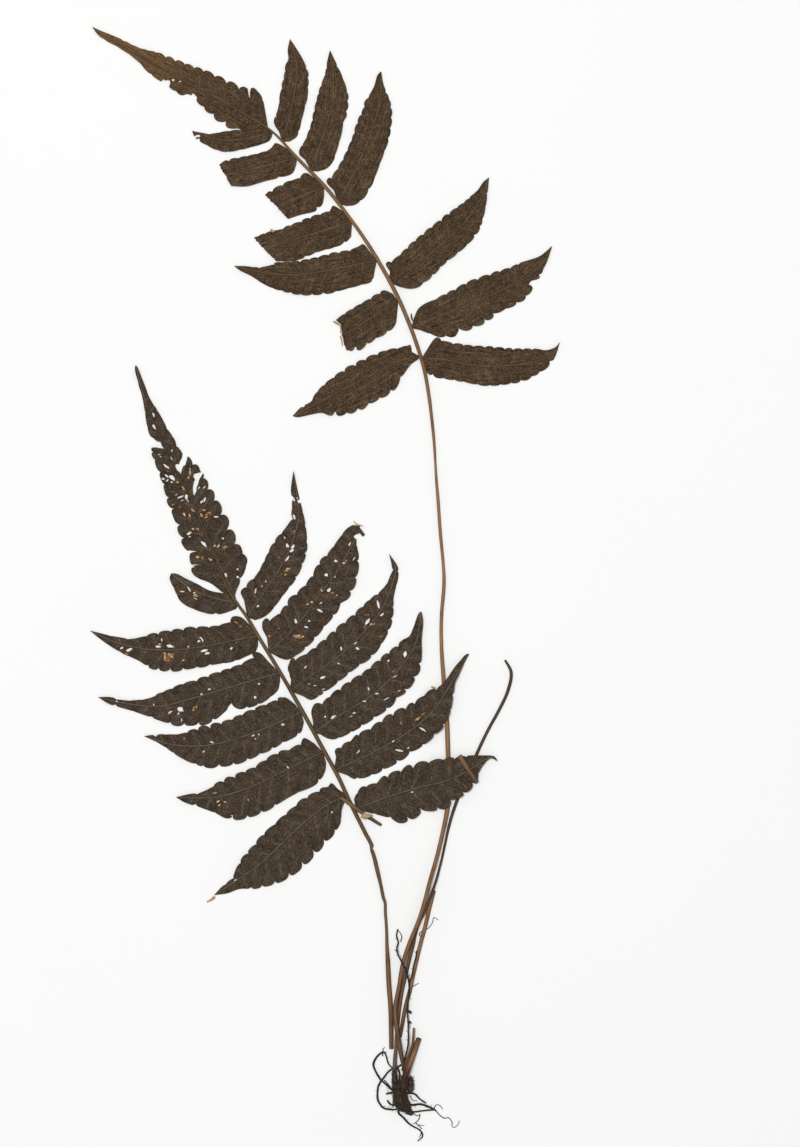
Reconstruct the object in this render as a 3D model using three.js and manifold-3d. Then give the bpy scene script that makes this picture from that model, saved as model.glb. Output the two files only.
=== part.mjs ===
// A dried, pressed fern plant lying on the plane z = 0 with its frond tips toward +Y, in millimetres.
// Two pinnate fronds, a young leafless stipe, a broken stipe and two old stipe stubs
// lie in a bundle that grows from a short scaly rhizome with wiry roots.
import * as THREE from "three";
import { mergeVertices } from "three/addons/utils/BufferGeometryUtils.js";
import Module from "manifold-3d";

const wasm = await Module();
wasm.setup();

// Places are read in picture pixels, x to the right and y down, from the middle of the plant.
const MM_PER_PIXEL = 0.3757;
const MIDDLE = [325, 584.2];

// Blades of the pinnae.
const BLADE_THICKNESS = 0.6;
const LOBE_SHOULDERS = [0.26, 0.74];
const LONG_LOBE = 7;
const LONG_LOBE_SHOULDERS = [0.1, 0.4, 0.7, 0.92];
const TAIL_STEP = 2.4;
const RIB_STEP = 3.5;
const FEWEST_RIB_STEPS = 4;
const COSTA_RISE = 0.95;
const EDGE_WAVE = 0.35;
const EDGE_WAVE_LENGTH = 17;
const EDGE_WAVE_SLANT = 2;

// Stalks are pressed: lower than they are wide.
const PRESSED = 0.72;
const STALK_SIDES = 6;
const STALK_STEP = 7;
const CLEARANCE = 0.3;

// A pinna that lies over a stalk is lifted on a flat this wide, and comes down over the next stretch.
const BRIDGE_FLAT = 4.5;
const BRIDGE_FALL = 7.5;

// The rhizome and its scales, whose sizes are shares of the lump they grow on.
const RHIZOME_HALF = [3.2, 7.6, 2.8];
const RHIZOME_PLACE = [402, 1091.5, 2.4];
const RHIZOME_TURN = 0.18;
const SIDE_LOBE_HALF = [1.7, 3.6, 1.7];
const SIDE_LOBE_PLACE = [409.2, 1082, 2.0];
const LUMP_SIDES = 14;
const LUMP_RINGS = 10;
const SCALED_STRETCH = [-0.82, 0.8];
const SCALE_ROWS = 6;
const SCALES_PER_ROW = 6;
const SIDE_LOBE_ROWS = 3;
const SIDE_LOBE_SCALES = 4;
const SCALE_LENGTH_SHARE = 0.34;
const SCALE_WIDTH_SHARE = 0.55;
const SCALE_THICKNESS_SHARE = 0.16;
const GROUND_CUT = 80;

const ROOT_SIDES = 4;
const ROOT_STEP = 2.2;

// Each stalk's way is a list of [x, y, height in mm, width in mm].
const UPPER_STALK = [
  [403, 1074, 3.15, 1.5], [402.7, 1062, 3.1, 1.5], [400.3, 1050, 2.9, 1.5], [398.4, 1038, 2.8, 1.6],
  [395.7, 1020, 2.7, 1.6], [395.2, 1007, 2.6, 1.6], [399, 985, 2.5, 1.5], [403, 962, 2.5, 1.5],
  [409.3, 942.7, 2.6, 1.5], [418.5, 920, 2.9, 1.5], [424, 902.5, 3.1, 1.5], [430, 881, 3.0, 1.5],
  [437, 857, 2.1, 1.5], [442.7, 833, 1.1, 1.5], [447.1, 810, 0.75, 1.5], [449, 783, 0.75, 1.4],
  [448, 757, 0.75, 1.3], [446.8, 722, 0.75, 1.3], [443.6, 680, 0.75, 1.3], [441.6, 645, 0.75, 1.3],
  [441.6, 616, 0.75, 1.3], [443.9, 583, 0.75, 1.3], [443.2, 565, 0.75, 1.3], [440.3, 534, 0.75, 1.3],
  [439.5, 500, 0.75, 1.3], [436, 450, 0.75, 1.3], [430, 400, 0.85, 1.25], [423, 365, 0.95, 1.25],
  [406, 316, 1.0, 1.2], [390, 285, 1.0, 1.2], [375, 258, 1.0, 1.2], [352, 222, 1.0, 1.2],
  [326, 188, 1.0, 1.15], [297, 158, 1.0, 1.1], [272, 131, 1.1, 1.05], [240, 112, 1.2, 0.8],
  [200, 90, 1.2, 0.7], [150, 62, 1.0, 0.5], [112, 40, 0.8, 0.4],
];
const LOWER_STALK = [
  [391.3, 1048.5, 0.75, 1.6], [391.5, 1007, 0.75, 1.6], [390.2, 985, 0.75, 1.6], [388.3, 964, 0.75, 1.5],
  [387.3, 940, 0.75, 1.4], [386.8, 925, 0.75, 1.4], [385.5, 911.4, 0.75, 1.4], [381.2, 885.4, 0.8, 1.4],
  [377, 868, 0.8, 1.4], [369.5, 842, 0.8, 1.4], [361.7, 824.7, 0.8, 1.4], [355.2, 807, 0.9, 1.4],
  [342, 785, 1.0, 1.3], [322, 750, 1.0, 1.3], [300, 710, 1.0, 1.25], [279, 670, 1.0, 1.2],
  [258, 634, 1.0, 1.15], [239, 603, 1.1, 1.1], [225, 575, 1.2, 0.9], [207, 535, 1.2, 0.8],
  [190, 490, 1.2, 0.7], [170, 452, 1.0, 0.6], [148, 405, 0.8, 0.4],
];
const YOUNG_STALK = [
  [393.8, 1084, 2.2, 1.4], [394.6, 1066, 1.7, 1.3], [395.6, 1049, 1.3, 1.2], [396.4, 1038, 0.8, 1.1],
  [398.2, 1017, 0.6, 1.1], [401.3, 994, 0.6, 1.1], [407, 968, 0.6, 1.1], [413.2, 943, 0.6, 1.1],
  [416, 931, 0.85, 1.1], [420, 921, 1.2, 1.1], [424.2, 911.4, 1.65, 1.1], [427.6, 902.7, 1.85, 1.0],
  [431.1, 894, 1.85, 1.0], [434.7, 885.4, 1.8, 1.0], [437.6, 876.7, 1.5, 0.9], [442.4, 859.4, 0.9, 0.9],
  [446.3, 842, 0.65, 0.9], [449.6, 823, 0.6, 1.0], [455.6, 804, 0.6, 1.1], [477, 753, 0.6, 1.1],
  [488, 730, 0.6, 1.1], [500, 708, 0.6, 1.1], [508, 690, 0.6, 1.2], [511, 672, 0.6, 1.2],
  [505, 660, 0.6, 0.8],
];
const BROKEN_STALK = [
  [401, 1032, 0.6, 1.4], [405.4, 1007, 0.6, 1.5], [409.7, 991, 0.6, 1.5], [413.1, 975, 0.6, 1.5],
  [420.6, 943, 0.6, 1.5], [425, 927, 0.6, 1.5], [428.6, 911, 0.6, 1.5], [430.8, 902, 0.6, 1.5],
  [434, 890.5, 0.6, 1.4],
];
const THICK_STUB = [
  [404, 1082, 1.25, 2.1], [408.4, 1066, 1.25, 2.2], [413.6, 1052, 1.3, 2.2], [418.4, 1038, 1.4, 2.2],
];
const THIN_STUB = [
  [407, 1077, 2.9, 0.75], [407, 1066, 2.9, 0.75], [408.8, 1054, 2.75, 0.8], [411.8, 1043, 2.5, 0.8],
  [413.7, 1027, 2.3, 0.8],
];

// A torn pinna stalk lies across the lower rachis, and a flat sliver of stalk lies on its last pinna.
const TORN_STALK = [
  [340, 797.5, 1.5, 1.0], [351, 804, 1.9, 1.4], [362, 812, 1.4, 1.4], [371, 818, 0.8, 1.3],
  [381, 825, 0.7, 1.1],
];
const SLIVER = [[460, 755.5, 2.5, 1.6], [468, 769, 2.75, 1.5], [475.5, 781, 2.2, 1.5]];

// Roots, each from inside the rhizome to its free end.
const ROOTS = {
  left_under: [
    [399, 1083, 1.2, 0.8], [399.5, 1073, 0.7, 0.7], [397, 1067.5, 0.45, 0.7], [390.8, 1069.6, 0.45, 0.7],
    [381.7, 1080, 0.45, 0.7], [378.3, 1086, 0.45, 0.7], [377.5, 1092, 0.45, 0.7],
    [377.5, 1097.5, 0.45, 0.7], [379.2, 1102.5, 0.45, 0.7], [384.2, 1108, 0.45, 0.7],
    [390, 1109, 0.5, 0.7], [396, 1109, 0.6, 0.7], [401, 1107, 0.9, 0.7],
  ],
  left_loop: [
    [398, 1094, 1.6, 0.7], [392, 1089.5, 1.5, 0.7], [387, 1085, 1.35, 0.7], [380.5, 1079, 1.3, 0.7],
    [375.5, 1071, 0.6, 0.7], [373.3, 1064.5, 0.45, 0.7], [375, 1059.5, 0.45, 0.7],
    [377.5, 1055.8, 0.45, 0.7], [380.8, 1053, 0.45, 0.7], [384, 1052, 0.45, 0.7],
    [386.5, 1057, 0.45, 0.6], [388.3, 1063.3, 0.45, 0.6], [392, 1067.5, 0.45, 0.6],
    [396, 1070, 0.45, 0.6],
  ],
  left_spur: [[398, 1092, 2.2, 0.8], [391, 1093, 0.9, 0.8], [386, 1093.5, 0.5, 0.7]],
  left_twig: [[398, 1098, 1.6, 0.7], [392.5, 1105, 0.6, 0.6], [387, 1100, 0.5, 0.5]],
  long_up: [
    [404, 1089, 4.0, 0.8], [404.5, 1079, 4.5, 0.8], [405, 1064, 4.6, 0.7], [408, 1044, 3.8, 0.6],
    [408.3, 1028, 2.6, 0.6], [407.5, 1007, 2.0, 0.6], [409, 985, 2.4, 0.6], [407, 973.5, 3.6, 0.6],
    [403, 963, 4.0, 0.6], [397.7, 953, 3.4, 0.55], [396.9, 947, 2.4, 0.5], [398.2, 942, 1.4, 0.5],
    [396.7, 936, 0.6, 0.5], [397.6, 929, 0.5, 0.45],
  ],
  long_branch: [
    [408.8, 982, 2.5, 0.55], [412.4, 974.7, 2.0, 0.5], [413.3, 966, 1.8, 0.5],
    [416.1, 955.5, 1.8, 0.5], [416.6, 950, 1.8, 0.45],
  ],
  right_short: [
    [405, 1092, 2.2, 0.8], [414, 1093.5, 0.6, 0.7], [420, 1099, 0.45, 0.7], [426, 1103, 0.45, 0.6],
  ],
  right_long: [
    [404, 1102, 2.0, 0.9], [412, 1104.5, 0.9, 0.8], [420, 1104, 0.45, 0.8], [430, 1107, 0.45, 0.8],
    [440, 1113, 0.45, 0.7], [448, 1118, 0.45, 0.7], [453, 1126, 0.45, 0.6], [457, 1124, 0.45, 0.5],
    [459, 1119, 0.45, 0.4],
  ],
  right_low: [
    [404, 1108, 1.6, 0.8], [413, 1111.5, 0.6, 0.7], [424, 1110.5, 0.45, 0.6],
    [434, 1109.7, 0.45, 0.6],
  ],
  down: [
    [401, 1103, 1.6, 0.8], [398.5, 1112.5, 0.6, 0.7], [403, 1117, 0.45, 0.7], [407, 1121.5, 0.45, 0.7],
    [412, 1125.5, 0.45, 0.6], [418.5, 1129, 0.45, 0.6], [422, 1132.5, 0.45, 0.5],
    [422.5, 1136, 0.45, 0.5], [420, 1139, 0.45, 0.4], [417.5, 1141, 0.45, 0.4],
  ],
};

// Each pinna has its midrib from the rachis to the tip, and its edges from the rachis outward:
// front is the edge toward the frond's tip, back the one toward its stalk. The notches between
// the lobes of an edge are [distance along the edge, depth], both in mm.
const UPPER_PINNAE = {
  terminal: {
    costa: [[268, 128], [240, 112], [218, 98], [200, 90], [175, 76], [150, 62], [120, 44], [92, 27]],
    front: [
      [267, 122], [265, 110], [262.3, 97.9], [254.3, 88.4], [243.1, 86.7], [230.1, 80.7],
      [218.1, 75.3], [206.1, 70.3], [187.9, 63.8], [168.9, 56.2], [158, 52.6], [140.1, 48.2],
      [120.2, 38.6], [100.1, 30.7],
    ],
    frontNotches: [
      [8.6, 0.15], [12.2, 0.15], [16, 0.6], [19.8, 1], [24.9, 1.1], [29.9, 0.9], [34.4, 0.8],
      [38.2, 0.7], [41.9, 0.5], [45.7, 0.7], [49.8, 0.8], [53.5, 0.15], [56, 0.15], [59.5, 0.15],
      [63, 0.15], [66.5, 0.15],
    ],
    back: [
      [262, 134], [241.9, 129.5], [227.7, 127.9], [214.4, 119.1], [204.8, 110.2], [194.9, 100.1],
      [188, 94.1], [181.9, 95.4], [175.6, 92.5], [169.5, 87.7], [159.3, 80.6], [149.2, 74],
      [139.2, 62.9], [129.4, 54.9], [119.7, 48.5], [99.6, 36.5],
    ],
    backNotches: [
      [9.8, 0.15], [15.6, 1.1], [21.1, 1.2], [25.5, 0.3], [29.8, 0.4], [38.3, 0.5], [42.4, 1.2],
      [49.5, 0.15], [55.1, 0.15], [60.6, 0.15], [66.2, 0.15], [71.8, 0.15],
    ],
  },
  left_1: {
    costa: [[272.7, 132.5], [245, 139], [220, 140], [192, 131]],
    front: [[258, 129], [242, 129.4], [225.1, 131.3], [210, 133.8], [200.1, 132.5]],
    frontNotches: [[7, 0.15], [10.5, 0.15], [14.5, 0.15], [18.5, 0.15]],
    back: [
      [271, 140], [260.4, 144.2], [240.2, 149.9], [226, 152], [214.8, 149.5], [204.8, 144.3],
      [196.2, 139.8],
    ],
    backNotches: [[8.3, 0.15], [12.5, 0.15], [16.7, 0.15], [20.9, 0.15], [25, 0.15], [29.2, 1.1]],
  },
  left_2: {
    costa: [[297, 158], [270, 165], [248, 170], [225, 175]],
    front: [
      [290, 150], [275, 143.1], [271.1, 148.1], [262, 152.1], [250, 155.1], [240, 157.1],
      [226.1, 160.2],
    ],
    tornFront: [[219, 165]],
    frontNotches: [[7.1, 0.15], [10.8, 0.15], [14.3, 0.15], [18.1, 0.15], [21.6, 0.3], [25.4, 0.5]],
    back: [[296, 165], [292.3, 173.3], [279.9, 177.7], [264.8, 181.2], [246.9, 186.3]],
    tornBack: [[231, 186]],
    backNotches: [[8.9, 0.3]],
  },
  left_3: {
    costa: [[324, 187], [300, 197], [277, 207]],
    front: [[316, 179], [306, 172.9], [299, 176], [293, 180], [285, 182.1], [276, 187], [269.7, 190.6]],
    tornFront: [[265, 195]],
    frontNotches: [[7.8, 0.6], [14.7, 0.3], [19.2, 0.4]],
    back: [[324, 196], [322.1, 204.7], [315.6, 211], [300.3, 214.9]],
    tornBack: [[288, 219]],
    backNotches: [[5.5, 0.15]],
  },
  left_4: {
    costa: [[352, 222], [320, 232], [295, 239], [264, 249]],
    front: [
      [344, 212], [333, 205.7], [330, 209], [324.1, 212.4], [315, 215], [305.2, 218.5],
      [296.2, 222.5], [286.9, 225.9], [279.8, 229.5],
    ],
    tornFront: [[270, 231], [254, 238]],
    frontNotches: [[7.4, 0.4], [10.9, 0.3], [14.9, 0.5], [18.6, 0.6], [22.6, 0.3], [25.8, 0.15]],
    back: [[351, 237], [345.4, 242.7], [335.1, 247.4], [320.1, 251.3], [300.3, 259.2], [290.2, 261.3]],
    tornBack: [[276, 261]],
    backNotches: [[3.3, 0.15], [7.8, 0.15], [10.8, 0.15], [14.9, 0.15], [18.9, 0.2]],
  },
  left_5: {
    costa: [[376.5, 261.2], [350, 266], [320, 272], [290, 275], [260, 272], [234, 266]],
    front: [
      [370, 252], [363.1, 244.2], [357.7, 246.9], [344.9, 250.5], [333, 252.3], [315, 257.3],
      [290.1, 261.7], [275.2, 262.7], [268, 266], [255, 267.3], [245.1, 266.2],
    ],
    frontNotches: [
      [9.9, 0.5], [13.8, 0.6], [18, 0.5], [21.8, 0.4], [25.2, 0.3], [28.7, 0.5], [32.1, 0.15],
      [35.5, 0.15], [38.9, 0.5], [44.2, 0.15],
    ],
    back: [
      [374.5, 272], [372.2, 281.2], [360.3, 285.3], [345.4, 289.3], [330.2, 293.6], [310, 295.4],
      [298, 294.9], [281.9, 291.3], [271.9, 288.1], [261.9, 283.1], [251.8, 276.4], [239.8, 270.4],
    ],
    backNotches: [
      [3, 0.3], [8, 0.15], [12.9, 0.15], [17.9, 0.3], [22.9, 0.6], [27.1, 0.4], [31.3, 0.3],
      [35.4, 0.4], [38.9, 0.3], [42.1, 0.15],
    ],
  },
  left_6: {
    costa: [[398, 302], [380, 312], [360, 325], [342, 336]],
    front: [
      [393, 294], [383.5, 290.4], [375.1, 294.7], [366.2, 300.3], [358.2, 304.9], [349.9, 309.8],
      [342.7, 314.6],
    ],
    tornFront: [[336, 320], [341, 325]],
    frontNotches: [[6, 0.7], [9.8, 0.5], [13.7, 0.3], [17.4, 0.15], [21, 0.15]],
    back: [
      [397, 315], [395.7, 323.3], [391.6, 329.5], [384.4, 334.7], [376.3, 338.5], [364.6, 347],
      [357.3, 351.3],
    ],
    tornBack: [[346, 350]],
    backNotches: [[7.9, 0.4], [12.9, 0.3], [16.9, 0.5], [22.3, 1.1]],
  },
  left_7: {
    costa: [[421, 357], [400, 360.5], [380, 370.5], [360, 381], [340, 391], [320, 402], [292.5, 416]],
    front: [
      [412, 352], [410.1, 344.8], [400, 347.5], [392, 348.6], [383, 351], [371.9, 354.8],
      [360.9, 359.8], [350.6, 364.9], [340.5, 371.2], [330.8, 378.7], [323, 385], [314.5, 394.7],
      [310.7, 401.7], [301.7, 406.5],
    ],
    frontNotches: [
      [4.1, 0.15], [8.1, 0.3], [12.1, 0.2], [16.1, 0.6], [21.1, 0.7], [25.5, 0.9], [30.2, 0.6],
      [34.7, 0.3], [39, 0.3], [42.8, 0.15], [46.7, 0.15], [50.6, 0.3],
    ],
    back: [
      [411, 364], [406.2, 370.2], [401.1, 378.7], [394, 390.9], [382.4, 398.2], [371.3, 403.6],
      [360.4, 410.9], [350.1, 413.8], [339, 415.9], [328.8, 415.3], [321.9, 412.8], [310.1, 414.6],
      [297, 417.2],
    ],
    backNotches: [
      [6.6, 0.4], [13.3, 0.8], [18.3, 0.6], [22.7, 0.5], [27.8, 0.8], [32.3, 0.7], [36.7, 1.1],
    ],
  },
  right_1: {
    costa: [[282.2, 141.8], [290, 115], [295, 90], [297, 68], [294, 52], [290, 39]],
    front: [
      [279, 132], [274.3, 124.2], [274.2, 116.8], [277.7, 109.9], [279.3, 97.9], [281.6, 84.9],
      [284.1, 75], [285.4, 65.8], [288.3, 59.7], [287.7, 50],
    ],
    frontNotches: [[6.8, 0.4], [12.2, 0.15], [17.5, 0.15], [21, 0.3], [23.8, 0.3]],
    back: [
      [290, 141.5], [296.3, 137.2], [299.5, 132.2], [301.1, 122], [304.2, 110], [307.3, 98],
      [308.8, 80], [308.2, 72.1], [303.1, 60], [296.1, 48],
    ],
    backNotches: [[5.5, 0.15], [15.6, 0.15], [22.6, 0.15], [26, 0.15], [29.6, 0.3]],
  },
  right_2: {
    costa: [[311, 171], [325, 130], [333, 100], [333, 75], [330, 50.5]],
    front: [
      [305, 160], [299.2, 154.1], [300.6, 146.8], [304.8, 140.9], [307.8, 132.9], [310.8, 123.9],
      [313.2, 112.8], [315.2, 104.8], [319.1, 89.9], [321.6, 82.9], [324.8, 74], [327.6, 59.9],
    ],
    frontNotches: [
      [7, 0.2], [10.1, 0.15], [13.7, 0.15], [17.1, 0.15], [20.7, 0.15], [24.5, 0.15], [27.3, 0.3],
      [30.4, 0.3], [34.7, 0.15], [37.4, 0.15],
    ],
    back: [
      [318, 171.5], [327.2, 168.2], [334, 160], [337, 150], [340, 140], [344.2, 121.1],
      [347.1, 115], [348.4, 96.1], [344.3, 81.9], [340.4, 71.8], [334.5, 59.8],
    ],
    backNotches: [
      [9.8, 0.15], [14.9, 0.15], [22.3, 0.15], [27, 0.4], [30.8, 0.5], [34.4, 0.15], [39.4, 0.15],
      [44.5, 0.15],
    ],
  },
  right_3: {
    costa: [[338.2, 203.6], [358, 165], [372, 130], [380, 100], [381, 71.5]],
    front: [
      [334, 191], [326.5, 182], [328.4, 177.5], [333.4, 173.5], [340.1, 163.1], [346.8, 149.9],
      [352.3, 136.8], [354.9, 128], [358.6, 117.8], [362.5, 109.8], [364.5, 101.8], [369.5, 94.7],
      [374.3, 85.7], [377.4, 75.7],
    ],
    frontNotches: [
      [7.5, 0.7], [11.2, 0.3], [15.1, 0.4], [19, 0.15], [22.9, 0.15], [26, 0.3], [29.9, 0.4],
      [33.4, 0.5], [36.5, 0.2], [40.3, 0.15],
    ],
    back: [
      [346, 206], [354, 205.1], [362.2, 200.2], [368.1, 192.1], [372, 185], [376.9, 172],
      [385.1, 150], [389, 140], [390.9, 130], [392.2, 115], [390.5, 102.1], [387.2, 93.3],
      [383.5, 84.2],
    ],
    backNotches: [
      [6.2, 0.15], [11.6, 0.15], [16.8, 0.15], [22, 0.15], [27.2, 0.15], [32.4, 0.4], [36.2, 0.4],
      [40.3, 0.4], [44.2, 0.3], [47.1, 0.15], [50, 0.3],
    ],
  },
  right_4: {
    costa: [[388, 282], [420, 262], [445, 241], [465, 222], [480, 200], [489, 177.5]],
    front: [
      [390, 272], [385.8, 264], [387.8, 261.2], [396.4, 257.1], [403.5, 250.5], [410.6, 243.6],
      [418.7, 236.6], [427.2, 229.5], [436.2, 222.5], [445.4, 214.8], [456.3, 207.4],
      [463.2, 202.5], [469.4, 197.3], [477.4, 190.5], [483.6, 181.7],
    ],
    frontNotches: [
      [6.3, 0.7], [10.1, 0.15], [13.8, 0.5], [17.7, 0.5], [21.8, 0.4], [26, 0.5], [30.2, 0.7],
      [34.2, 0.7], [37.8, 0.15], [40.9, 0.15], [43.4, 0.15],
    ],
    back: [
      [400, 287], [410, 288.8], [418.5, 287], [433.9, 275], [441.5, 266.5], [458.6, 252.7],
      [468.6, 243.6], [475.4, 236.3], [479.9, 229], [484.1, 215], [487.2, 195],
    ],
    backNotches: [
      [9.9, 0.4], [14.3, 0.4], [18.3, 0.2], [21.9, 0.3], [26.9, 0.15], [31.6, 0.15], [36.2, 0.4],
      [40.2, 0.5], [42.9, 0.3], [47.8, 0.15], [52.7, 0.15],
    ],
  },
  right_5: {
    costa: [[411, 328], [440, 316], [470, 304], [500, 291], [525, 278], [542, 263], [552, 246]],
    front: [
      [414, 318], [418.1, 309], [424.8, 303.7], [434.7, 299.3], [444.6, 293.6], [454.4, 288.9],
      [464.5, 282.9], [476.6, 278], [486.8, 274.4], [497.9, 270.6], [508.8, 267.5], [519.8, 262.9],
      [529.8, 259.9], [539.8, 256.2], [546.8, 250.8],
    ],
    frontNotches: [
      [11.7, 0.2], [15.9, 0.4], [19.6, 0.5], [24.4, 0.6], [29.1, 0.6], [34, 0.6], [38.1, 0.6],
      [42, 0.4], [45.3, 0.2],
    ],
    back: [
      [420, 330], [430, 334], [440, 337.2], [453.4, 337], [459.4, 333], [470.3, 329.9],
      [476.5, 327.1], [486.4, 322.7], [500.3, 312.1], [517.3, 304.5], [527.3, 297.3],
      [532.8, 288.1], [531.9, 281.9], [540.5, 277.5], [542.8, 269.9], [546.7, 261.9],
    ],
    backNotches: [
      [4, 0.15], [10.5, 0.4], [16.6, 0.7], [21.9, 0.8], [27.2, 1.1], [31.2, 0.9], [35.8, 0.15],
      [40.6, 0.4], [45.3, 0.6], [50.9, 1.2], [56, 0.4],
    ],
  },
  right_6: {
    costa: [
      [421, 359], [440, 359], [460, 363], [480, 366], [500, 366], [530, 363], [548, 357],
      [557, 350], [560, 342],
    ],
    front: [
      [428, 348], [434.1, 339.1], [438, 337.1], [447.2, 341.4], [456.2, 343], [467.2, 344.8],
      [478.1, 345.7], [489, 346], [500.1, 347.1], [518, 348.3], [536.1, 348.8], [546, 350.3],
      [555.2, 347.3],
    ],
    frontNotches: [
      [7.9, 0.9], [12.2, 0.4], [16, 0.4], [19.7, 0.3], [23.9, 0.4], [27.7, 0.6], [31.5, 0.4],
      [34.8, 0.5], [38.2, 0.4], [41.5, 0.3],
    ],
    back: [
      [425, 366], [428, 374], [435.9, 377.8], [444.9, 379.1], [464.8, 382.3], [484.9, 385.9],
      [505.1, 384.7], [524.1, 381.4], [536.9, 374.8], [547.6, 367.5], [554.1, 358.6],
    ],
    backNotches: [
      [5.3, 0.3], [9.4, 0.15], [13.6, 0.3], [17.1, 0.15], [22.3, 0.3], [27.2, 0.15], [31.2, 0.3],
      [35.1, 0.4], [39.3, 0.6], [43.8, 0.4], [47.1, 0.3], [52.9, 0.15],
    ],
  },
};

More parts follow.
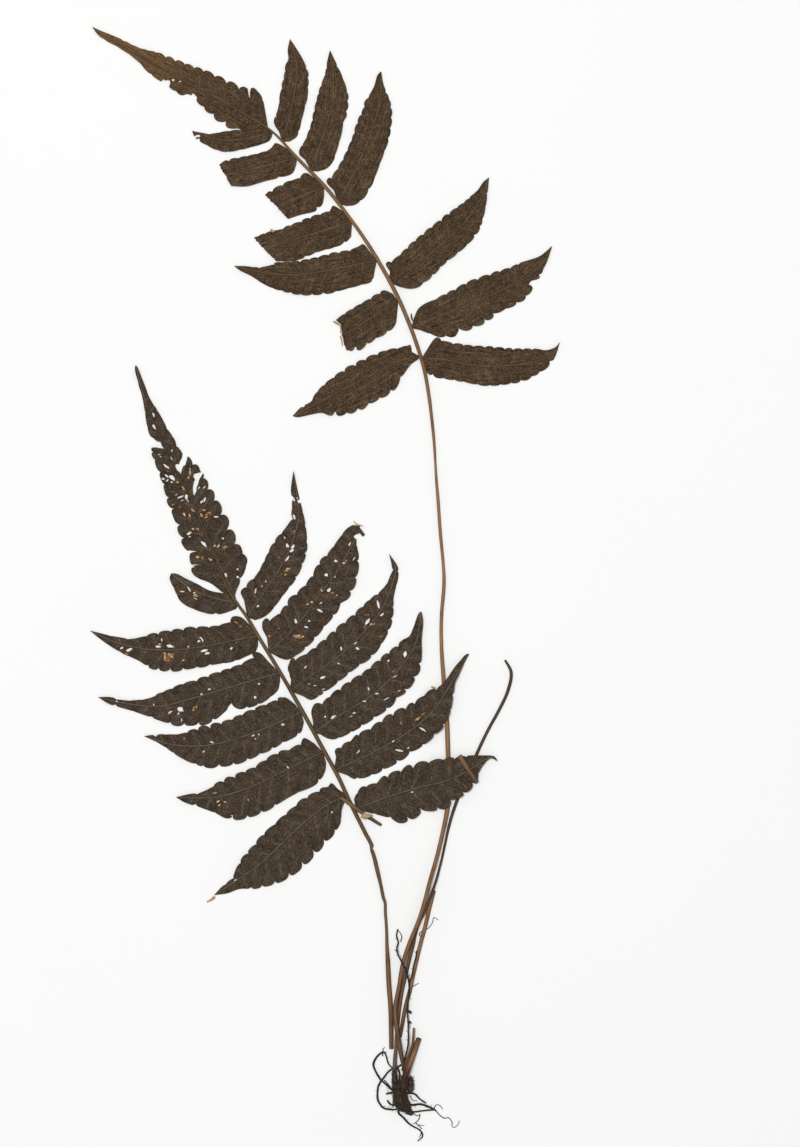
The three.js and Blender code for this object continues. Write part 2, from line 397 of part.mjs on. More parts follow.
const LOWER_PINNAE = {
  terminal: {
    costa: [
      [236, 599], [225, 575], [215, 556], [207, 535], [199, 515], [190, 490], [180, 472],
      [170, 452], [155, 425], [145, 395], [136, 365],
    ],
    front: [
      [236, 592], [240, 580], [247, 560], [241, 547], [234.5, 533], [228, 518], [221, 505],
      [214.5, 493], [208, 482], [200, 468], [189, 457], [182, 452], [175, 442], [167, 425],
      [157, 408], [150, 395], [142, 380],
    ],
    frontNotches: [
      [5.5, 0.6], [10.8, 0.15], [16, 1], [20.9, 1.8], [26.9, 1.6], [33.2, 1.6], [38.9, 1.3],
      [43.9, 1.8], [48.1, 1.7], [50.8, 0.4], [55, 0.5], [59.4, 0.6], [64.6, 0.5], [71, 0.15],
    ],
    back: [
      [222, 592], [210, 583], [196, 577], [191, 570], [189, 556], [181, 542], [177, 528],
      [172, 514], [167, 502], [164, 489], [160, 477], [155, 463], [151, 449], [158, 443],
      [151, 437], [147, 430], [145, 415], [142, 395],
    ],
    backNotches: [
      [10.9, 0.15], [16.2, 1.2], [21.2, 1.1], [27.8, 1.7], [32.9, 1.4], [40.2, 1.8], [43.9, 1.2],
      [49.9, 0.6], [53.7, 0.7], [58.6, 0.3], [61.9, 0.3], [65.9, 0.6], [69.3, 0.3], [74.4, 0.15],
      [79.7, 0.15],
    ],
  },
  left_1: {
    costa: [[239, 603], [215, 598], [190, 588], [170, 574]],
    front: [[231, 593], [225, 593.2], [209.8, 590.5], [196.7, 583.6], [184.9, 577.3]],
    frontNotches: [],
    back: [[236, 609], [218, 614.3], [199.6, 611.2], [181.2, 602], [172.1, 590.4]],
    backNotches: [[8.1, 0.15], [16.7, 0.15], [25.3, 0.6], [28, 0.15]],
  },
  left_2: {
    costa: [[258, 636], [230, 641], [200, 647], [170, 650], [140, 648], [115, 642], [90, 630.5]],
    front: [
      [249, 624], [241, 617.1], [232.8, 616.5], [226.6, 622.3], [213, 625.8], [203, 626.2],
      [191, 626.5], [176.9, 628.6], [164.9, 630.5], [152.8, 632.9], [142.8, 636.3], [134, 638.4],
      [125, 637.9], [109.9, 635.4],
    ],
    frontNotches: [
      [9.5, 0.4], [13.7, 0.15], [17.4, 0.3], [22.2, 0.7], [27.3, 0.8], [31.9, 0.7], [36.8, 0.8],
      [41.1, 0.3], [48.3, 0.15], [54.8, 0.15],
    ],
    back: [
      [258, 646], [255, 652], [245.3, 656.8], [235.3, 661.2], [213.2, 664.8], [202.3, 667.3],
      [190.1, 668.8], [177.1, 671.3], [164.9, 671.3], [149.5, 668.2], [139.4, 661.1],
      [124.4, 654.2], [111.5, 646.8], [99.6, 638.6],
    ],
    backNotches: [
      [3.6, 0.5], [10.7, 0.15], [15.6, 0.15], [20.5, 0.5], [25.5, 0.5], [30.8, 0.6], [35.9, 1.6],
      [40.4, 1.1], [44.6, 0.7], [52.4, 0.8], [56.3, 0.6],
    ],
  },
  left_3: {
    costa: [[280, 673], [250, 681], [220, 690], [190, 699], [160, 706], [130, 704], [98, 697]],
    front: [
      [268, 661], [260, 652.9], [252.7, 652.3], [246.5, 660.3], [232.8, 666.5], [222, 670.1],
      [202.8, 676.5], [192.7, 680.2], [179.7, 684.2], [169.5, 688.8], [157.4, 693.8],
      [149.7, 697.9], [125, 700.1], [110.1, 696.9],
    ],
    frontNotches: [
      [9.3, 1.5], [13.5, 0.4], [17.9, 0.3], [22, 0.6], [26.8, 0.5], [31.6, 0.6], [36.5, 0.4],
      [40.8, 0.15], [44.8, 0.15], [48, 0.15], [52.9, 0.15], [57.7, 0.15], [62.6, 0.4],
    ],
    back: [
      [280, 682], [278, 690], [270.3, 697.3], [262.4, 702.7], [252.2, 706.8], [239.9, 709.2],
      [230.2, 706.3], [225.9, 710.9], [213.7, 721.1], [203.3, 725.3], [190, 725.8], [175.9, 725.9],
      [162.8, 721.5], [139.8, 713.5], [124.8, 708.7], [109.6, 704],
    ],
    backNotches: [
      [7, 0.15], [12.5, 0.3], [17.1, 0.4], [23.2, 0.5], [32, 0.7], [38.2, 1.1], [43.5, 0.9],
      [49.1, 0.9], [56.2, 0.15], [63.4, 0.15], [70.5, 0.7],
    ],
  },
  left_4: {
    costa: [[301, 712], [275, 724], [250, 734], [220, 743], [195, 746], [170, 744], [144, 736]],
    front: [
      [295, 704], [284.1, 696.6], [278.8, 697.5], [269.7, 702.3], [259.9, 705.6], [249.8, 709.6],
      [237.6, 715.2], [226.6, 719.9], [214.7, 722.7], [201.6, 725.7], [189.7, 730], [180, 733.7],
      [156.9, 734.2],
    ],
    frontNotches: [
      [5.7, 0.3], [8.2, 0.9], [12.6, 0.4], [17.5, 0.7], [22.3, 0.5], [26.7, 0.6], [30.9, 0.8],
      [35.6, 1.4], [40.3, 0.9], [44.2, 0.3], [48.1, 0.15], [52, 0.15], [56, 0.3],
    ],
    back: [
      [304, 722], [300.3, 733.3], [290.6, 739.1], [280.6, 744.1], [270.6, 750.2], [260.5, 754.2],
      [250.5, 759.2], [237.4, 764.2], [223.1, 766.8], [208, 768.1], [195.3, 764.1], [185.4, 760.2],
      [175.4, 754.3], [165.4, 747.4], [154.9, 741.1],
    ],
    backNotches: [
      [5.6, 0.5], [12.1, 0.15], [16.6, 0.6], [21.7, 0.5], [26.9, 0.7], [32.5, 0.8], [38.1, 0.8],
      [44.3, 0.15], [47.1, 0.15], [51.8, 0.15], [56.5, 0.15], [59.6, 0.15],
    ],
  },
  left_5: {
    costa: [[323, 752], [295, 765], [270, 778], [245, 789], [215, 797], [176, 797]],
    front: [
      [314, 743], [304, 737.8], [300.8, 740.8], [289.9, 748.7], [279.9, 750.6], [271.8, 754.6],
      [261.5, 761.2], [251.7, 767.4], [239.6, 772.1], [226.6, 777.1], [216.6, 782.5],
      [209.5, 788.2], [199.7, 792.4], [189.8, 793.8],
    ],
    frontNotches: [
      [7.2, 0.8], [11.6, 0.3], [16.4, 0.4], [21.3, 0.15], [26.2, 0.6], [30.3, 0.6], [34.8, 1],
      [39.5, 0.9], [43.5, 0.3], [50, 0.15],
    ],
    back: [
      [326, 762], [325.2, 770.1], [318.8, 781.8], [310.6, 787.2], [300.5, 791.2], [290.6, 796.1],
      [280.7, 802.1], [270.5, 808.9], [250.4, 817.2], [237, 819.8], [224.6, 817.7], [217.5, 814.2],
      [202.6, 808.2], [184.6, 802.1],
    ],
    backNotches: [
      [7.8, 0.15], [16.8, 0.15], [27, 0.15], [32.8, 1.1], [38.5, 0.7], [44.6, 1.4], [51.1, 0.6],
      [59.1, 0.15],
    ],
  },
  left_6: {
    costa: [[347.3, 794.8], [325, 806], [300, 826], [280, 845], [262, 862], [240, 878], [214, 895]],
    front: [
      [338, 789], [331, 782.4], [327.8, 786.7], [321.8, 787.4], [312.8, 792.6], [302.4, 798.2],
      [293.4, 806.3], [283.4, 814.8], [273.3, 824.2], [261, 835.1], [253, 845.1], [244.2, 854.3],
      [238.2, 863.6], [231.6, 877.7], [221.7, 886.7],
    ],
    frontNotches: [
      [3.5, 0.15], [10, 0.6], [15, 0.6], [20.2, 0.5], [25.2, 0.4], [30.7, 0.4], [36.5, 0.6],
      [41.3, 0.7], [45.8, 0.7], [50.5, 0.6], [56.7, 0.6], [60.3, 0.15],
    ],
    back: [
      [344, 803], [341.6, 810], [340.6, 822.2], [333, 835.8], [328, 840.9], [317, 853.9],
      [303.8, 866.8], [292.4, 875.6], [277.2, 883.4], [268, 886], [255.1, 888.8], [240.1, 888.9],
      [227.3, 893.3],
    ],
    backNotches: [
      [6.2, 0.15], [11.3, 0.4], [17.1, 1.3], [23.1, 1.6], [29.3, 1.4], [35.9, 1.5], [42.1, 1],
      [47, 0.8], [51.3, 0.3],
    ],
  },
  right_1: {
    costa: [[247.4, 617.2], [262, 595], [277, 573], [290, 548], [298, 520], [297, 495], [293.5, 471]],
    front: [
      [244, 600], [240.7, 592], [244.4, 586.5], [249.3, 581.2], [255.7, 575.8], [266.5, 555.2],
      [271.4, 545.3], [276.6, 537.6], [281.3, 532.3], [286, 527.3], [290.2, 519.8], [291.9, 500],
      [290.9, 490],
    ],
    frontNotches: [
      [6.4, 0.2], [10.4, 0.15], [14.3, 0.15], [18.2, 0.15], [21.8, 0.3], [26.4, 0.3], [30.5, 0.4],
      [37.4, 1.1], [41.1, 0.15], [44.8, 0.6],
    ],
    back: [
      [255, 620], [263.1, 617.2], [270.6, 611.5], [283.3, 595.3], [295.5, 579.7], [300.5, 569.8],
      [303.2, 563.1], [307.1, 550], [306.3, 530], [302.9, 512], [299.5, 498.1],
    ],
    backNotches: [
      [9.2, 0.15], [13.9, 0.15], [18.5, 0.15], [23.1, 0.4], [28.6, 0.15], [32.9, 0.6], [37.2, 0.15],
      [43.3, 0.15], [48.3, 0.15],
    ],
  },
  right_2: {
    costa: [[268.6, 651.8], [290, 633], [305, 615], [320, 594], [338, 570], [352, 545], [357, 528]],
    front: [
      [267, 638], [261.6, 625], [265.5, 618.3], [274.6, 616.3], [281.5, 609.6], [288, 599.1],
      [295.1, 593], [305, 584.1], [311.9, 574.3], [319, 561.2], [328.2, 552.3], [336.1, 542.3],
      [345.2, 530.2],
    ],
    tornFront: [[353, 526]],
    frontNotches: [
      [5.3, 0.15], [10.3, 1], [14.2, 0.5], [18.5, 0.8], [24, 0.6], [28.7, 0.4], [33.1, 0.5],
      [38.3, 0.5], [42.6, 0.5], [46.7, 0.2], [52, 0.3],
    ],
    back: [
      [280, 658], [287, 659.6], [300.4, 652.5], [313.5, 640.5], [324.7, 626.8], [337.4, 612.2],
      [341.5, 603.4], [348.4, 598.4], [354.2, 588.1], [358, 573], [359.3, 558], [359.3, 541.9],
    ],
    backNotches: [
      [2.3, 0.15], [6.5, 0.15], [11.3, 0.4], [16.6, 0.4], [21.7, 0.4], [27.5, 0.5], [32.5, 0.3],
      [39.1, 1.1], [44.8, 0.7], [51.1, 0.6], [57, 0.3],
    ],
  },
  right_3: {
    costa: [
      [290, 691], [315, 673], [340, 655], [362, 634], [380, 612], [392, 585], [395.5, 568],
      [389, 553.5],
    ],
    front: [
      [291, 680], [287.8, 668], [292.6, 657.5], [302.7, 655.3], [315.2, 646], [327.1, 636],
      [335.2, 628], [347.2, 619], [357.1, 610], [366.2, 602], [377.2, 593], [384, 587.2],
      [389.8, 576.6], [391.7, 567.1],
    ],
    frontNotches: [
      [2.6, 0.15], [6.6, 0.15], [10.6, 1.6], [14.8, 0.15], [19, 0.6], [23.8, 0.7], [28.6, 1],
      [33.5, 0.6], [38.1, 0.8], [42.4, 0.5], [46, 0.15], [49.6, 0.5], [54.9, 0.15], [60.2, 0.5],
    ],
    back: [
      [303, 696], [311, 699.7], [328.8, 689.1], [340.8, 680], [355.8, 668], [371.9, 656.9],
      [384, 640.6], [390.7, 627.3], [393.2, 615], [393.8, 596.8], [398.2, 578], [398.1, 567.8],
    ],
    backNotches: [
      [6.9, 0.15], [9.2, 1.8], [15.9, 0.4], [21, 0.5], [26.3, 0.4], [32, 0.4], [37.5, 0.15],
      [43.5, 0.6], [48.3, 0.6], [52.6, 0.15], [55.3, 0.15], [60.7, 0.15], [66.1, 0.15],
    ],
  },
  right_4: {
    costa: [[313, 733], [340, 715], [365, 700], [385, 684], [402, 665], [415, 645], [421.3, 611.3]],
    front: [
      [313, 722], [311.3, 711], [314.8, 703.8], [322.6, 701.1], [335.3, 690.4], [346.6, 682.3],
      [357.5, 675.3], [367.6, 668.5], [376.6, 660.5], [387.2, 652], [395.2, 646], [402.3, 640],
      [409.1, 636.2], [412.9, 628.6], [417.3, 616], [419, 612.8],
    ],
    frontNotches: [
      [10.1, 0.5], [13.7, 0.4], [18.6, 0.7], [23.4, 0.6], [28.1, 0.6], [32.3, 0.5], [37.1, 0.6],
      [41.4, 0.8], [45.6, 0.15],
    ],
    back: [
      [320, 734], [327, 738], [335, 739.2], [350.4, 732.8], [365.7, 724.1], [377.7, 716.1],
      [390.9, 706.9], [397.9, 697.9], [407.9, 691], [413.1, 683.1], [419.3, 672.1], [421.7, 655],
      [421.5, 640], [422.9, 620],
    ],
    backNotches: [
      [7.5, 0.15], [12.9, 0.3], [17.7, 0.6], [23.3, 0.8], [29.1, 0.8], [34.5, 0.7], [39.7, 0.9],
      [45.5, 1.1], [50.9, 0.6],
    ],
  },
  right_5: {
    costa: [[333.9, 770.6], [365, 756], [390, 743], [415, 727], [435, 708], [448, 688], [469, 654]],
    front: [
      [336, 757], [335, 750], [342.9, 743.8], [351.5, 739.3], [357.3, 732.9], [367.4, 728.9],
      [379.5, 720.3], [391.9, 711.7], [403.7, 706.5], [412.7, 701.5], [423.4, 695.2],
      [429.3, 689.9], [439.3, 685.9], [446, 679.2], [451.3, 671.6], [455.7, 665.3], [459.8, 660.8],
      [464.5, 655.5], [467.7, 653.6],
    ],
    frontNotches: [
      [5.5, 0.8], [9.5, 0.15], [13.9, 0.7], [18.6, 0.6], [23.8, 0.7], [29.1, 1], [34.2, 1],
      [38.2, 1], [42.4, 0.2], [47.8, 0.3],
    ],
    back: [
      [347, 775], [355, 779.2], [375.5, 774.2], [385.6, 769.2], [402.7, 760.1], [410.8, 753.1],
      [422.8, 746.1], [436.5, 733.6], [442.7, 727.5], [449.9, 712.3], [453.3, 694.1], [455, 682.3],
      [457.8, 676.4], [461.2, 669.3], [465.3, 661],
    ],
    backNotches: [
      [4.4, 0.5], [10.2, 0.4], [15, 0.6], [21.3, 0.9], [27.1, 0.6], [32.7, 0.15], [38.5, 0.7],
      [44, 1.4], [50, 0.15], [55.6, 0.3],
    ],
  },
  right_6: {
    costa: [[355.6, 808.5], [390, 796], [420, 787], [450, 779], [475, 768], [488, 758], [498, 761]],
    front: [
      [354, 799], [357.7, 790.8], [362.6, 786.2], [376.4, 781.9], [384.3, 774.9], [399.6, 769.2],
      [411.8, 762.9], [424.9, 760.6], [439.9, 758.1], [451.9, 756.5], [470, 755], [490.3, 754.2],
    ],
    frontNotches: [
      [2.8, 0.3], [7.5, 0.15], [11.3, 0.3], [16.7, 1], [21.9, 0.9], [27.3, 1.5], [33.3, 0.8],
      [38.8, 0.5], [43.3, 0.6], [47.2, 0.2],
    ],
    back: [
      [363, 811], [371.9, 813.3], [389.5, 818.2], [399.9, 822.9], [412.4, 819.8], [424.3, 811.8],
      [436.2, 810.1], [447.7, 807.1], [453.8, 800], [465.7, 794.1], [475.9, 783.6], [480.1, 770.1],
      [485.9, 761.9],
    ],
    backNotches: [
      [4.5, 0.3], [10.6, 0.15], [18.7, 1.1], [24.6, 1.8], [30.3, 0.9], [37.1, 0.8], [42.6, 0.9],
      [47.8, 0.9], [52.1, 0.15],
    ],
  },
};

function place(x, y, height = 0) {
  return new THREE.Vector3(
    (x - MIDDLE[0]) * MM_PER_PIXEL,
    (MIDDLE[1] - y) * MM_PER_PIXEL,
    height,
  );
}

function closedGeometry(points, faces) {
  const geometry = new THREE.BufferGeometry();
  const numbers = points.flatMap((point) => [point.x, point.y, point.z]);
  geometry.setAttribute("position", new THREE.Float32BufferAttribute(numbers, 3));
  geometry.setIndex(faces.flat());
  return geometry;
}

function toSolid(geometry) {
  const bare = geometry.clone();
  bare.deleteAttribute("normal");
  bare.deleteAttribute("uv");
  const merged = mergeVertices(bare, 1e-5);
  return new wasm.Manifold(new wasm.Mesh({
    numProp: 3,
    vertProperties: merged.attributes.position.array,
    triVerts: Uint32Array.from(merged.index.array),
  }));
}

function toGeometry(solid) {
  const mesh = solid.getMesh();
  const geometry = new THREE.BufferGeometry();
  geometry.setAttribute("position", new THREE.Float32BufferAttribute(mesh.vertProperties, 3));
  geometry.setIndex(new THREE.Uint32BufferAttribute(mesh.triVerts, 1));
  geometry.computeVertexNormals();
  return geometry;
}

function join(solids) {
  return solids.reduce((whole, next) => whole.add(next));
}

// A stalk: pressed rings along a smooth curve through its way, closed at both ends.
function stalk(way, { sides = STALK_SIDES, step = STALK_STEP, grow = 0 } = {}) {
  const curve = new THREE.CatmullRomCurve3(way.map(([x, y, height]) => place(x, y, height)));
  const stretches = way.length - 1;
  const stations = [];
  for (let i = 0; i < stretches; i += 1) {
    const length = place(...way[i]).distanceTo(place(...way[i + 1]));
    const count = Math.max(1, Math.round(length / step));
    for (let k = 0; k < count; k += 1) {
      stations.push((i + k / count) / stretches);
    }
  }
  stations.push(1);
  const points = [];
  const faces = [];
  for (const t of stations) {
    const index = Math.min(Math.floor(t * stretches), stretches - 1);
    const width = THREE.MathUtils.lerp(way[index][3], way[index + 1][3], t * stretches - index);
    const tangent = curve.getTangent(t);
    const aside = new THREE.Vector3(0, 0, 1).cross(tangent).normalize();
    const upward = tangent.clone().cross(aside);
    const overrun = { 0: -grow, 1: grow }[t] ?? 0;
    const centre = curve.getPoint(t).addScaledVector(tangent, overrun);
    for (let side = 0; side < sides; side += 1) {
      const angle = (2 * Math.PI * side) / sides;
      points.push(centre.clone()
        .addScaledVector(aside, Math.cos(angle) * (width / 2 + grow))
        .addScaledVector(upward, Math.sin(angle) * ((width * PRESSED) / 2 + grow)));
    }
  }
  for (let ring = 0; ring + 1 < stations.length; ring += 1) {
    for (let side = 0; side < sides; side += 1) {
      const a = ring * sides + side;
      const b = ring * sides + ((side + 1) % sides);
      faces.push([a, b, b + sides], [a, b + sides, a + sides]);
    }
  }
  const last = (stations.length - 1) * sides;
  for (let side = 1; side + 1 < sides; side += 1) {
    faces.push([0, side + 1, side], [last, last + side, last + side + 1]);
  }
  return closedGeometry(points, faces);
}

// The edge of a blade: a smooth line through its lobe tips, cut in by one notch between two lobes.
function lobedEdge(outline, tip, inward, notches) {
  const line = new THREE.CatmullRomCurve3([...outline, tip].map(([x, y]) => place(x, y)));
  const length = line.getLength();
  const edge = [line.getPointAt(0)];
  let start = 0;
  for (const [end, depth] of notches) {
    const shoulders = end - start < LONG_LOBE ? LOBE_SHOULDERS : LONG_LOBE_SHOULDERS;
    for (const shoulder of shoulders) {
      edge.push(line.getPointAt(THREE.MathUtils.lerp(start, end, shoulder) / length));
    }
    const along = line.getTangentAt(end / length);
    edge.push(line.getPointAt(end / length).add(
      new THREE.Vector3(-along.y, along.x, 0).multiplyScalar(inward * depth),
    ));
    start = end;
  }
  const tailSteps = Math.max(3, Math.round((length - start) / TAIL_STEP));
  for (let k = 1; k < tailSteps; k += 1) {
    edge.push(line.getPointAt(THREE.MathUtils.lerp(start, length, k / tailSteps) / length));
  }
  return edge;
}

// Triangles between the midrib and one edge, taking the shorter cross line at each step.
function strip(rib, edge, points, edgeOnLeft) {
  const faces = [];
  let r = 0;
  let e = 0;
  while (r + 1 < rib.length || e + 1 < edge.length) {
    const alongRib = r + 1 < rib.length
      ? points[rib[r + 1]].distanceTo(points[edge[e]]) : Infinity;
    const alongEdge = e + 1 < edge.length
      ? points[rib[r]].distanceTo(points[edge[e + 1]]) : Infinity;
    if (alongRib < alongEdge) {
      faces.push([rib[r], rib[r + 1], edge[e]]);
      r += 1;
    } else {
      faces.push([rib[r], edge[e + 1], edge[e]]);
      e += 1;
    }
  }
  const whole = faces.filter(([a, b, c]) => a !== b && b !== c && c !== a);
  return edgeOnLeft ? whole : whole.map(([a, b, c]) => [a, c, b]);
}

// How high a blade must lie over a stalk that passes under it.
function bridgeHeight(point, under) {
  let height = 0;
  for (const way of under) {
    for (let i = 0; i + 1 < way.length; i += 1) {
      const start = place(...way[i]);
      const stretch = place(...way[i + 1]).sub(start);
      const share = THREE.MathUtils.clamp(
        ((point.x - start.x) * stretch.x + (point.y - start.y) * stretch.y)
          / (stretch.x ** 2 + stretch.y ** 2), 0, 1);
      const nearest = start.clone().addScaledVector(stretch, share);
      const away = Math.hypot(point.x - nearest.x, point.y - nearest.y);
      const top = nearest.z + (way[i][3] * PRESSED) / 2 + CLEARANCE * 2 + BLADE_THICKNESS / 2;
      const fall = THREE.MathUtils.smoothstep(away, BRIDGE_FLAT, BRIDGE_FLAT + BRIDGE_FALL);
      height = Math.max(height, top * (1 - fall));
    }
  }
  return height;
}

// One pinna: a thin blade folded up along its midrib, with its lobed edges near the ground.
function pinna(shape, under = []) {
  const costa = new THREE.CatmullRomCurve3(shape.costa.map(([x, y]) => place(x, y)));
  const ribSteps = Math.max(FEWEST_RIB_STEPS, Math.round(costa.getLength() / RIB_STEP));
  const tip = shape.costa.at(-1);
  const outline = [...shape.front, ...shape.back.toReversed()].map(([x, y]) => place(x, y));
  const frontOnLeft = THREE.ShapeUtils.area(outline) < 0;
  const ground = BLADE_THICKNESS / 2;
  const points = [];
  const add = (point, height) => {
    point.z = Math.max(height, bridgeHeight(point, under));
    points.push(point);
    return points.length - 1;
  };
  const rib = [];
  for (let i = 0; i <= ribSteps; i += 1) {
    const share = i / ribSteps;
    rib.push(add(costa.getPointAt(share), ground + COSTA_RISE * (1 - share ** 3)));
  }
  const wave = (point) => {
    const phase = (Math.PI * (point.x - EDGE_WAVE_SLANT * point.y)) / EDGE_WAVE_LENGTH;
    return EDGE_WAVE * (1 + Math.sin(phase));
  };
  const side = (edge, torn, notches, onLeft) => {
    const lobed = lobedEdge(edge, torn[0] ?? tip, onLeft ? -1 : 1, notches);
    const middle = lobed.map((point) => add(point, ground + wave(point)));
    const end = torn.map(([x, y]) => add(place(x, y), ground));
    return [rib[0], ...middle, ...end, rib.at(-1)];
  };
  const front = side(shape.front, shape.tornFront ?? [], shape.frontNotches, frontOnLeft);
  const back = side(shape.back, shape.tornBack ?? [], shape.backNotches, !frontOnLeft);
  const flat = [
    ...strip(rib, front, points, frontOnLeft),
    ...strip(rib, back, points, !frontOnLeft),
  ];
  const [left, right] = frontOnLeft ? [front, back] : [back, front];
  const loop = [...right.slice(0, -1), ...left.slice(1).reverse()];
  const count = points.length;
  const upper = points.map((point) => point.clone().setZ(point.z + BLADE_THICKNESS / 2));
  const lower = points.map((point) => point.clone().setZ(point.z - BLADE_THICKNESS / 2));
  const walls = loop.flatMap((a, i) => {
    const b = loop[(i + 1) % loop.length];
    return [[a, a + count, b + count], [a, b + count, b]];
  });
  const undersides = flat.map(([a, b, c]) => [a + count, c + count, b + count]);
  return closedGeometry([...upper, ...lower], [...flat, ...undersides, ...walls]);
}

function frond(way, pinnae, under, extras = []) {
  const blades = Object.values(pinnae).map((shape) => pinna(shape, under));
  return toGeometry(join([stalk(way), ...blades, ...extras].map(toSolid)));
}

// A pointed scale that lies along the rhizome, its free end lifted.
function rhizomeScale(centre, outward, lengthwise, { length, width, thickness }) {
  const across = lengthwise.clone().cross(outward).normalize().multiplyScalar(width / 2);
  const lift = outward.clone().multiplyScalar(thickness);
  const tip = centre.clone().addScaledVector(lengthwise, length).add(lift);
  const heel = centre.clone().addScaledVector(lengthwise, -length / 2).sub(lift);
  const points = [
    heel, tip, centre.clone().add(across), centre.clone().sub(across),
    centre.clone().add(lift), centre.clone().sub(lift),
  ];
  const faces = [
    [4, 2, 1], [4, 1, 3], [4, 3, 0], [4, 0, 2], [5, 1, 2], [5, 3, 1], [5, 0, 3], [5, 2, 0],
  ];
  return closedGeometry(points, faces);
}

// A lump of the rhizome with rows of scales round it, each row half a scale on from the last.
function scalyLump([halfX, halfY, halfZ], at, turn, rows, scalesPerRow) {
  const lump = new THREE.SphereGeometry(1, LUMP_SIDES, LUMP_RINGS);
  lump.rotateX(Math.PI / 2);
  lump.scale(halfX, halfY, halfZ);
  const scaleSize = {
    length: SCALE_LENGTH_SHARE * halfY,
    width: SCALE_WIDTH_SHARE * halfX,
    thickness: SCALE_THICKNESS_SHARE * halfX,
  };
  const pieces = [lump];
  for (let row = 0; row < rows; row += 1) {
    const along = THREE.MathUtils.lerp(...SCALED_STRETCH, row / (rows - 1));
    const girth = Math.sqrt(1 - along ** 2);
    for (let k = 0; k < scalesPerRow; k += 1) {
      const angle = ((k + (row % 2) / 2) * 2 * Math.PI) / scalesPerRow;
      const centre = new THREE.Vector3(
        Math.cos(angle) * girth * halfX, along * halfY, Math.sin(angle) * girth * halfZ);
      const outward = new THREE.Vector3(
        centre.x / halfX ** 2, centre.y / halfY ** 2, centre.z / halfZ ** 2).normalize();
      const lengthwise = new THREE.Vector3(0, 1, 0).projectOnPlane(outward).normalize();
      pieces.push(rhizomeScale(centre, outward, lengthwise, scaleSize));
    }
  }
  const centre = place(...at);
  return join(pieces.map((piece) => {
    piece.rotateZ(turn);
    piece.translate(centre.x, centre.y, centre.z);
    return toSolid(piece);
  }));
}

function largest(solid) {
  return solid.decompose().reduce((best, next) => (next.volume() > best.volume() ? next : best));
}

// The rhizome is flat where it lies on the ground, and has a socket for each stalk that enters it.
function rhizome() {
  const { x, y } = place(...RHIZOME_PLACE);
  const below = new THREE.BoxGeometry(GROUND_CUT, GROUND_CUT, GROUND_CUT);
  below.translate(x, y, -GROUND_CUT / 2);
  const body = scalyLump(RHIZOME_HALF, RHIZOME_PLACE, RHIZOME_TURN, SCALE_ROWS, SCALES_PER_ROW);
  const sideLobe = scalyLump(SIDE_LOBE_HALF, SIDE_LOBE_PLACE, 0, SIDE_LOBE_ROWS, SIDE_LOBE_SCALES);
  const roots = Object.values(ROOTS)
    .map((way) => toSolid(stalk(way, { sides: ROOT_SIDES, step: ROOT_STEP })));
  const grow = CLEARANCE / Math.cos(Math.PI / STALK_SIDES);
  const sockets = [UPPER_STALK, YOUNG_STALK, THICK_STUB, THIN_STUB]
    .map((way) => toSolid(stalk(way, { grow })));
  const grown = join([body, sideLobe, ...roots]);
  return largest(grown.subtract(join(sockets)).subtract(toSolid(below)));
}

function material(colour, roughness) {
  return new THREE.MeshStandardMaterial({ color: colour, roughness, metalness: 0 });
}

const plant = new THREE.Group();

function addMesh(name, geometry, colour, roughness) {
  const mesh = new THREE.Mesh(geometry, material(colour, roughness));
  mesh.name = name;
  plant.add(mesh);
}

addMesh("frond_upper", frond(UPPER_STALK, UPPER_PINNAE, []), "#463728", 0.8);
addMesh(
  "frond_lower",
  frond(LOWER_STALK, LOWER_PINNAE, [UPPER_STALK, YOUNG_STALK], [stalk(TORN_STALK), stalk(SLIVER)]),
  "#3c3228",
  0.8,
);
addMesh("young_stipe", stalk(YOUNG_STALK), "#41322a", 0.6);
addMesh("broken_stipe", stalk(BROKEN_STALK), "#8c6441", 0.6);
addMesh("old_stipe_thick", stalk(THICK_STUB), "#965f3c", 0.6);
addMesh("old_stipe_thin", stalk(THIN_STUB), "#8a5636", 0.6);
addMesh("rhizome", toGeometry(rhizome()), "#322319", 0.9);

export default plant;
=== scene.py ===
import math
import random

import bpy
import numpy as np
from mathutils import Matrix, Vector, noise
from mathutils.geometry import delaunay_2d_cdt


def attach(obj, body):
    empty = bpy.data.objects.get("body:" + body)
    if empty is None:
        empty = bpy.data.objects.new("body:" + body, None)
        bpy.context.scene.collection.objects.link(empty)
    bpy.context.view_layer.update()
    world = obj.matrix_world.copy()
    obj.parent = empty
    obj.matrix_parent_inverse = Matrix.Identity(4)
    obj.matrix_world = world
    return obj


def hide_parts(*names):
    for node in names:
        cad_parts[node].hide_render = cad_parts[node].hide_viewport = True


# A dried, pressed fern: two pinnate fronds, bare stipes, a scaly rhizome and wiry roots.
# The plant lies on the plane z = 0 with its frond tips toward +Y.

bl_info = {
    "name": "Pressed fern plant",
    "version": (1, 0, 0),
    "blender": (4, 5, 0),
    "location": "View3D > Sidebar > Pressed fern",
    "description": "Builds a dried, pressed fern with lobed pinnae, stipes, rhizome and roots",
    "category": "Add Mesh",
}

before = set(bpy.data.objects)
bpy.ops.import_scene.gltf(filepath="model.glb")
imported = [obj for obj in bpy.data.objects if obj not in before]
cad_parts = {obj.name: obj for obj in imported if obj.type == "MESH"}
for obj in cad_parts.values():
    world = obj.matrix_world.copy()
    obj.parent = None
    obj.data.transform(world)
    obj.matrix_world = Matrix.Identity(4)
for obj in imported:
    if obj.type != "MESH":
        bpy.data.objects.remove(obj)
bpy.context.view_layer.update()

# All working is in mm, and only the finished meshes are in metres.
METRES = 0.001
BODY = "root"

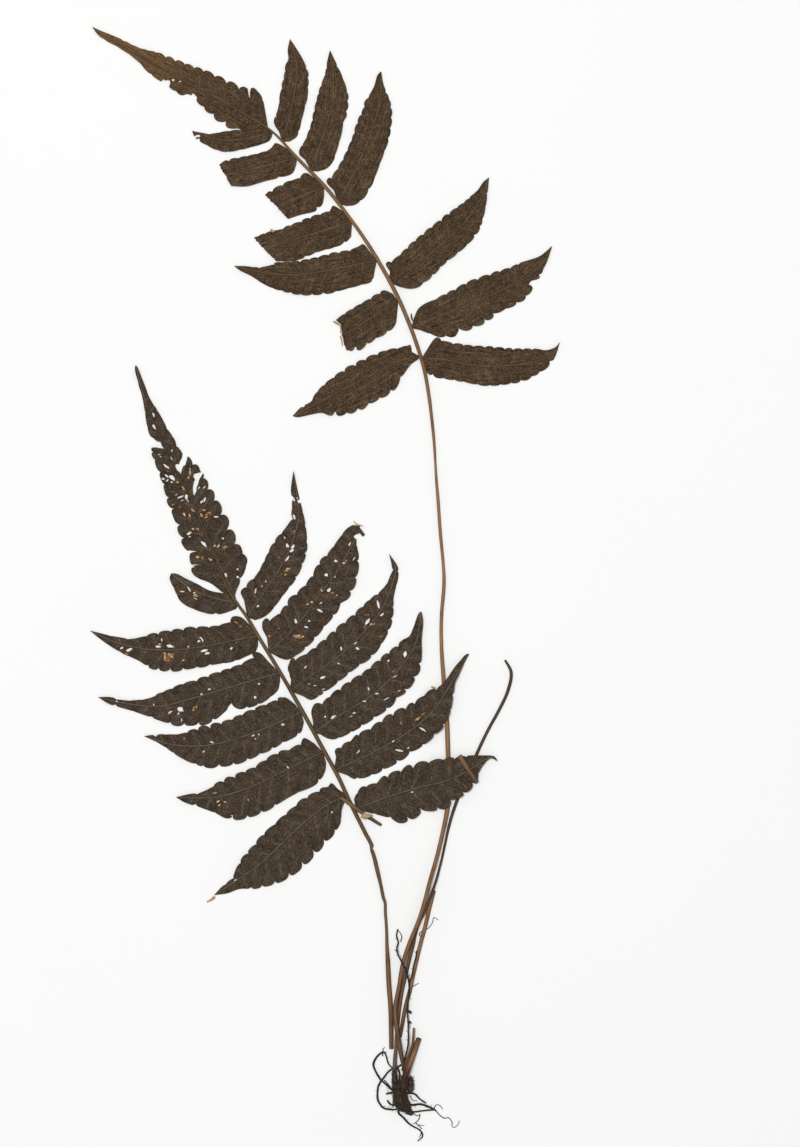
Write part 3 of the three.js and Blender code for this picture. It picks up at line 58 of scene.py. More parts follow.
# Places are read in picture pixels, x to the right and y down, from the middle of the plant.
MM_PER_PIXEL = 0.3757
MIDDLE = (325, 584.2)
VIEW_SIZE = (800, 1147)

# The blades are folded up a little along the midrib, and their edges wave above the ground.
GROUND = 0.3
COSTA_RISE = 0.4
EDGE_WAVE = 0.35
EDGE_WAVE_LENGTH = 17
EDGE_WAVE_SLANT = 2
BLADE_DROP = 0.11
LEAST_HEIGHT = 0.02

# A blade that lies over a stalk is lifted on a flat this wide, and comes down over the next stretch.
BRIDGE_FLAT = 4.5
BRIDGE_FALL = 7.5
BRIDGE_GAP = 0.9

# Lobes along the edges of the pinnae, and the veins that run to them.
USUAL_LOBE = 4.6
WIDEST_LOBE = 5.5
NOTCH_LEAN = 0.35
LOBE_SAMPLES = 16
EDGE_STEP = 0.35
LAST_NOTCH_REACH = 1.4
LAST_CROWN = 2.2
ROUND = 1.85
BLUNT = 2.5
LOBE_SPREAD = (0.85, 1.15)
TORN_STEP = 0.5
TORN_SWAY = 0.22
VEIN_SLANT = 0.6
LOBES_BEYOND = 3

# Holes have a few uneven corners and narrow ends. The mesh is finer in two haloes round each hole.
LEAST_CORNERS = 5
CORNERS_PER_PIXEL = 0.75
CORNER_SHAKE = 0.3
CORNER_REACH = (-0.34, 0.16)
FIRST_REACH = 0.1
NARROW_ENDS = 1.5
RIMMED_SHARE = 0.62
HALOES = (0.7, 1.3)

# A blade's mesh: rows of loose points, shaken a little, that keep apart from the lines in it.
ROW_HEIGHT = 0.866
SHAKE = 0.06
EDGE_GAP = 0.2
COSTA_GAP = 0.42
HOLE_GAP = 0.09
LEAST_AREA = 1e-7
COSTA_STEP = 0.45
COSTA_HALF_WIDTH = 0.26
COSTA_END = 0.985

# A blade's relief, in mm; each swell is a seed, how fast it changes, and its height.
SWELLS = ((0, 0.11, 0.16), (9, 0.75, 0.05))
RIB_WIDTH = 0.28
RIB_TAPER = 0.6
RIB_SWELL = 0.06
VEIN_WIDTH = 0.26
VEIN_ROOT = (0.2, 0.8)
SINUS_DIP = 0.1
SINUS_WIDTH = 0.5
LEAST_THICKNESS = 0.12

# Stalks are pressed: lower than they are wide.
PRESSED = 0.72

# Their sides are uneven: how fast each wave changes along a stalk and round it.
STALK_WAVES = ((0.35, 0.9), (0.08, 2.5))
GROOVE_WIDTH = 0.4
RAGGED_SCALE = 3
STALK_END = 0.12

# How the two fronds' blades look: two hues, and how strong the creases along the midrib, the streaks
# along the veins with a painted highlight on their ridges, the blotches, the dark grit with a light grain
# that is partly a painted sheen, and the pale cores of the veins are.
UPPER_LOOK = {
    "hues": ((0.95, 1.01, 0.92, 1), (1.04, 0.98, 1.1, 1)),
    "creases": 1.0, "streaks": 0.4, "mottle": 0.55, "grit_and_sheen": 0.95, "core": 0.5,
}
LOWER_LOOK = {
    "hues": ((1.02, 1.0, 0.95, 1), (0.98, 1.0, 1.05, 1)),
    "creases": 0.35, "streaks": 0.95, "mottle": 0.45, "grit_and_sheen": 0.95, "core": 0.8,
}

# The camera's sensor in mm; then the stage, in metres.
SENSOR_HEIGHT = 36
FARTHEST = 20
FLOOR_HALF = 4.0
LAMP_SIZE = 0.9
LAMP_PLACE = (-0.55, 0.65, 3.4)

# The rhizome's lumps and scales, and the hairs on the roots.
LUMP_SWELL = 0.16
LUMP_KNOBS = 0.12
SCALE_ROWS = 6
SCALE_THICKNESS = 0.06
SCALE_TAPER = 0.35
SCALE_TIP = 0.03
SCALE_ROOT = 0.2
SCALE_ARCH = 0.12
HAIR_STEP = 0.9
HAIRY_SHARE = 0.55
HAIR_END = 0.12
HAIR_WIDTH = 0.16
HAIR_TAPER = 0.08

# Their random draws, each from the least to the most.
SCALE_SIZES = (0.6, 1.1)
SCALE_ALONG = (-0.9, 0.92)
SCALE_ROUND = (-0.25, math.pi + 0.25)
SCALE_ASIDE = (-0.9, 0.9)
SCALE_UPWARD = (-0.2, 0.2)
SCALE_LENGTHS = (0.6, 1.25)
SCALE_WIDTHS = (0.7, 1.3)
SCALE_LIFT = (0.05, 0.55)
SCALE_SWAY = (-0.6, 0.6)
TONE_SHARES = (0.5, 1)
HAIR_TURNS = (0.5, 1.4)
HAIR_LENGTHS = (0.5, 1.6)
HAIR_BENDS = (-0.7, 0.7)

# A scale's lot is from nought to one, and this power of it leaves few scales pale.
FEW_PALE = 2.2

# Seeds of the random draws and of the noise.
PINNA_SEED = 500
SCRAP_SEED = 500
LUMP_SEED = 3
SCALE_SEED = 71
ROOT_SEED = 80
ROOTLET_SEED = 120
HAIR_SEED = 91
HAIR_TUBE_SEED = 300

# The rhizome's lumps: half sizes, [x, y, height in mm], turn, number of scales and their tone, from
# reddish at minus one to grey at one.
LUMPS = (
    ((2.55, 4.6, 2.4), (400.6, 1098.5, 2.3), 0.24, 300, -0.05),
    ((1.9, 3.4, 1.7), (404.2, 1103.5, 2.1), 0.45, 130, -0.6),
    ((1.0, 4.4, 1.2), (394.9, 1080.5, 1.4), 0.05, 150, 0.5),
    ((1.15, 2.9, 1.5), (409.9, 1084.4, 1.7), 0.0, 190, 1.0),
    ((1.2, 2.9, 1.1), (407.1, 1108.9, 1.2), 0.75, 70, -0.2),
    ((1.9, 2.8, 1.6), (400.5, 1089.0, 1.9), 0.0, 90, 0.1),
    ((1.3, 3.9, 1.4), (404.2, 1081.0, 3.5), -0.12, 190, -1.0),
)


# Each stalk's way from its base to its tip: [x, y, height in mm, width in mm].
UPPER_STALK = [
  [404.5, 1070, 2.3, 1.2], [402.7, 1062, 2.6, 1.4], [400.3, 1050, 2.9, 1.7], [398.4, 1038, 2.8, 1.7],
  [395.7, 1020, 2.7, 1.7], [395.2, 1007, 2.6, 1.6], [399, 985, 2.5, 1.5], [403, 962, 2.5, 1.5],
  [409.3, 942.7, 2.6, 1.5], [418.5, 920, 2.9, 1.5], [424, 902.5, 3.1, 1.5], [429.5, 881, 3, 1.4],
  [436.5, 857, 2.1, 1.4], [442.4, 833, 1.1, 1.45], [447.1, 810, 0.75, 1.75], [449, 783, 0.75, 1.75],
  [448, 757, 0.75, 1.75], [446.8, 722, 0.75, 1.75], [443.6, 680, 0.75, 1.6], [441.3, 645, 0.75, 1.3],
  [441.4, 616, 0.75, 1.25], [443.9, 583, 0.75, 1.3], [443.2, 565, 0.75, 1.1], [440.3, 534, 0.75, 1.15],
  [437.9, 500, 0.75, 1.2], [436.2, 479, 0.75, 1], [435.3, 464, 0.75, 0.85], [433.8, 440, 0.75, 1.05],
  [431, 413, 0.8, 1.15], [429.4, 400, 0.85, 1.25], [423, 365, 0.95, 1.35], [406, 316, 1, 1.5],
  [391.3, 284.5, 1, 1.5], [376.1, 257.5, 1, 1.45], [365.4, 240.5, 1, 1.35], [352.4, 221.8, 1, 1.25],
  [326, 188, 1, 1.4], [297, 158, 1, 1.2], [271.2, 131, 1.1, 0.75], [240, 112, 1.2, 0.5],
  [200, 90, 1.2, 0.42], [150, 62, 1, 0.34], [112, 40, 0.8, 0.26]]
LOWER_STALK = [
  [391.3, 1048.5, 0.75, 1.6], [391.2, 1030, 0.75, 1.7], [390.6, 1007, 0.75, 1.8], [388.9, 985, 0.75, 1.8],
  [387.9, 964, 0.75, 1.75], [386.9, 945, 0.75, 1.25], [386.5, 930, 0.75, 1.08], [385.3, 911.4, 0.75, 1.1],
  [384.9, 902, 0.75, 1.1], [383.4, 898, 0.75, 1.25], [380.8, 885.4, 0.8, 1.2], [377.2, 870, 0.8, 1.55],
  [374, 856.5, 0.8, 1.5], [372, 850.6, 0.8, 1.35], [371.2, 848.2, 0.8, 0.95], [371.7, 845.8, 0.8, 1.5],
  [365.3, 833, 0.8, 1.5], [359.4, 821.3, 0.85, 1.5], [352.8, 808, 0.9, 1.5], [345, 791.3, 1, 1.45],
  [338.4, 777, 1, 1.5], [323.6, 750, 1, 1.5], [301.7, 710, 1, 1.5], [279, 670.3, 1, 1.4],
  [257.2, 634.5, 1, 1.35], [247.6, 617.9, 1.05, 1.2], [238.2, 604.8, 1.1, 1.05], [228.2, 588.9, 1.15, 0.85],
  [221.7, 574.8, 1.2, 0.7], [213.6, 552.2, 1.2, 0.65], [206.6, 535, 1.2, 0.6], [194.2, 505.8, 1.2, 0.5],
  [183.3, 484.2, 1.2, 0.48], [172.1, 461.7, 1.1, 0.44], [165.8, 450, 1, 0.4], [147.4, 407, 0.8, 0.3]]
YOUNG_STALK = [
  [395.4, 1090, 1.9, 1.7], [394.7, 1079, 1.6, 1.8], [394.6, 1068, 1.5, 1.6], [395, 1057, 1.4, 1.45],
  [395.6, 1049, 1.3, 1.2], [396.4, 1038, 0.8, 1.45], [398.2, 1017, 0.6, 1.45], [401.3, 994, 0.6, 1.45],
  [407, 968, 0.6, 1.45], [413.2, 943, 0.6, 1.45], [416, 931, 0.85, 1.2], [419.4, 921, 1.2, 1.2],
  [424.2, 911.4, 1.65, 1.2], [427.6, 902.7, 1.85, 1.1], [431.1, 894, 1.85, 1.1], [434.1, 885.4, 1.8, 0.9],
  [436.9, 876.7, 1.5, 0.9], [441.5, 859.4, 0.9, 0.9], [445.3, 842, 0.65, 0.9], [449.6, 823, 0.6, 1.1],
  [455.6, 804, 0.6, 1.2], [477, 753, 0.6, 1.2], [488, 730, 0.6, 1.1], [500, 708, 0.6, 1.1],
  [508, 690, 0.6, 1.2], [511, 672, 0.6, 1.2], [505, 660, 0.6, 0.8]]
BROKEN_STALK = [
  [400.2, 1037, 0.6, 1.1], [401.4, 1029, 0.6, 1.4], [405.4, 1007, 0.6, 1.5], [409.7, 991, 0.6, 1.5],
  [413.1, 975, 0.6, 1.5], [420.6, 943, 0.6, 1.5], [425, 927, 0.6, 1.5], [428.6, 911, 0.6, 1.5],
  [430.8, 902, 0.6, 1.5], [434, 890.5, 0.6, 1.4]]
THICK_STUB = [
  [402.6, 1091, 3.7, 2.3], [403.8, 1081, 3.9, 2.5], [406.8, 1070, 3.4, 2.3], [411, 1059, 2.6, 2.1],
  [414.7, 1049.5, 1.7, 2], [418.9, 1037.6, 1.3, 1.85]]
THIN_STUB = [
  [403.6, 1072, 3.4, 1], [406.4, 1062, 3.1, 1], [409.8, 1052, 2.75, 1], [412.5, 1043, 2.5, 0.95],
  [413.3, 1034, 2.4, 0.85], [413.7, 1027, 2.3, 0.8]]

# A torn pinna stalk lies across the lower rachis, and a flat sliver of stalk lies on its last pinna.
TORN_STALK = [
  [340.8, 797.4, 1.5, 1.5], [347.4, 801.5, 1.8, 1.6], [353.8, 806.4, 1.95, 1.6], [362, 812.3, 1.4, 1.4],
  [371, 818.5, 0.8, 1.3], [381, 825, 0.7, 1.1]]
SLIVER = [[459.4, 755.3, 2.5, 1.9], [468, 769, 2.75, 1.8], [476.4, 782, 2.2, 1.8]]

# Roots, each from inside the rhizome to its free end.
ROOTS = {
  "left_under": [
    [399, 1083, 1.2, 0.8], [399.5, 1073, 0.7, 0.7], [397, 1067.5, 0.45, 0.7], [390.8, 1069.6, 0.45, 0.7],
    [381.7, 1080, 0.45, 0.7], [378.3, 1086, 0.45, 0.7], [377.5, 1092, 0.45, 0.7], [377.5, 1097.5, 0.45, 0.7],
    [379.2, 1102.5, 0.45, 0.7], [384.2, 1108, 0.45, 0.7], [390, 1109, 0.5, 0.7], [396, 1109, 0.6, 0.7],
    [401, 1107, 0.9, 0.7]],
  "left_loop": [
    [398, 1094, 1.6, 0.7], [392, 1089.5, 1.5, 0.7], [387, 1085, 1.35, 0.7], [380.5, 1079, 1.3, 0.7],
    [375.5, 1071, 0.6, 0.7], [373.3, 1064.5, 0.45, 0.7], [375, 1059.5, 0.45, 0.7],
    [377.5, 1055.8, 0.45, 0.7], [380.8, 1053, 0.45, 0.7], [384, 1052, 0.45, 0.7], [386.5, 1057, 0.45, 0.6],
    [388.3, 1063.3, 0.45, 0.6], [392, 1067.5, 0.45, 0.6], [396, 1070, 0.45, 0.6]],
  "left_spur": [[398, 1092, 2, 0.8], [391.5, 1092.3, 0.9, 0.8], [386, 1093.7, 0.5, 0.55]],
  "left_twig": [[398, 1098, 1.6, 0.7], [392.5, 1105, 0.6, 0.6], [387, 1100, 0.5, 0.5]],
  "long_up": [
    [402, 1070, 1.5, 0.7], [404.3, 1060, 2.3, 0.65], [408, 1044, 3, 0.6], [408.3, 1028, 2.6, 0.6],
    [407.5, 1007, 2, 0.6], [409, 985, 2.4, 0.6], [407, 973.5, 3.6, 0.6], [403, 963, 4, 0.6],
    [397.7, 953, 3.4, 0.55], [396.9, 947, 2.4, 0.5], [398.2, 942, 1.4, 0.5], [396.7, 936, 0.6, 0.5],
    [397.6, 929, 0.5, 0.45]],
  "long_branch": [
    [408.8, 982, 2.5, 0.55], [412.4, 974.7, 2, 0.5], [413.3, 966, 1.8, 0.5], [416.1, 955.5, 1.8, 0.5],
    [416.6, 950, 1.8, 0.45]],
  "right_short": [
    [405, 1092, 2.2, 0.8], [414, 1093.5, 0.6, 0.7], [420, 1099, 0.45, 0.7], [426, 1103, 0.45, 0.6]],
  "right_long": [
    [404, 1102, 2, 0.9], [412, 1104.5, 0.9, 0.8], [420, 1104, 0.45, 0.8], [430, 1107, 0.45, 0.8],
    [436.2, 1110.4, 0.4, 0.5]],
  "right_low": [
    [404, 1108, 1.6, 0.8], [413, 1111.5, 0.6, 0.7], [424, 1110.5, 0.45, 0.6], [434, 1109.7, 0.45, 0.6]],
  "down": [
    [401, 1103, 1.6, 0.8], [398.5, 1112.5, 0.6, 0.7], [403, 1117, 0.45, 0.7], [407, 1121.5, 0.45, 0.7],
    [412, 1125.5, 0.45, 0.6], [418.5, 1129, 0.45, 0.6], [422, 1132.5, 0.45, 0.5], [422.5, 1136, 0.45, 0.5],
    [420, 1139, 0.45, 0.4], [417.5, 1141, 0.45, 0.4]],
}

# Each pinna has its midrib from the rachis to the tip, and its edges from the rachis outward:
# front is the edge toward the frond's tip, back the one toward its stalk. The notches between
# the lobes of an edge are {distance along the edge: depth}, both in mm. Where a tip is torn,
# torn_front and torn_back lead from the end of an edge to the end of the midrib.
UPPER_PINNAE = {
  "terminal": {
    "costa": [[268, 128], [240, 112], [218, 98], [200, 90], [175, 76], [150, 62], [120, 44], [92, 27]],
    "front": [
      [267, 122], [265, 110], [262.3, 97.9], [254.3, 88.4], [243.1, 86.7], [230.1, 80.7], [218.1, 75.3],
      [206.1, 70.3], [187.9, 63.8], [168.9, 56.2], [158, 52.6], [140.1, 48.2], [120.2, 38.6], [100.1, 30.7]],
    "front_notches": {
      8.6: 0.32, 12.2: 0.18, 16: 1.8, 19.8: 1.8, 24.9: 1.8, 29.9: 1.4, 34.4: 1.1, 38.2: 1.1, 41.9: 0.93,
      45.7: 1.1, 49.8: 1.1, 53.5: 0.37, 56: 0.24, 59.5: 0.21, 63: 0.18, 66.5: 0.27},
    "back": [
      [262, 134], [241.9, 129.5], [227.7, 127.9], [214.4, 119.1], [204.8, 110.2], [194.9, 100.1],
      [188, 94.1], [181.9, 95.4], [175.6, 92.5], [169.5, 87.7], [159.3, 80.6], [149.2, 74], [139.2, 62.9],
      [129.4, 54.9], [119.7, 48.5], [99.6, 36.5]],
    "back_notches": {
      9.8: 0.28, 15.6: 2.3, 21.1: 1.8, 25.5: 1, 29.8: 1.7, 38.3: 0.75, 42.4: 1.9, 49.5: 0.61, 55.1: 0.18,
      60.6: 0.18, 66.2: 0.15, 71.8: 0.15}},
  "left_1": {
    "costa": [[272.7, 132.5], [245, 139], [220, 140], [192, 131]],
    "front": [[268, 128.3], [258, 129], [242, 129.4], [225.1, 131.3], [210, 133.8], [200.1, 132.5]],
    "front_notches": {10.8: 0.28, 14.3: 0.24, 18.3: 0.18, 22.3: 0.18},
    "back": [
      [271.5, 137.5], [269, 141], [260.4, 144.6], [240.2, 149.9], [226, 152], [214.8, 149.5], [204.8, 144.3],
      [196.2, 139.8]],
    "back_notches": {9.1: 0.18, 13.3: 0.18, 17.5: 0.18, 21.7: 0.26, 25.8: 0.18, 30: 1.2}},
  "left_2": {
    "costa": [[297, 158], [270, 165], [248, 170], [225, 175]],
    "front": [
      [290, 150], [275, 143.1], [271.1, 148.1], [262, 152.1], [250, 155.1], [240, 157.1], [226.1, 160.2]],
    "torn_front": [[219, 165]],
    "front_notches": {7.1: 0.18, 10.8: 0.33, 14.3: 0.27, 18.1: 0.31, 21.6: 0.45, 25.4: 0.69},
    "back": [[296, 165], [292.3, 173.3], [279.9, 177.7], [264.8, 181.2], [246.9, 186.3]],
    "torn_back": [[231, 186]],
    "back_notches": {8.9: 0.55}},
  "left_3": {
    "costa": [[324, 187], [300, 197], [277, 207]],
    "front": [[316, 179], [306, 172.9], [299, 176], [293, 180], [285, 182.1], [276, 187], [269.7, 190.6]],
    "torn_front": [[265, 195]],
    "front_notches": {7.8: 1.1, 14.7: 0.91, 19.2: 0.86},
    "back": [[324, 196], [322.1, 204.7], [315.6, 211], [300.3, 214.9]],
    "torn_back": [[288, 219]],
    "back_notches": {5.5: 1}},
  "left_4": {
    "costa": [[352, 222], [320, 232], [295, 239], [264, 249]],
    "front": [
      [344, 212], [333, 205.7], [330, 209], [324.1, 212.4], [315, 215], [305.2, 218.5], [296.2, 222.5],
      [286.9, 225.9], [279.8, 229.5]],
    "torn_front": [[270, 231], [254, 238]],
    "front_notches": {7.4: 0.82, 10.9: 0.63, 14.9: 0.87, 18.6: 0.83, 22.6: 0.56, 25.8: 0.35},
    "back": [[351, 237], [345.4, 242.7], [335.1, 247.4], [320.1, 251.3], [300.3, 259.2], [290.2, 261.3]],
    "torn_back": [[276, 261]],
    "back_notches": {3.3: 0.72, 7.8: 0.26, 10.8: 0.23, 14.9: 0.38, 18.9: 0.58}},
  "left_5": {
    "costa": [[376.5, 261.2], [350, 266], [320, 272], [290, 275], [260, 272], [234, 266]],
    "front": [
      [370, 252], [363.1, 244.2], [357.7, 246.9], [344.9, 250.5], [333, 252.3], [315, 257.3], [290.1, 261.7],
      [275.2, 262.7], [268, 266], [255, 267.3], [245.1, 266.2]],
    "front_notches": {
      9.9: 0.78, 13.8: 0.91, 18: 0.78, 21.8: 0.6, 25.2: 0.49, 28.7: 0.9, 32.1: 0.28, 35.5: 0.28, 38.9: 0.75,
      44.2: 0.36},
    "back": [
      [374.5, 272], [372.2, 281.2], [360.3, 285.3], [345.4, 289.3], [330.2, 293.6], [310, 295.4],
      [298, 294.9], [281.9, 291.3], [271.9, 288.1], [261.9, 283.1], [251.8, 276.4], [239.8, 270.4]],
    "back_notches": {
      3: 0.57, 8: 0.18, 12.9: 0.18, 17.9: 0.53, 22.9: 1, 27.1: 0.75, 31.3: 0.6, 35.4: 0.62, 38.9: 0.48,
      42.1: 0.19}},
  "left_6": {
    "costa": [[398, 302], [380, 312], [360, 325], [342, 336]],
    "front": [
      [393, 294], [383.5, 290.4], [375.1, 294.7], [366.2, 300.3], [358.2, 304.9], [349.9, 309.8],
      [342.7, 314.6]],
    "torn_front": [[336, 320], [341, 325]],
    "front_notches": {6: 1, 9.8: 0.74, 13.7: 0.39, 17.4: 0.46, 21: 0.34},
    "back": [
      [397, 315], [395.7, 323.3], [391.6, 329.5], [384.4, 334.7], [376.3, 338.5], [364.6, 347],
      [357.3, 351.3]],
    "torn_back": [[346, 350]],
    "back_notches": {7.9: 0.91, 12.9: 0.44, 16.9: 1.1, 22.3: 1.9}},
  "left_7": {
    "costa": [[421, 357], [400, 360.5], [380, 370.5], [360, 381], [340, 391], [320, 402], [292.5, 416]],
    "front": [
      [412, 352], [410.1, 344.8], [400, 347.5], [392, 348.6], [383, 351], [371.9, 354.8], [360.9, 359.8],
      [350.6, 364.9], [340.5, 371.2], [330.8, 378.7], [323, 385], [314.5, 394.7], [310.7, 401.7],
      [301.7, 406.5]],
    "front_notches": {
      4.1: 0.42, 8.1: 0.47, 12.1: 0.4, 16.1: 0.95, 21.1: 1.1, 25.5: 1.6, 30.2: 1.3, 34.7: 0.68, 39: 0.6,
      42.8: 0.25, 46.7: 0.18, 50.6: 0.68},
    "back": [
      [411, 364], [406.2, 370.2], [401.1, 378.7], [394, 390.9], [382.4, 398.2], [371.3, 403.6],
      [360.4, 410.9], [350.1, 413.8], [339, 415.9], [328.8, 415.3], [321.9, 412.8], [310.1, 414.6],
      [297, 417.2]],
    "back_notches": {6.6: 0.84, 13.3: 1.7, 18.3: 1.1, 22.7: 0.92, 27.8: 1.6, 32.3: 1.1, 36.7: 1.7}},
  "right_1": {
    "costa": [[282.2, 141.8], [290, 115], [295, 90], [297, 68], [294, 52], [290, 39]],
    "front": [
      [279, 132], [274.3, 124.2], [274.2, 116.8], [277.7, 109.9], [279.3, 97.9], [281.6, 84.9], [284.1, 75],
      [285.4, 65.8], [288.3, 59.7], [287.7, 50]],
    "front_notches": {6.8: 1, 12.2: 0.3, 17.5: 0.56, 21: 0.47, 23.8: 0.37},
    "back": [
      [290, 141.5], [296.3, 137.2], [299.5, 132.2], [301.1, 122], [304.2, 110], [307.3, 98], [308.8, 80],
      [308.2, 72.1], [303.1, 60], [296.1, 48]],
    "back_notches": {5.5: 0.72, 15.6: 0.3, 22.6: 0.37, 26: 0.58, 29.6: 0.51}},
  "right_2": {
    "costa": [[311, 171], [325, 130], [333, 100], [333, 75], [330, 50.5]],
    "front": [
      [305, 160], [299.2, 154.1], [300.6, 146.8], [304.8, 140.9], [307.8, 132.9], [310.8, 123.9],
      [313.2, 112.8], [315.2, 104.8], [319.1, 89.9], [321.6, 82.9], [324.8, 74], [327.6, 59.9]],
    "front_notches": {
      7: 0.57, 10.1: 0.18, 13.7: 0.36, 17.1: 0.51, 20.7: 0.52, 24.5: 0.36, 27.3: 0.5, 30.4: 0.48, 34.7: 0.26,
      37.4: 0.33},
    "back": [
      [318, 171.5], [327.2, 168.2], [334, 160], [337, 150], [340, 140], [344.2, 121.1], [347.1, 115],
      [348.4, 96.1], [344.3, 81.9], [340.4, 71.8], [334.5, 59.8]],
    "back_notches": {
      9.8: 0.38, 14.9: 0.26, 22.3: 0.34, 27: 0.83, 30.8: 0.69, 34.4: 0.45, 39.4: 0.18, 44.5: 0.32}},
  "right_3": {
    "costa": [[338.2, 203.6], [358, 165], [372, 130], [380, 100], [381, 71.5]],
    "front": [
      [334, 191], [326.5, 182], [328.4, 177.5], [333.4, 173.5], [340.1, 163.1], [346.8, 149.9],
      [352.3, 136.8], [354.9, 128], [358.6, 117.8], [362.5, 109.8], [364.5, 101.8], [369.5, 94.7],
      [374.3, 85.7], [377.4, 75.7]],
    "front_notches": {
      7.5: 1.4, 11.2: 0.61, 15.1: 0.59, 19: 0.46, 22.9: 0.46, 26: 0.61, 29.9: 0.68, 33.4: 0.77, 36.5: 0.67,
      40.3: 0.43},
    "back": [
      [346, 206], [354, 205.1], [362.2, 200.2], [368.1, 192.1], [372, 185], [376.9, 172], [385.1, 150],
      [389, 140], [390.9, 130], [392.2, 115], [390.5, 102.1], [387.2, 93.3], [383.5, 84.2]],
    "back_notches": {
      6.2: 0.47, 11.6: 0.68, 16.8: 0.18, 22: 0.18, 27.2: 0.18, 32.4: 0.68, 36.2: 0.58, 40.3: 0.75,
      44.2: 0.65, 47.1: 0.37, 50: 0.43}},
  "right_4": {
    "costa": [[388, 282], [420, 262], [445, 241], [465, 222], [480, 200], [489, 177.5]],
    "front": [
      [390, 272], [385.8, 264], [387.8, 261.2], [396.4, 257.1], [403.5, 250.5], [410.6, 243.6],
      [418.7, 236.6], [427.2, 229.5], [436.2, 222.5], [445.4, 214.8], [456.3, 207.4], [463.2, 202.5],
      [469.4, 197.3], [477.4, 190.5], [483.6, 181.7]],
    "front_notches": {
      6.3: 1.3, 10.1: 0.41, 13.8: 0.69, 17.7: 0.66, 21.8: 0.8, 26: 0.77, 30.2: 1.1, 34.2: 0.95, 37.8: 0.52,
      40.9: 0.47, 43.4: 0.44},
    "back": [
      [400, 287], [410, 288.8], [418.5, 287], [433.9, 275], [441.5, 266.5], [458.6, 252.7], [468.6, 243.6],
      [475.4, 236.3], [479.9, 229], [484.1, 215], [487.2, 195]],
    "back_notches": {
      9.9: 0.7, 14.3: 0.76, 18.3: 0.43, 21.9: 0.57, 26.9: 0.46, 31.6: 0.31, 36.2: 1, 40.2: 0.68, 42.9: 0.49,
      47.8: 0.18, 52.7: 0.33}},
  "right_5": {
    "costa": [[411, 328], [440, 316], [470, 304], [500, 291], [525, 278], [542, 263], [552, 246]],
    "front": [
      [414, 318], [418.1, 309], [424.8, 303.7], [434.7, 299.3], [444.6, 293.6], [454.4, 288.9],
      [464.5, 282.9], [476.6, 278], [486.8, 274.4], [497.9, 270.6], [508.8, 267.5], [519.8, 262.9],
      [529.8, 259.9], [539.8, 256.2], [546.8, 250.8]],
    "front_notches": {
      11.7: 0.29, 15.9: 0.84, 19.6: 0.75, 24.4: 1, 29.1: 1.1, 34: 1, 38.1: 0.92, 42: 0.64, 45.3: 0.44},
    "back": [
      [420, 330], [430, 334], [440, 337.2], [453.4, 337], [459.4, 333], [470.3, 329.9], [476.5, 327.1],
      [486.4, 322.7], [500.3, 312.1], [517.3, 304.5], [527.3, 297.3], [532.8, 288.1], [531.9, 281.9],
      [540.5, 277.5], [542.8, 269.9], [546.7, 261.9]],
    "back_notches": {
      4: 0.27, 10.5: 1, 16.6: 1.9, 21.9: 1.3, 27.2: 1.9, 31.2: 1.5, 35.8: 0.44, 40.6: 1.1, 45.3: 1,
      50.9: 1.3, 56: 1.1}},
  "right_6": {
    "costa": [
      [421, 359], [440, 359], [460, 363], [480, 366], [500, 366], [530, 363], [548, 357], [557, 350],
      [560, 342]],
    "front": [
      [428, 348], [434.1, 339.1], [438, 337.1], [447.2, 341.4], [456.2, 343], [467.2, 344.8], [478.1, 345.7],
      [489, 346], [500.1, 347.1], [518, 348.3], [536.1, 348.8], [546, 350.3], [555.2, 347.3]],
    "front_notches": {
      7.9: 1, 12.2: 0.76, 16: 0.58, 19.7: 0.62, 23.9: 0.83, 27.7: 0.82, 31.5: 0.78, 34.8: 0.85, 38.2: 0.71,
      41.5: 0.5},
    "back": [
      [425, 366], [428, 374], [435.9, 377.8], [444.9, 379.1], [464.8, 382.3], [484.9, 385.9], [505.1, 384.7],
      [524.1, 381.4], [536.9, 374.8], [547.6, 367.5], [554.1, 358.6]],
    "back_notches": {
      5.3: 1.3, 9.4: 0.45, 13.6: 0.47, 17.1: 0.39, 22.3: 0.41, 27.2: 0.51, 31.2: 0.49, 35.1: 0.59, 39.3: 1,
      43.8: 0.64, 47.1: 0.6, 52.9: 1}},
}
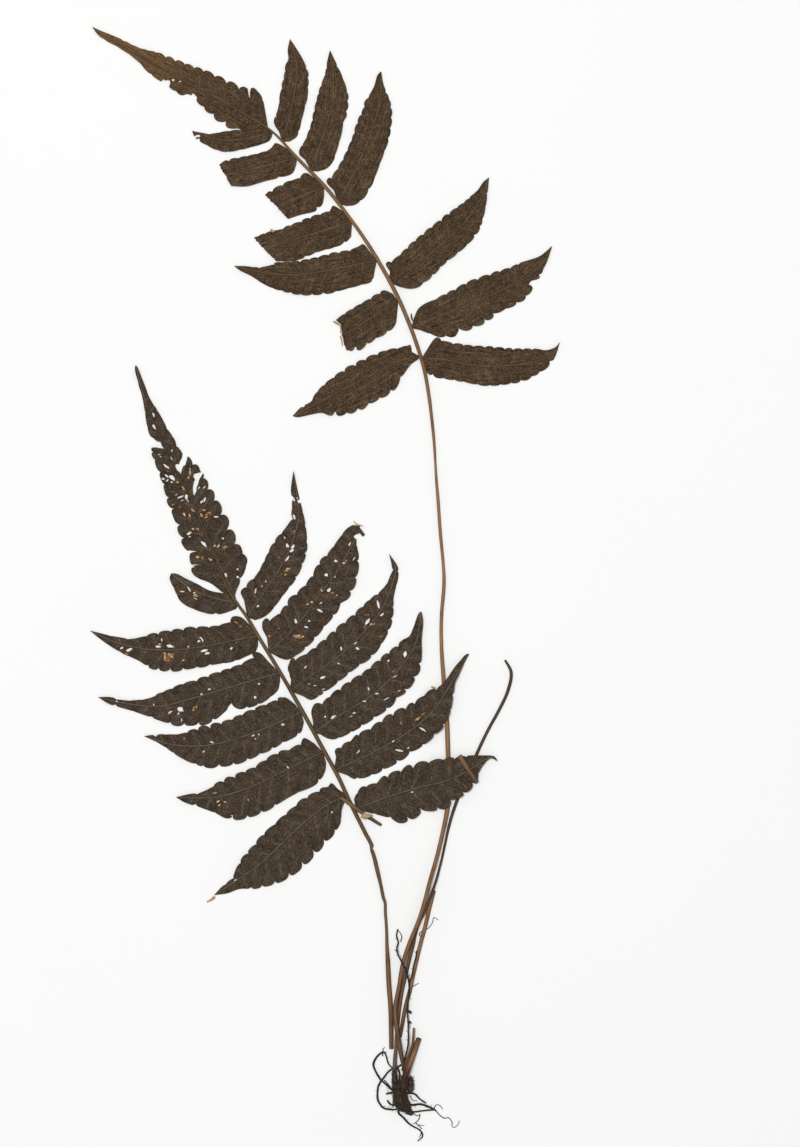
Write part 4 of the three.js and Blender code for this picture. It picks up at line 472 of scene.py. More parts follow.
LOWER_PINNAE = {
  "terminal": {
    "costa": [
      [236, 599], [225.5, 577], [216.5, 557], [208.3, 538.3], [200, 520], [194.2, 505.8], [189.2, 495],
      [183.3, 484.2], [177.5, 471.7], [172.1, 461.7], [165.8, 450], [157.8, 431.5], [147.4, 407],
      [140.8, 385], [136, 365.2]],
    "front": [
      [235, 595], [236.4, 590], [241.2, 580], [245.9, 567.7], [247.3, 559.8], [241, 547], [234.5, 533],
      [228, 518], [221, 505], [214.5, 493], [208, 482], [200, 468], [189, 457], [182, 452], [175.8, 441.5],
      [167.7, 428.5], [163, 420], [157, 409.2], [153, 403.8], [148.8, 396], [145.8, 387.7], [142.7, 380],
      [140, 373], [137.4, 367]],
    "front_notches": {
      6.7: 1.1, 12.1: 0.18, 17.2: 0.9, 22.2: 2.3, 28.2: 2.7, 34.5: 2.6, 40.2: 2, 45.2: 2, 49.4: 1.3,
      52.1: 0.92, 56.3: 1.5, 60.7: 1.1, 65.3: 0.9, 72.7: 0.4, 80.3: 0.25},
    "back": [
      [222, 592], [210, 583], [196, 577], [191, 570], [189, 556], [181, 542], [177, 528], [172, 514],
      [167, 502], [164, 489], [160, 477], [155, 463], [151, 449], [158, 443], [150.4, 436.2], [147.3, 427],
      [145, 412.3], [143.5, 403], [141.2, 393], [139.2, 387], [137.7, 380], [135.8, 373.8], [135, 367.4]],
    "back_notches": {
      10.9: 0.28, 16.2: 2.3, 21.2: 1.9, 27.8: 2.3, 32.9: 2.2, 39.1: 1.8, 43.9: 1.8, 48.8: 1.1, 53.7: 1.2,
      58.6: 0.71, 61.9: 1.2, 65.9: 1.1, 69.3: 0.39, 74.3: 0.2, 79.6: 0.2}},
  "left_1": {
    "costa": [[239, 603], [215, 598], [190, 588], [171.2, 573.4]],
    "front": [[231, 593], [225, 593.2], [209.8, 590.5], [196.7, 583.6], [185.5, 578.2], [176.5, 573.6]],
    "front_notches": {},
    "back": [[236, 609], [218, 614.3], [199.6, 611.2], [181.2, 602], [174.2, 589], [169.8, 578]],
    "back_notches": {8.1: 1, 16.7: 0.18, 25.3: 0.22, 28: 0.18}},
  "left_2": {
    "costa": [[258, 636], [230, 641], [200, 647], [170, 650], [140, 648], [115, 642], [90, 630.5]],
    "front": [
      [249, 624], [241, 617.1], [232.8, 616.5], [226.6, 622.3], [213, 625.8], [203, 626.2], [191, 626.5],
      [176.9, 628.6], [164.9, 630.5], [152.8, 632.9], [142.8, 636.3], [134, 638.4], [125, 637.9],
      [109.9, 635.4]],
    "front_notches": {
      9.5: 1, 13.7: 0.45, 17.4: 0.65, 22.2: 1.1, 27.3: 1.2, 31.9: 1, 36.8: 1.3, 41.1: 0.48, 48.3: 0.44,
      54.8: 0.18},
    "back": [
      [258, 646], [255, 652], [245.3, 656.8], [235.3, 661.2], [213.2, 664.8], [202.3, 667.3], [190.1, 668.8],
      [177.1, 671.3], [164.9, 671.3], [149.5, 668.2], [139.4, 661.1], [124.4, 654.2], [111.5, 646.8],
      [99.6, 638.6]],
    "back_notches": {
      3.6: 0.18, 10.7: 0.53, 15.6: 0.29, 20.5: 0.79, 25.5: 0.86, 30.8: 1.4, 35.9: 2.1, 40.4: 1.7, 44.6: 1.4,
      52.4: 0.18, 56.3: 0.2}},
  "left_3": {
    "costa": [[280, 673], [250, 681], [220, 690], [190, 699], [160, 706], [130, 704], [98, 697]],
    "front": [
      [268, 661], [260, 652.9], [252.7, 652.3], [246.5, 660.3], [232.8, 666.5], [222, 670.1], [202.8, 676.5],
      [192.7, 680.2], [179.7, 684.2], [169.5, 688.8], [157.4, 693.8], [149.7, 697.9], [125, 700.1],
      [110.1, 696.9]],
    "front_notches": {
      9.3: 2, 13.5: 0.65, 17.9: 0.56, 22: 0.84, 26.8: 1, 31.6: 1, 36.5: 0.58, 40.8: 0.47, 44.8: 0.34,
      48: 0.39, 52.9: 0.18, 57.7: 0.18, 62.6: 0.43},
    "back": [
      [280, 682], [278, 690], [270.3, 697.3], [262.4, 702.7], [252.2, 706.8], [239.9, 709.2], [230.2, 706.3],
      [225.9, 710.9], [213.7, 721.1], [203.3, 725.3], [190, 725.8], [175.9, 725.9], [162.8, 721.5],
      [139.8, 713.5], [124.8, 708.7], [109.6, 704]],
    "back_notches": {
      7: 0.28, 12.5: 0.72, 17.1: 1.1, 23.2: 1.5, 32: 1.5, 38.2: 2.1, 43.5: 1.7, 49.1: 1.5, 56.2: 0.72,
      63.4: 0.21, 70.5: 0.76}},
  "left_4": {
    "costa": [[301, 712], [275, 724], [250, 734], [220, 743], [195, 746], [170, 744], [144, 736]],
    "front": [
      [295, 704], [284.1, 696.6], [278.8, 697.5], [269.7, 702.3], [259.9, 705.6], [249.8, 709.6],
      [237.6, 715.2], [226.6, 719.9], [214.7, 722.7], [201.6, 725.7], [189.7, 730], [180, 733.7],
      [156.9, 734.2]],
    "front_notches": {
      5.7: 0.45, 8.2: 1.2, 12.6: 0.67, 17.5: 1.1, 22.3: 0.84, 26.7: 0.91, 30.9: 1.3, 35.6: 2.1, 40.3: 1.5,
      44.2: 0.71, 48.1: 0.18, 52: 0.18, 56: 0.87},
    "back": [
      [304, 722], [300.3, 733.3], [290.6, 739.1], [280.6, 744.1], [270.6, 750.2], [260.5, 754.2],
      [250.5, 759.2], [237.4, 764.2], [223.1, 766.8], [208, 768.1], [195.3, 764.1], [185.4, 760.2],
      [175.4, 754.3], [165.4, 747.4], [154.9, 741.1]],
    "back_notches": {
      5.6: 1.2, 12.1: 0.86, 16.6: 1.2, 21.7: 0.76, 26.9: 1.2, 32.5: 1.5, 38.1: 1.7, 44.3: 1, 47.1: 0.66,
      51.8: 0.18, 56.5: 0.36, 59.6: 0.18}},
  "left_5": {
    "costa": [[323, 752], [295, 765], [270, 778], [245, 789], [215, 797], [176, 797]],
    "front": [
      [314, 743], [304, 737.8], [300.8, 740.8], [289.9, 748.7], [279.9, 750.6], [271.8, 754.6],
      [261.5, 761.2], [251.7, 767.4], [239.6, 772.1], [226.6, 777.1], [216.6, 782.5], [209.5, 788.2],
      [199.7, 792.4], [189.8, 793.8]],
    "front_notches": {
      7.2: 1.4, 11.6: 0.46, 16.4: 1.2, 21.3: 0.85, 26.2: 1, 30.3: 1, 34.8: 1.6, 39.5: 1.5, 43.5: 0.51,
      50: 0.45},
    "back": [
      [326, 762], [325.2, 770.1], [318.8, 781.8], [310.6, 787.2], [300.5, 791.2], [290.6, 796.1],
      [280.7, 802.1], [270.5, 808.9], [250.4, 817.2], [237, 819.8], [224.6, 817.7], [217.5, 814.2],
      [202.6, 808.2], [184.6, 802.1]],
    "back_notches": {
      7.8: 1.3, 16.8: 0.27, 27: 1.2, 32.8: 1.7, 38.5: 1.9, 44.6: 2.3, 51.1: 0.36, 59.1: 0.81}},
  "left_6": {
    "costa": [[347.3, 794.8], [325, 806], [300, 826], [280, 845], [262, 862], [240, 878], [214, 895]],
    "front": [
      [338, 789], [331, 782.4], [327.8, 786.7], [321.8, 787.4], [312.8, 792.6], [302.4, 798.2],
      [293.4, 806.3], [283.4, 814.8], [273.3, 824.2], [261, 835.1], [253, 845.1], [244.2, 854.3],
      [238.2, 863.6], [231.6, 877.7], [221.7, 886.7]],
    "front_notches": {
      3.5: 0.34, 10: 1.2, 15: 1.1, 20.2: 0.68, 25.2: 0.72, 30.7: 0.66, 36.5: 1, 41.3: 0.94, 45.8: 1.2,
      50.5: 0.88, 56.7: 0.76, 60.3: 0.35},
    "back": [
      [344, 803], [341.6, 810], [340.6, 822.2], [333, 835.8], [328, 840.9], [317, 853.9], [303.8, 866.8],
      [292.4, 875.6], [277.2, 883.4], [268, 886], [255.1, 888.8], [240.1, 888.9], [227.3, 893.3]],
    "back_notches": {
      6.2: 0.38, 11.3: 1.3, 17.1: 2.1, 23.1: 2.7, 29.3: 2.7, 35.9: 2.4, 42.1: 1.9, 47: 1.3, 51.3: 0.69}},
  "right_1": {
    "costa": [[247.4, 617.2], [262, 595], [277, 573], [290, 548], [298, 520], [297, 495], [293.5, 471]],
    "front": [
      [244, 600], [240.7, 592], [244.4, 586.5], [249.3, 581.2], [255.7, 575.8], [266.5, 555.2],
      [271.4, 545.3], [276.6, 537.6], [281.3, 532.3], [286, 527.3], [290.2, 519.8], [291.9, 500],
      [290.9, 490]],
    "front_notches": {
      6.4: 0.93, 10.4: 0.4, 14.3: 0.26, 18.2: 0.37, 21.8: 0.36, 26.4: 0.77, 30.5: 0.59, 37.4: 1.2,
      41.1: 0.18, 44.8: 0.86},
    "back": [
      [255, 620], [263.1, 617.2], [270.6, 611.5], [283.3, 595.3], [295.5, 579.7], [300.5, 569.8],
      [303.2, 563.1], [307.1, 550], [306.3, 530], [302.9, 512], [299.5, 498.1]],
    "back_notches": {
      9.2: 0.27, 13.9: 0.18, 18.5: 0.51, 23.1: 0.91, 28.6: 0.86, 32.9: 1.1, 37.2: 0.47, 43.3: 0.42,
      48.3: 0.18}},
  "right_2": {
    "costa": [[268.6, 651.8], [290, 633], [305, 615], [320, 594], [338, 570], [352, 545], [360.2, 530.4]],
    "front": [
      [267, 638], [261.6, 625], [265.5, 618.3], [274.6, 616.3], [281.5, 609.6], [288, 599.1], [295.1, 593],
      [305, 584.1], [311.9, 574.3], [319, 561.2], [328.2, 552.3], [336.1, 542.3], [345.2, 530.2]],
    "torn_front": [[348, 527.6], [352, 525.3], [356, 525.2], [359.8, 525.8]],
    "front_notches": {
      5.3: 0.34, 10.3: 1.8, 14.2: 0.68, 18.5: 1.5, 24: 1.1, 28.7: 0.67, 33.1: 0.91, 38.3: 1.2, 42.6: 0.85,
      46.7: 0.35, 52: 0.2},
    "back": [
      [280, 658], [287, 659.6], [300.4, 652.5], [313.5, 640.5], [324.7, 626.8], [337.4, 612.2],
      [341.5, 603.4], [348.4, 598.4], [354.2, 588.1], [358, 573], [359.3, 558], [357.4, 548],
      [356.5, 539.5]],
    "back_notches": {
      2.3: 0.18, 6.5: 0.31, 11.3: 0.9, 16.6: 1, 21.7: 0.64, 27.5: 1.1, 32.5: 0.47, 39.1: 2, 44.8: 1.3,
      51.1: 1.1, 57: 0.2}},
  "right_3": {
    "costa": [
      [290, 691], [315, 673], [340, 655], [362, 634], [380, 612], [392, 585], [395.5, 568], [389, 553.5]],
    "front": [
      [291, 680], [287.8, 668], [292.6, 657.5], [302.7, 655.3], [315.2, 646], [327.1, 636], [335.2, 628],
      [347.2, 619], [357.1, 610], [366.2, 602], [377.2, 593], [384, 587.2], [389.8, 576.6], [391.7, 567.1]],
    "front_notches": {
      2.6: 0.43, 6.6: 0.18, 10.6: 1.9, 14.8: 0.44, 19: 1, 23.8: 1, 28.6: 1.6, 33.5: 1, 38.1: 1.2, 42.4: 0.79,
      46: 0.34, 49.6: 0.86, 54.9: 0.18, 60.2: 0.61},
    "back": [
      [303, 696], [311, 699.7], [328.8, 689.1], [340.8, 680], [355.8, 668], [371.9, 656.9], [384, 640.6],
      [390.7, 627.3], [393.2, 615], [393.8, 596.8], [398.2, 578], [398.1, 567.8]],
    "back_notches": {
      6.9: 0.5, 9.2: 1.2, 15.9: 0.78, 21: 0.77, 26.3: 0.75, 32: 1.1, 37.5: 0.47, 43.5: 1, 48.3: 1.1,
      52.6: 0.55, 55.3: 0.22, 60.7: 0.2, 66.1: 0.49}},
  "right_4": {
    "costa": [[313, 733], [340, 715], [365, 700], [385, 684], [402, 665], [415, 645], [421.3, 611.3]],
    "front": [
      [313, 722], [311.3, 711], [314.8, 703.8], [322.6, 701.1], [335.3, 690.4], [346.6, 682.3],
      [357.5, 675.3], [367.6, 668.5], [376.6, 660.5], [387.2, 652], [395.2, 646], [402.3, 640],
      [409.1, 636.2], [412.9, 628.6], [417.3, 616], [419, 612.8]],
    "front_notches": {
      10.1: 1.2, 13.7: 0.7, 18.6: 1.3, 23.4: 1, 28.1: 1, 32.3: 0.81, 37.1: 1.3, 41.4: 1.2, 45.6: 0.92},
    "back": [
      [320, 734], [327, 738], [335, 739.2], [350.4, 732.8], [365.7, 724.1], [377.7, 716.1], [390.9, 706.9],
      [397.9, 697.9], [407.9, 691], [413.1, 683.1], [419.3, 672.1], [421.7, 655], [421.5, 640],
      [422.9, 620]],
    "back_notches": {
      7.5: 0.54, 12.9: 0.58, 17.7: 1.1, 23.3: 1.2, 29.1: 1.5, 34.5: 0.9, 39.7: 2.4, 45.5: 1.9, 50.9: 0.93}},
  "right_5": {
    "costa": [[333.9, 770.6], [365, 756], [390, 743], [415, 727], [435, 708], [448, 688], [469, 654]],
    "front": [
      [336, 757], [335, 750], [342.9, 743.8], [351.5, 739.3], [357.3, 732.9], [367.4, 728.9], [379.5, 720.3],
      [391.9, 711.7], [403.7, 706.5], [412.7, 701.5], [423.4, 695.2], [429.3, 689.9], [439.3, 685.9],
      [446, 679.2], [451.3, 671.6], [455.7, 665.3], [459.8, 660.8], [464.5, 655.5], [467.7, 653.6]],
    "front_notches": {
      5.5: 1.1, 9.5: 0.45, 13.9: 1.5, 18.6: 0.93, 23.8: 1.2, 29.1: 1.8, 34.2: 1.5, 38.2: 1.4, 42.4: 0.36,
      47.8: 0.75},
    "back": [
      [347, 775], [355, 779.2], [375.5, 774.2], [385.6, 769.2], [402.7, 760.1], [410.8, 753.1],
      [422.8, 746.1], [436.5, 733.6], [442.7, 727.5], [449.9, 712.3], [453.3, 694.1], [455, 682.3],
      [457.8, 676.4], [461.2, 669.3], [465.3, 661]],
    "back_notches": {
      4.4: 1, 10.2: 0.64, 15: 1.1, 21.3: 1.7, 27.1: 1.1, 32.7: 0.83, 38.5: 1, 44: 1.4, 50: 0.46,
      55.6: 0.64}},
  "right_6": {
    "costa": [
      [355.6, 808.5], [390, 796], [420, 787], [450, 779], [475, 766], [486, 758.5], [492, 757],
      [495.2, 758.6], [497.6, 761.5]],
    "front": [
      [354, 799], [357.7, 790.8], [362.6, 786.2], [376.4, 781.9], [384.3, 774.9], [399.6, 769.2],
      [411.8, 762.9], [424.9, 760.6], [439.9, 758.1], [451.9, 756.5], [470, 755], [485, 755.1], [490, 755.2],
      [493.6, 755.8], [496.2, 758.3]],
    "front_notches": {
      2.8: 0.51, 7.5: 0.89, 11.3: 0.59, 16.7: 1.8, 21.9: 1.3, 27.3: 2.5, 33.3: 1.2, 38.8: 0.81, 43.3: 1,
      47.2: 0.54},
    "back": [
      [363, 811], [371.9, 813.3], [389.5, 818.2], [399.9, 822.9], [412.4, 819.8], [424.3, 811.8],
      [436.2, 810.1], [447.7, 807.1], [453.8, 800], [465.7, 794.1], [472.5, 786.5], [477.2, 780],
      [478.2, 774.5], [480.1, 769.2], [483.8, 763.7], [487.4, 759.7], [491, 757.9], [494.3, 759.3]],
    "back_notches": {
      4.5: 0.31, 10.6: 1, 18.7: 2.7, 24.6: 2.5, 30.3: 1.7, 37.1: 1.6, 42.6: 2.4, 47.8: 1.7, 52: 0.3}},
}

# Rootlets, curled root ends and shreds by the stalks, each a way of [x, y, height in mm, width in mm].
ROOTLETS = [
  [[410, 1095.3, 0.8, 0.4], [412.8, 1100, 0.3, 0.35], [417.5, 1100.8, 0.15, 0.25]],
  [
    [435.6, 1110, 0.3, 0.5], [436.7, 1111.7, 0.25, 0.4], [440, 1115.4, 0.2, 0.35],
    [444.8, 1118.2, 0.2, 0.35], [448.3, 1117.5, 0.2, 0.3], [452.4, 1123.3, 0.2, 0.3],
    [451.7, 1125.3, 0.2, 0.3], [453.7, 1127.4, 0.2, 0.25], [457.8, 1124.6, 0.2, 0.25],
    [459.5, 1120.5, 0.15, 0.2]],
  [[434, 1108.5, 0.3, 0.35], [436, 1104.8, 0.2, 0.3], [440, 1105.5, 0.2, 0.3], [442.8, 1109.6, 0.15, 0.2]],
  [
    [410, 1110, 0.5, 0.4], [412.8, 1112.4, 0.3, 0.35], [416.9, 1115.8, 0.2, 0.35],
    [419.6, 1114.4, 0.15, 0.2]],
  [[420, 1114, 0.35, 0.4], [419.2, 1118.5, 0.25, 0.4], [415.5, 1122.6, 0.2, 0.3], [412.8, 1124, 0.15, 0.2]],
  [[415.5, 1122.6, 0.25, 0.35], [418.9, 1126, 0.2, 0.3], [422.3, 1128.7, 0.15, 0.2]],
  [[418.6, 1124.5, 0.2, 0.3], [421, 1125.3, 0.2, 0.3], [424.4, 1125.3, 0.15, 0.2]],
  [[420.5, 1130, 0.3, 0.4], [421, 1133.5, 0.25, 0.35], [419, 1137.6, 0.15, 0.2]],
  [
    [393, 1107, 0.5, 0.4], [392.6, 1105.5, 0.45, 0.4], [389.6, 1104.2, 0.25, 0.35],
    [386.8, 1100.8, 0.15, 0.2]],
  [[392.6, 1105.5, 0.5, 0.4], [393.3, 1098.7, 0.3, 0.3]],
  [
    [382.5, 1056, 0.5, 0.4], [382.7, 1052.3, 0.35, 0.35], [383.1, 1048.9, 0.25, 0.3],
    [384.8, 1047.2, 0.15, 0.2]],
  [[400.5, 1064.2, 0.4, 0.4], [396.7, 1067.3, 0.4, 0.3]],
  [[384.1, 1079.6, 0.6, 0.4], [388, 1084, 0.7, 0.4], [392.3, 1089.1, 0.9, 0.4]],
  [
    [420.9, 937, 0.3, 0.4], [419.3, 934, 0.25, 0.35], [420.9, 932, 0.25, 0.35], [428.4, 928, 0.25, 0.3],
    [432.6, 922, 0.2, 0.3], [433.7, 917.6, 0.2, 0.25], [438.5, 920, 0.15, 0.2]],
  [[411.8, 987, 0.3, 0.35], [415, 985, 0.25, 0.3], [418.8, 983, 0.15, 0.2]],
  [[397.4, 929, 0.15, 0.25], [401.7, 936, 0.25, 0.35], [400.6, 941.6, 0.3, 0.4]],
  [[398, 952, 0.3, 0.35], [394.2, 949.6, 0.15, 0.2]],
  [[408.4, 1009.8, 2.1, 0.7], [409.8, 1011, 2.1, 1.2], [410.7, 1012.6, 2, 0.8]],
  [[408.6, 1020.4, 2.4, 0.6], [409.7, 1021.4, 2.4, 0.9], [410.4, 1022.6, 2.3, 0.5]],
  [[403.8, 1062, 2.2, 0.5], [397.7, 1067, 0.9, 0.45], [393, 1071.5, 0.5, 0.4]],
]

# Small torn bits at the tips and edges of the blades, dark ones and pale ones, by frond; one pale
# flake lies by the torn pinna stalk.
DARK_SCRAPS = {
  "upper": [
    [
      [411.2, 313.6, 0.8, 0.35], [411.6, 317.5, 0.9, 0.6], [412.6, 320.4, 0.8, 0.5],
      [414.5, 322.6, 0.5, 0.3]],
  ],
  "lower": [
    [[358.5, 528.4, 0.7, 1], [360.9, 531.2, 0.8, 1.25], [363.5, 535.6, 0.7, 1.2]],
  ],
}
PALE_SCRAPS = {
  "upper": [
    [[333.2, 321.6, 0.5, 0.4], [335.6, 322.4, 0.8, 0.7], [338.4, 324.4, 0.8, 0.6]],
    [[338.6, 323.4, 0.8, 0.5], [340.8, 328, 0.7, 0.6], [340.6, 333, 0.7, 0.5]],
    [[340.2, 336, 0.6, 0.5], [341.6, 341, 0.6, 0.5], [342.6, 346, 0.5, 0.3]],
    [[270.6, 229.6, 0.8, 0.7], [272.2, 230.6, 0.9, 1.1], [274, 232, 0.8, 0.7]],
  ],
  "lower": [
    [[353.6, 521, 0.5, 0.2], [355.6, 523.4, 0.7, 0.5], [358.2, 525, 0.8, 0.8]],
    [[358.4, 525, 0.8, 0.5], [361, 525.4, 0.7, 0.35], [363.6, 526.4, 0.5, 0.2]],
    [[214.6, 896.6, 0.6, 0.9], [211, 899.4, 0.7, 0.8], [207, 902, 0.5, 0.4]],
    [[431.4, 686.4, 0.7, 0.7], [433.2, 687.2, 0.8, 1], [435.4, 688.2, 0.6, 0.7]],
    [[360.8, 817, 1.7, 0.7], [364.4, 815.4, 2.1, 2.4], [369, 815.2, 1.9, 1.7], [372.8, 815.3, 1.6, 0.4]],
  ],
}

# Insect marks in the blades: (x, y, length, width, turn in degrees toward the lower right, kind). A row
# without a kind is a plain hole.
HOLE = "hole"
RIMMED = "rimmed hole"
WINDOW = "thin window"
SCAR = "dark scar"

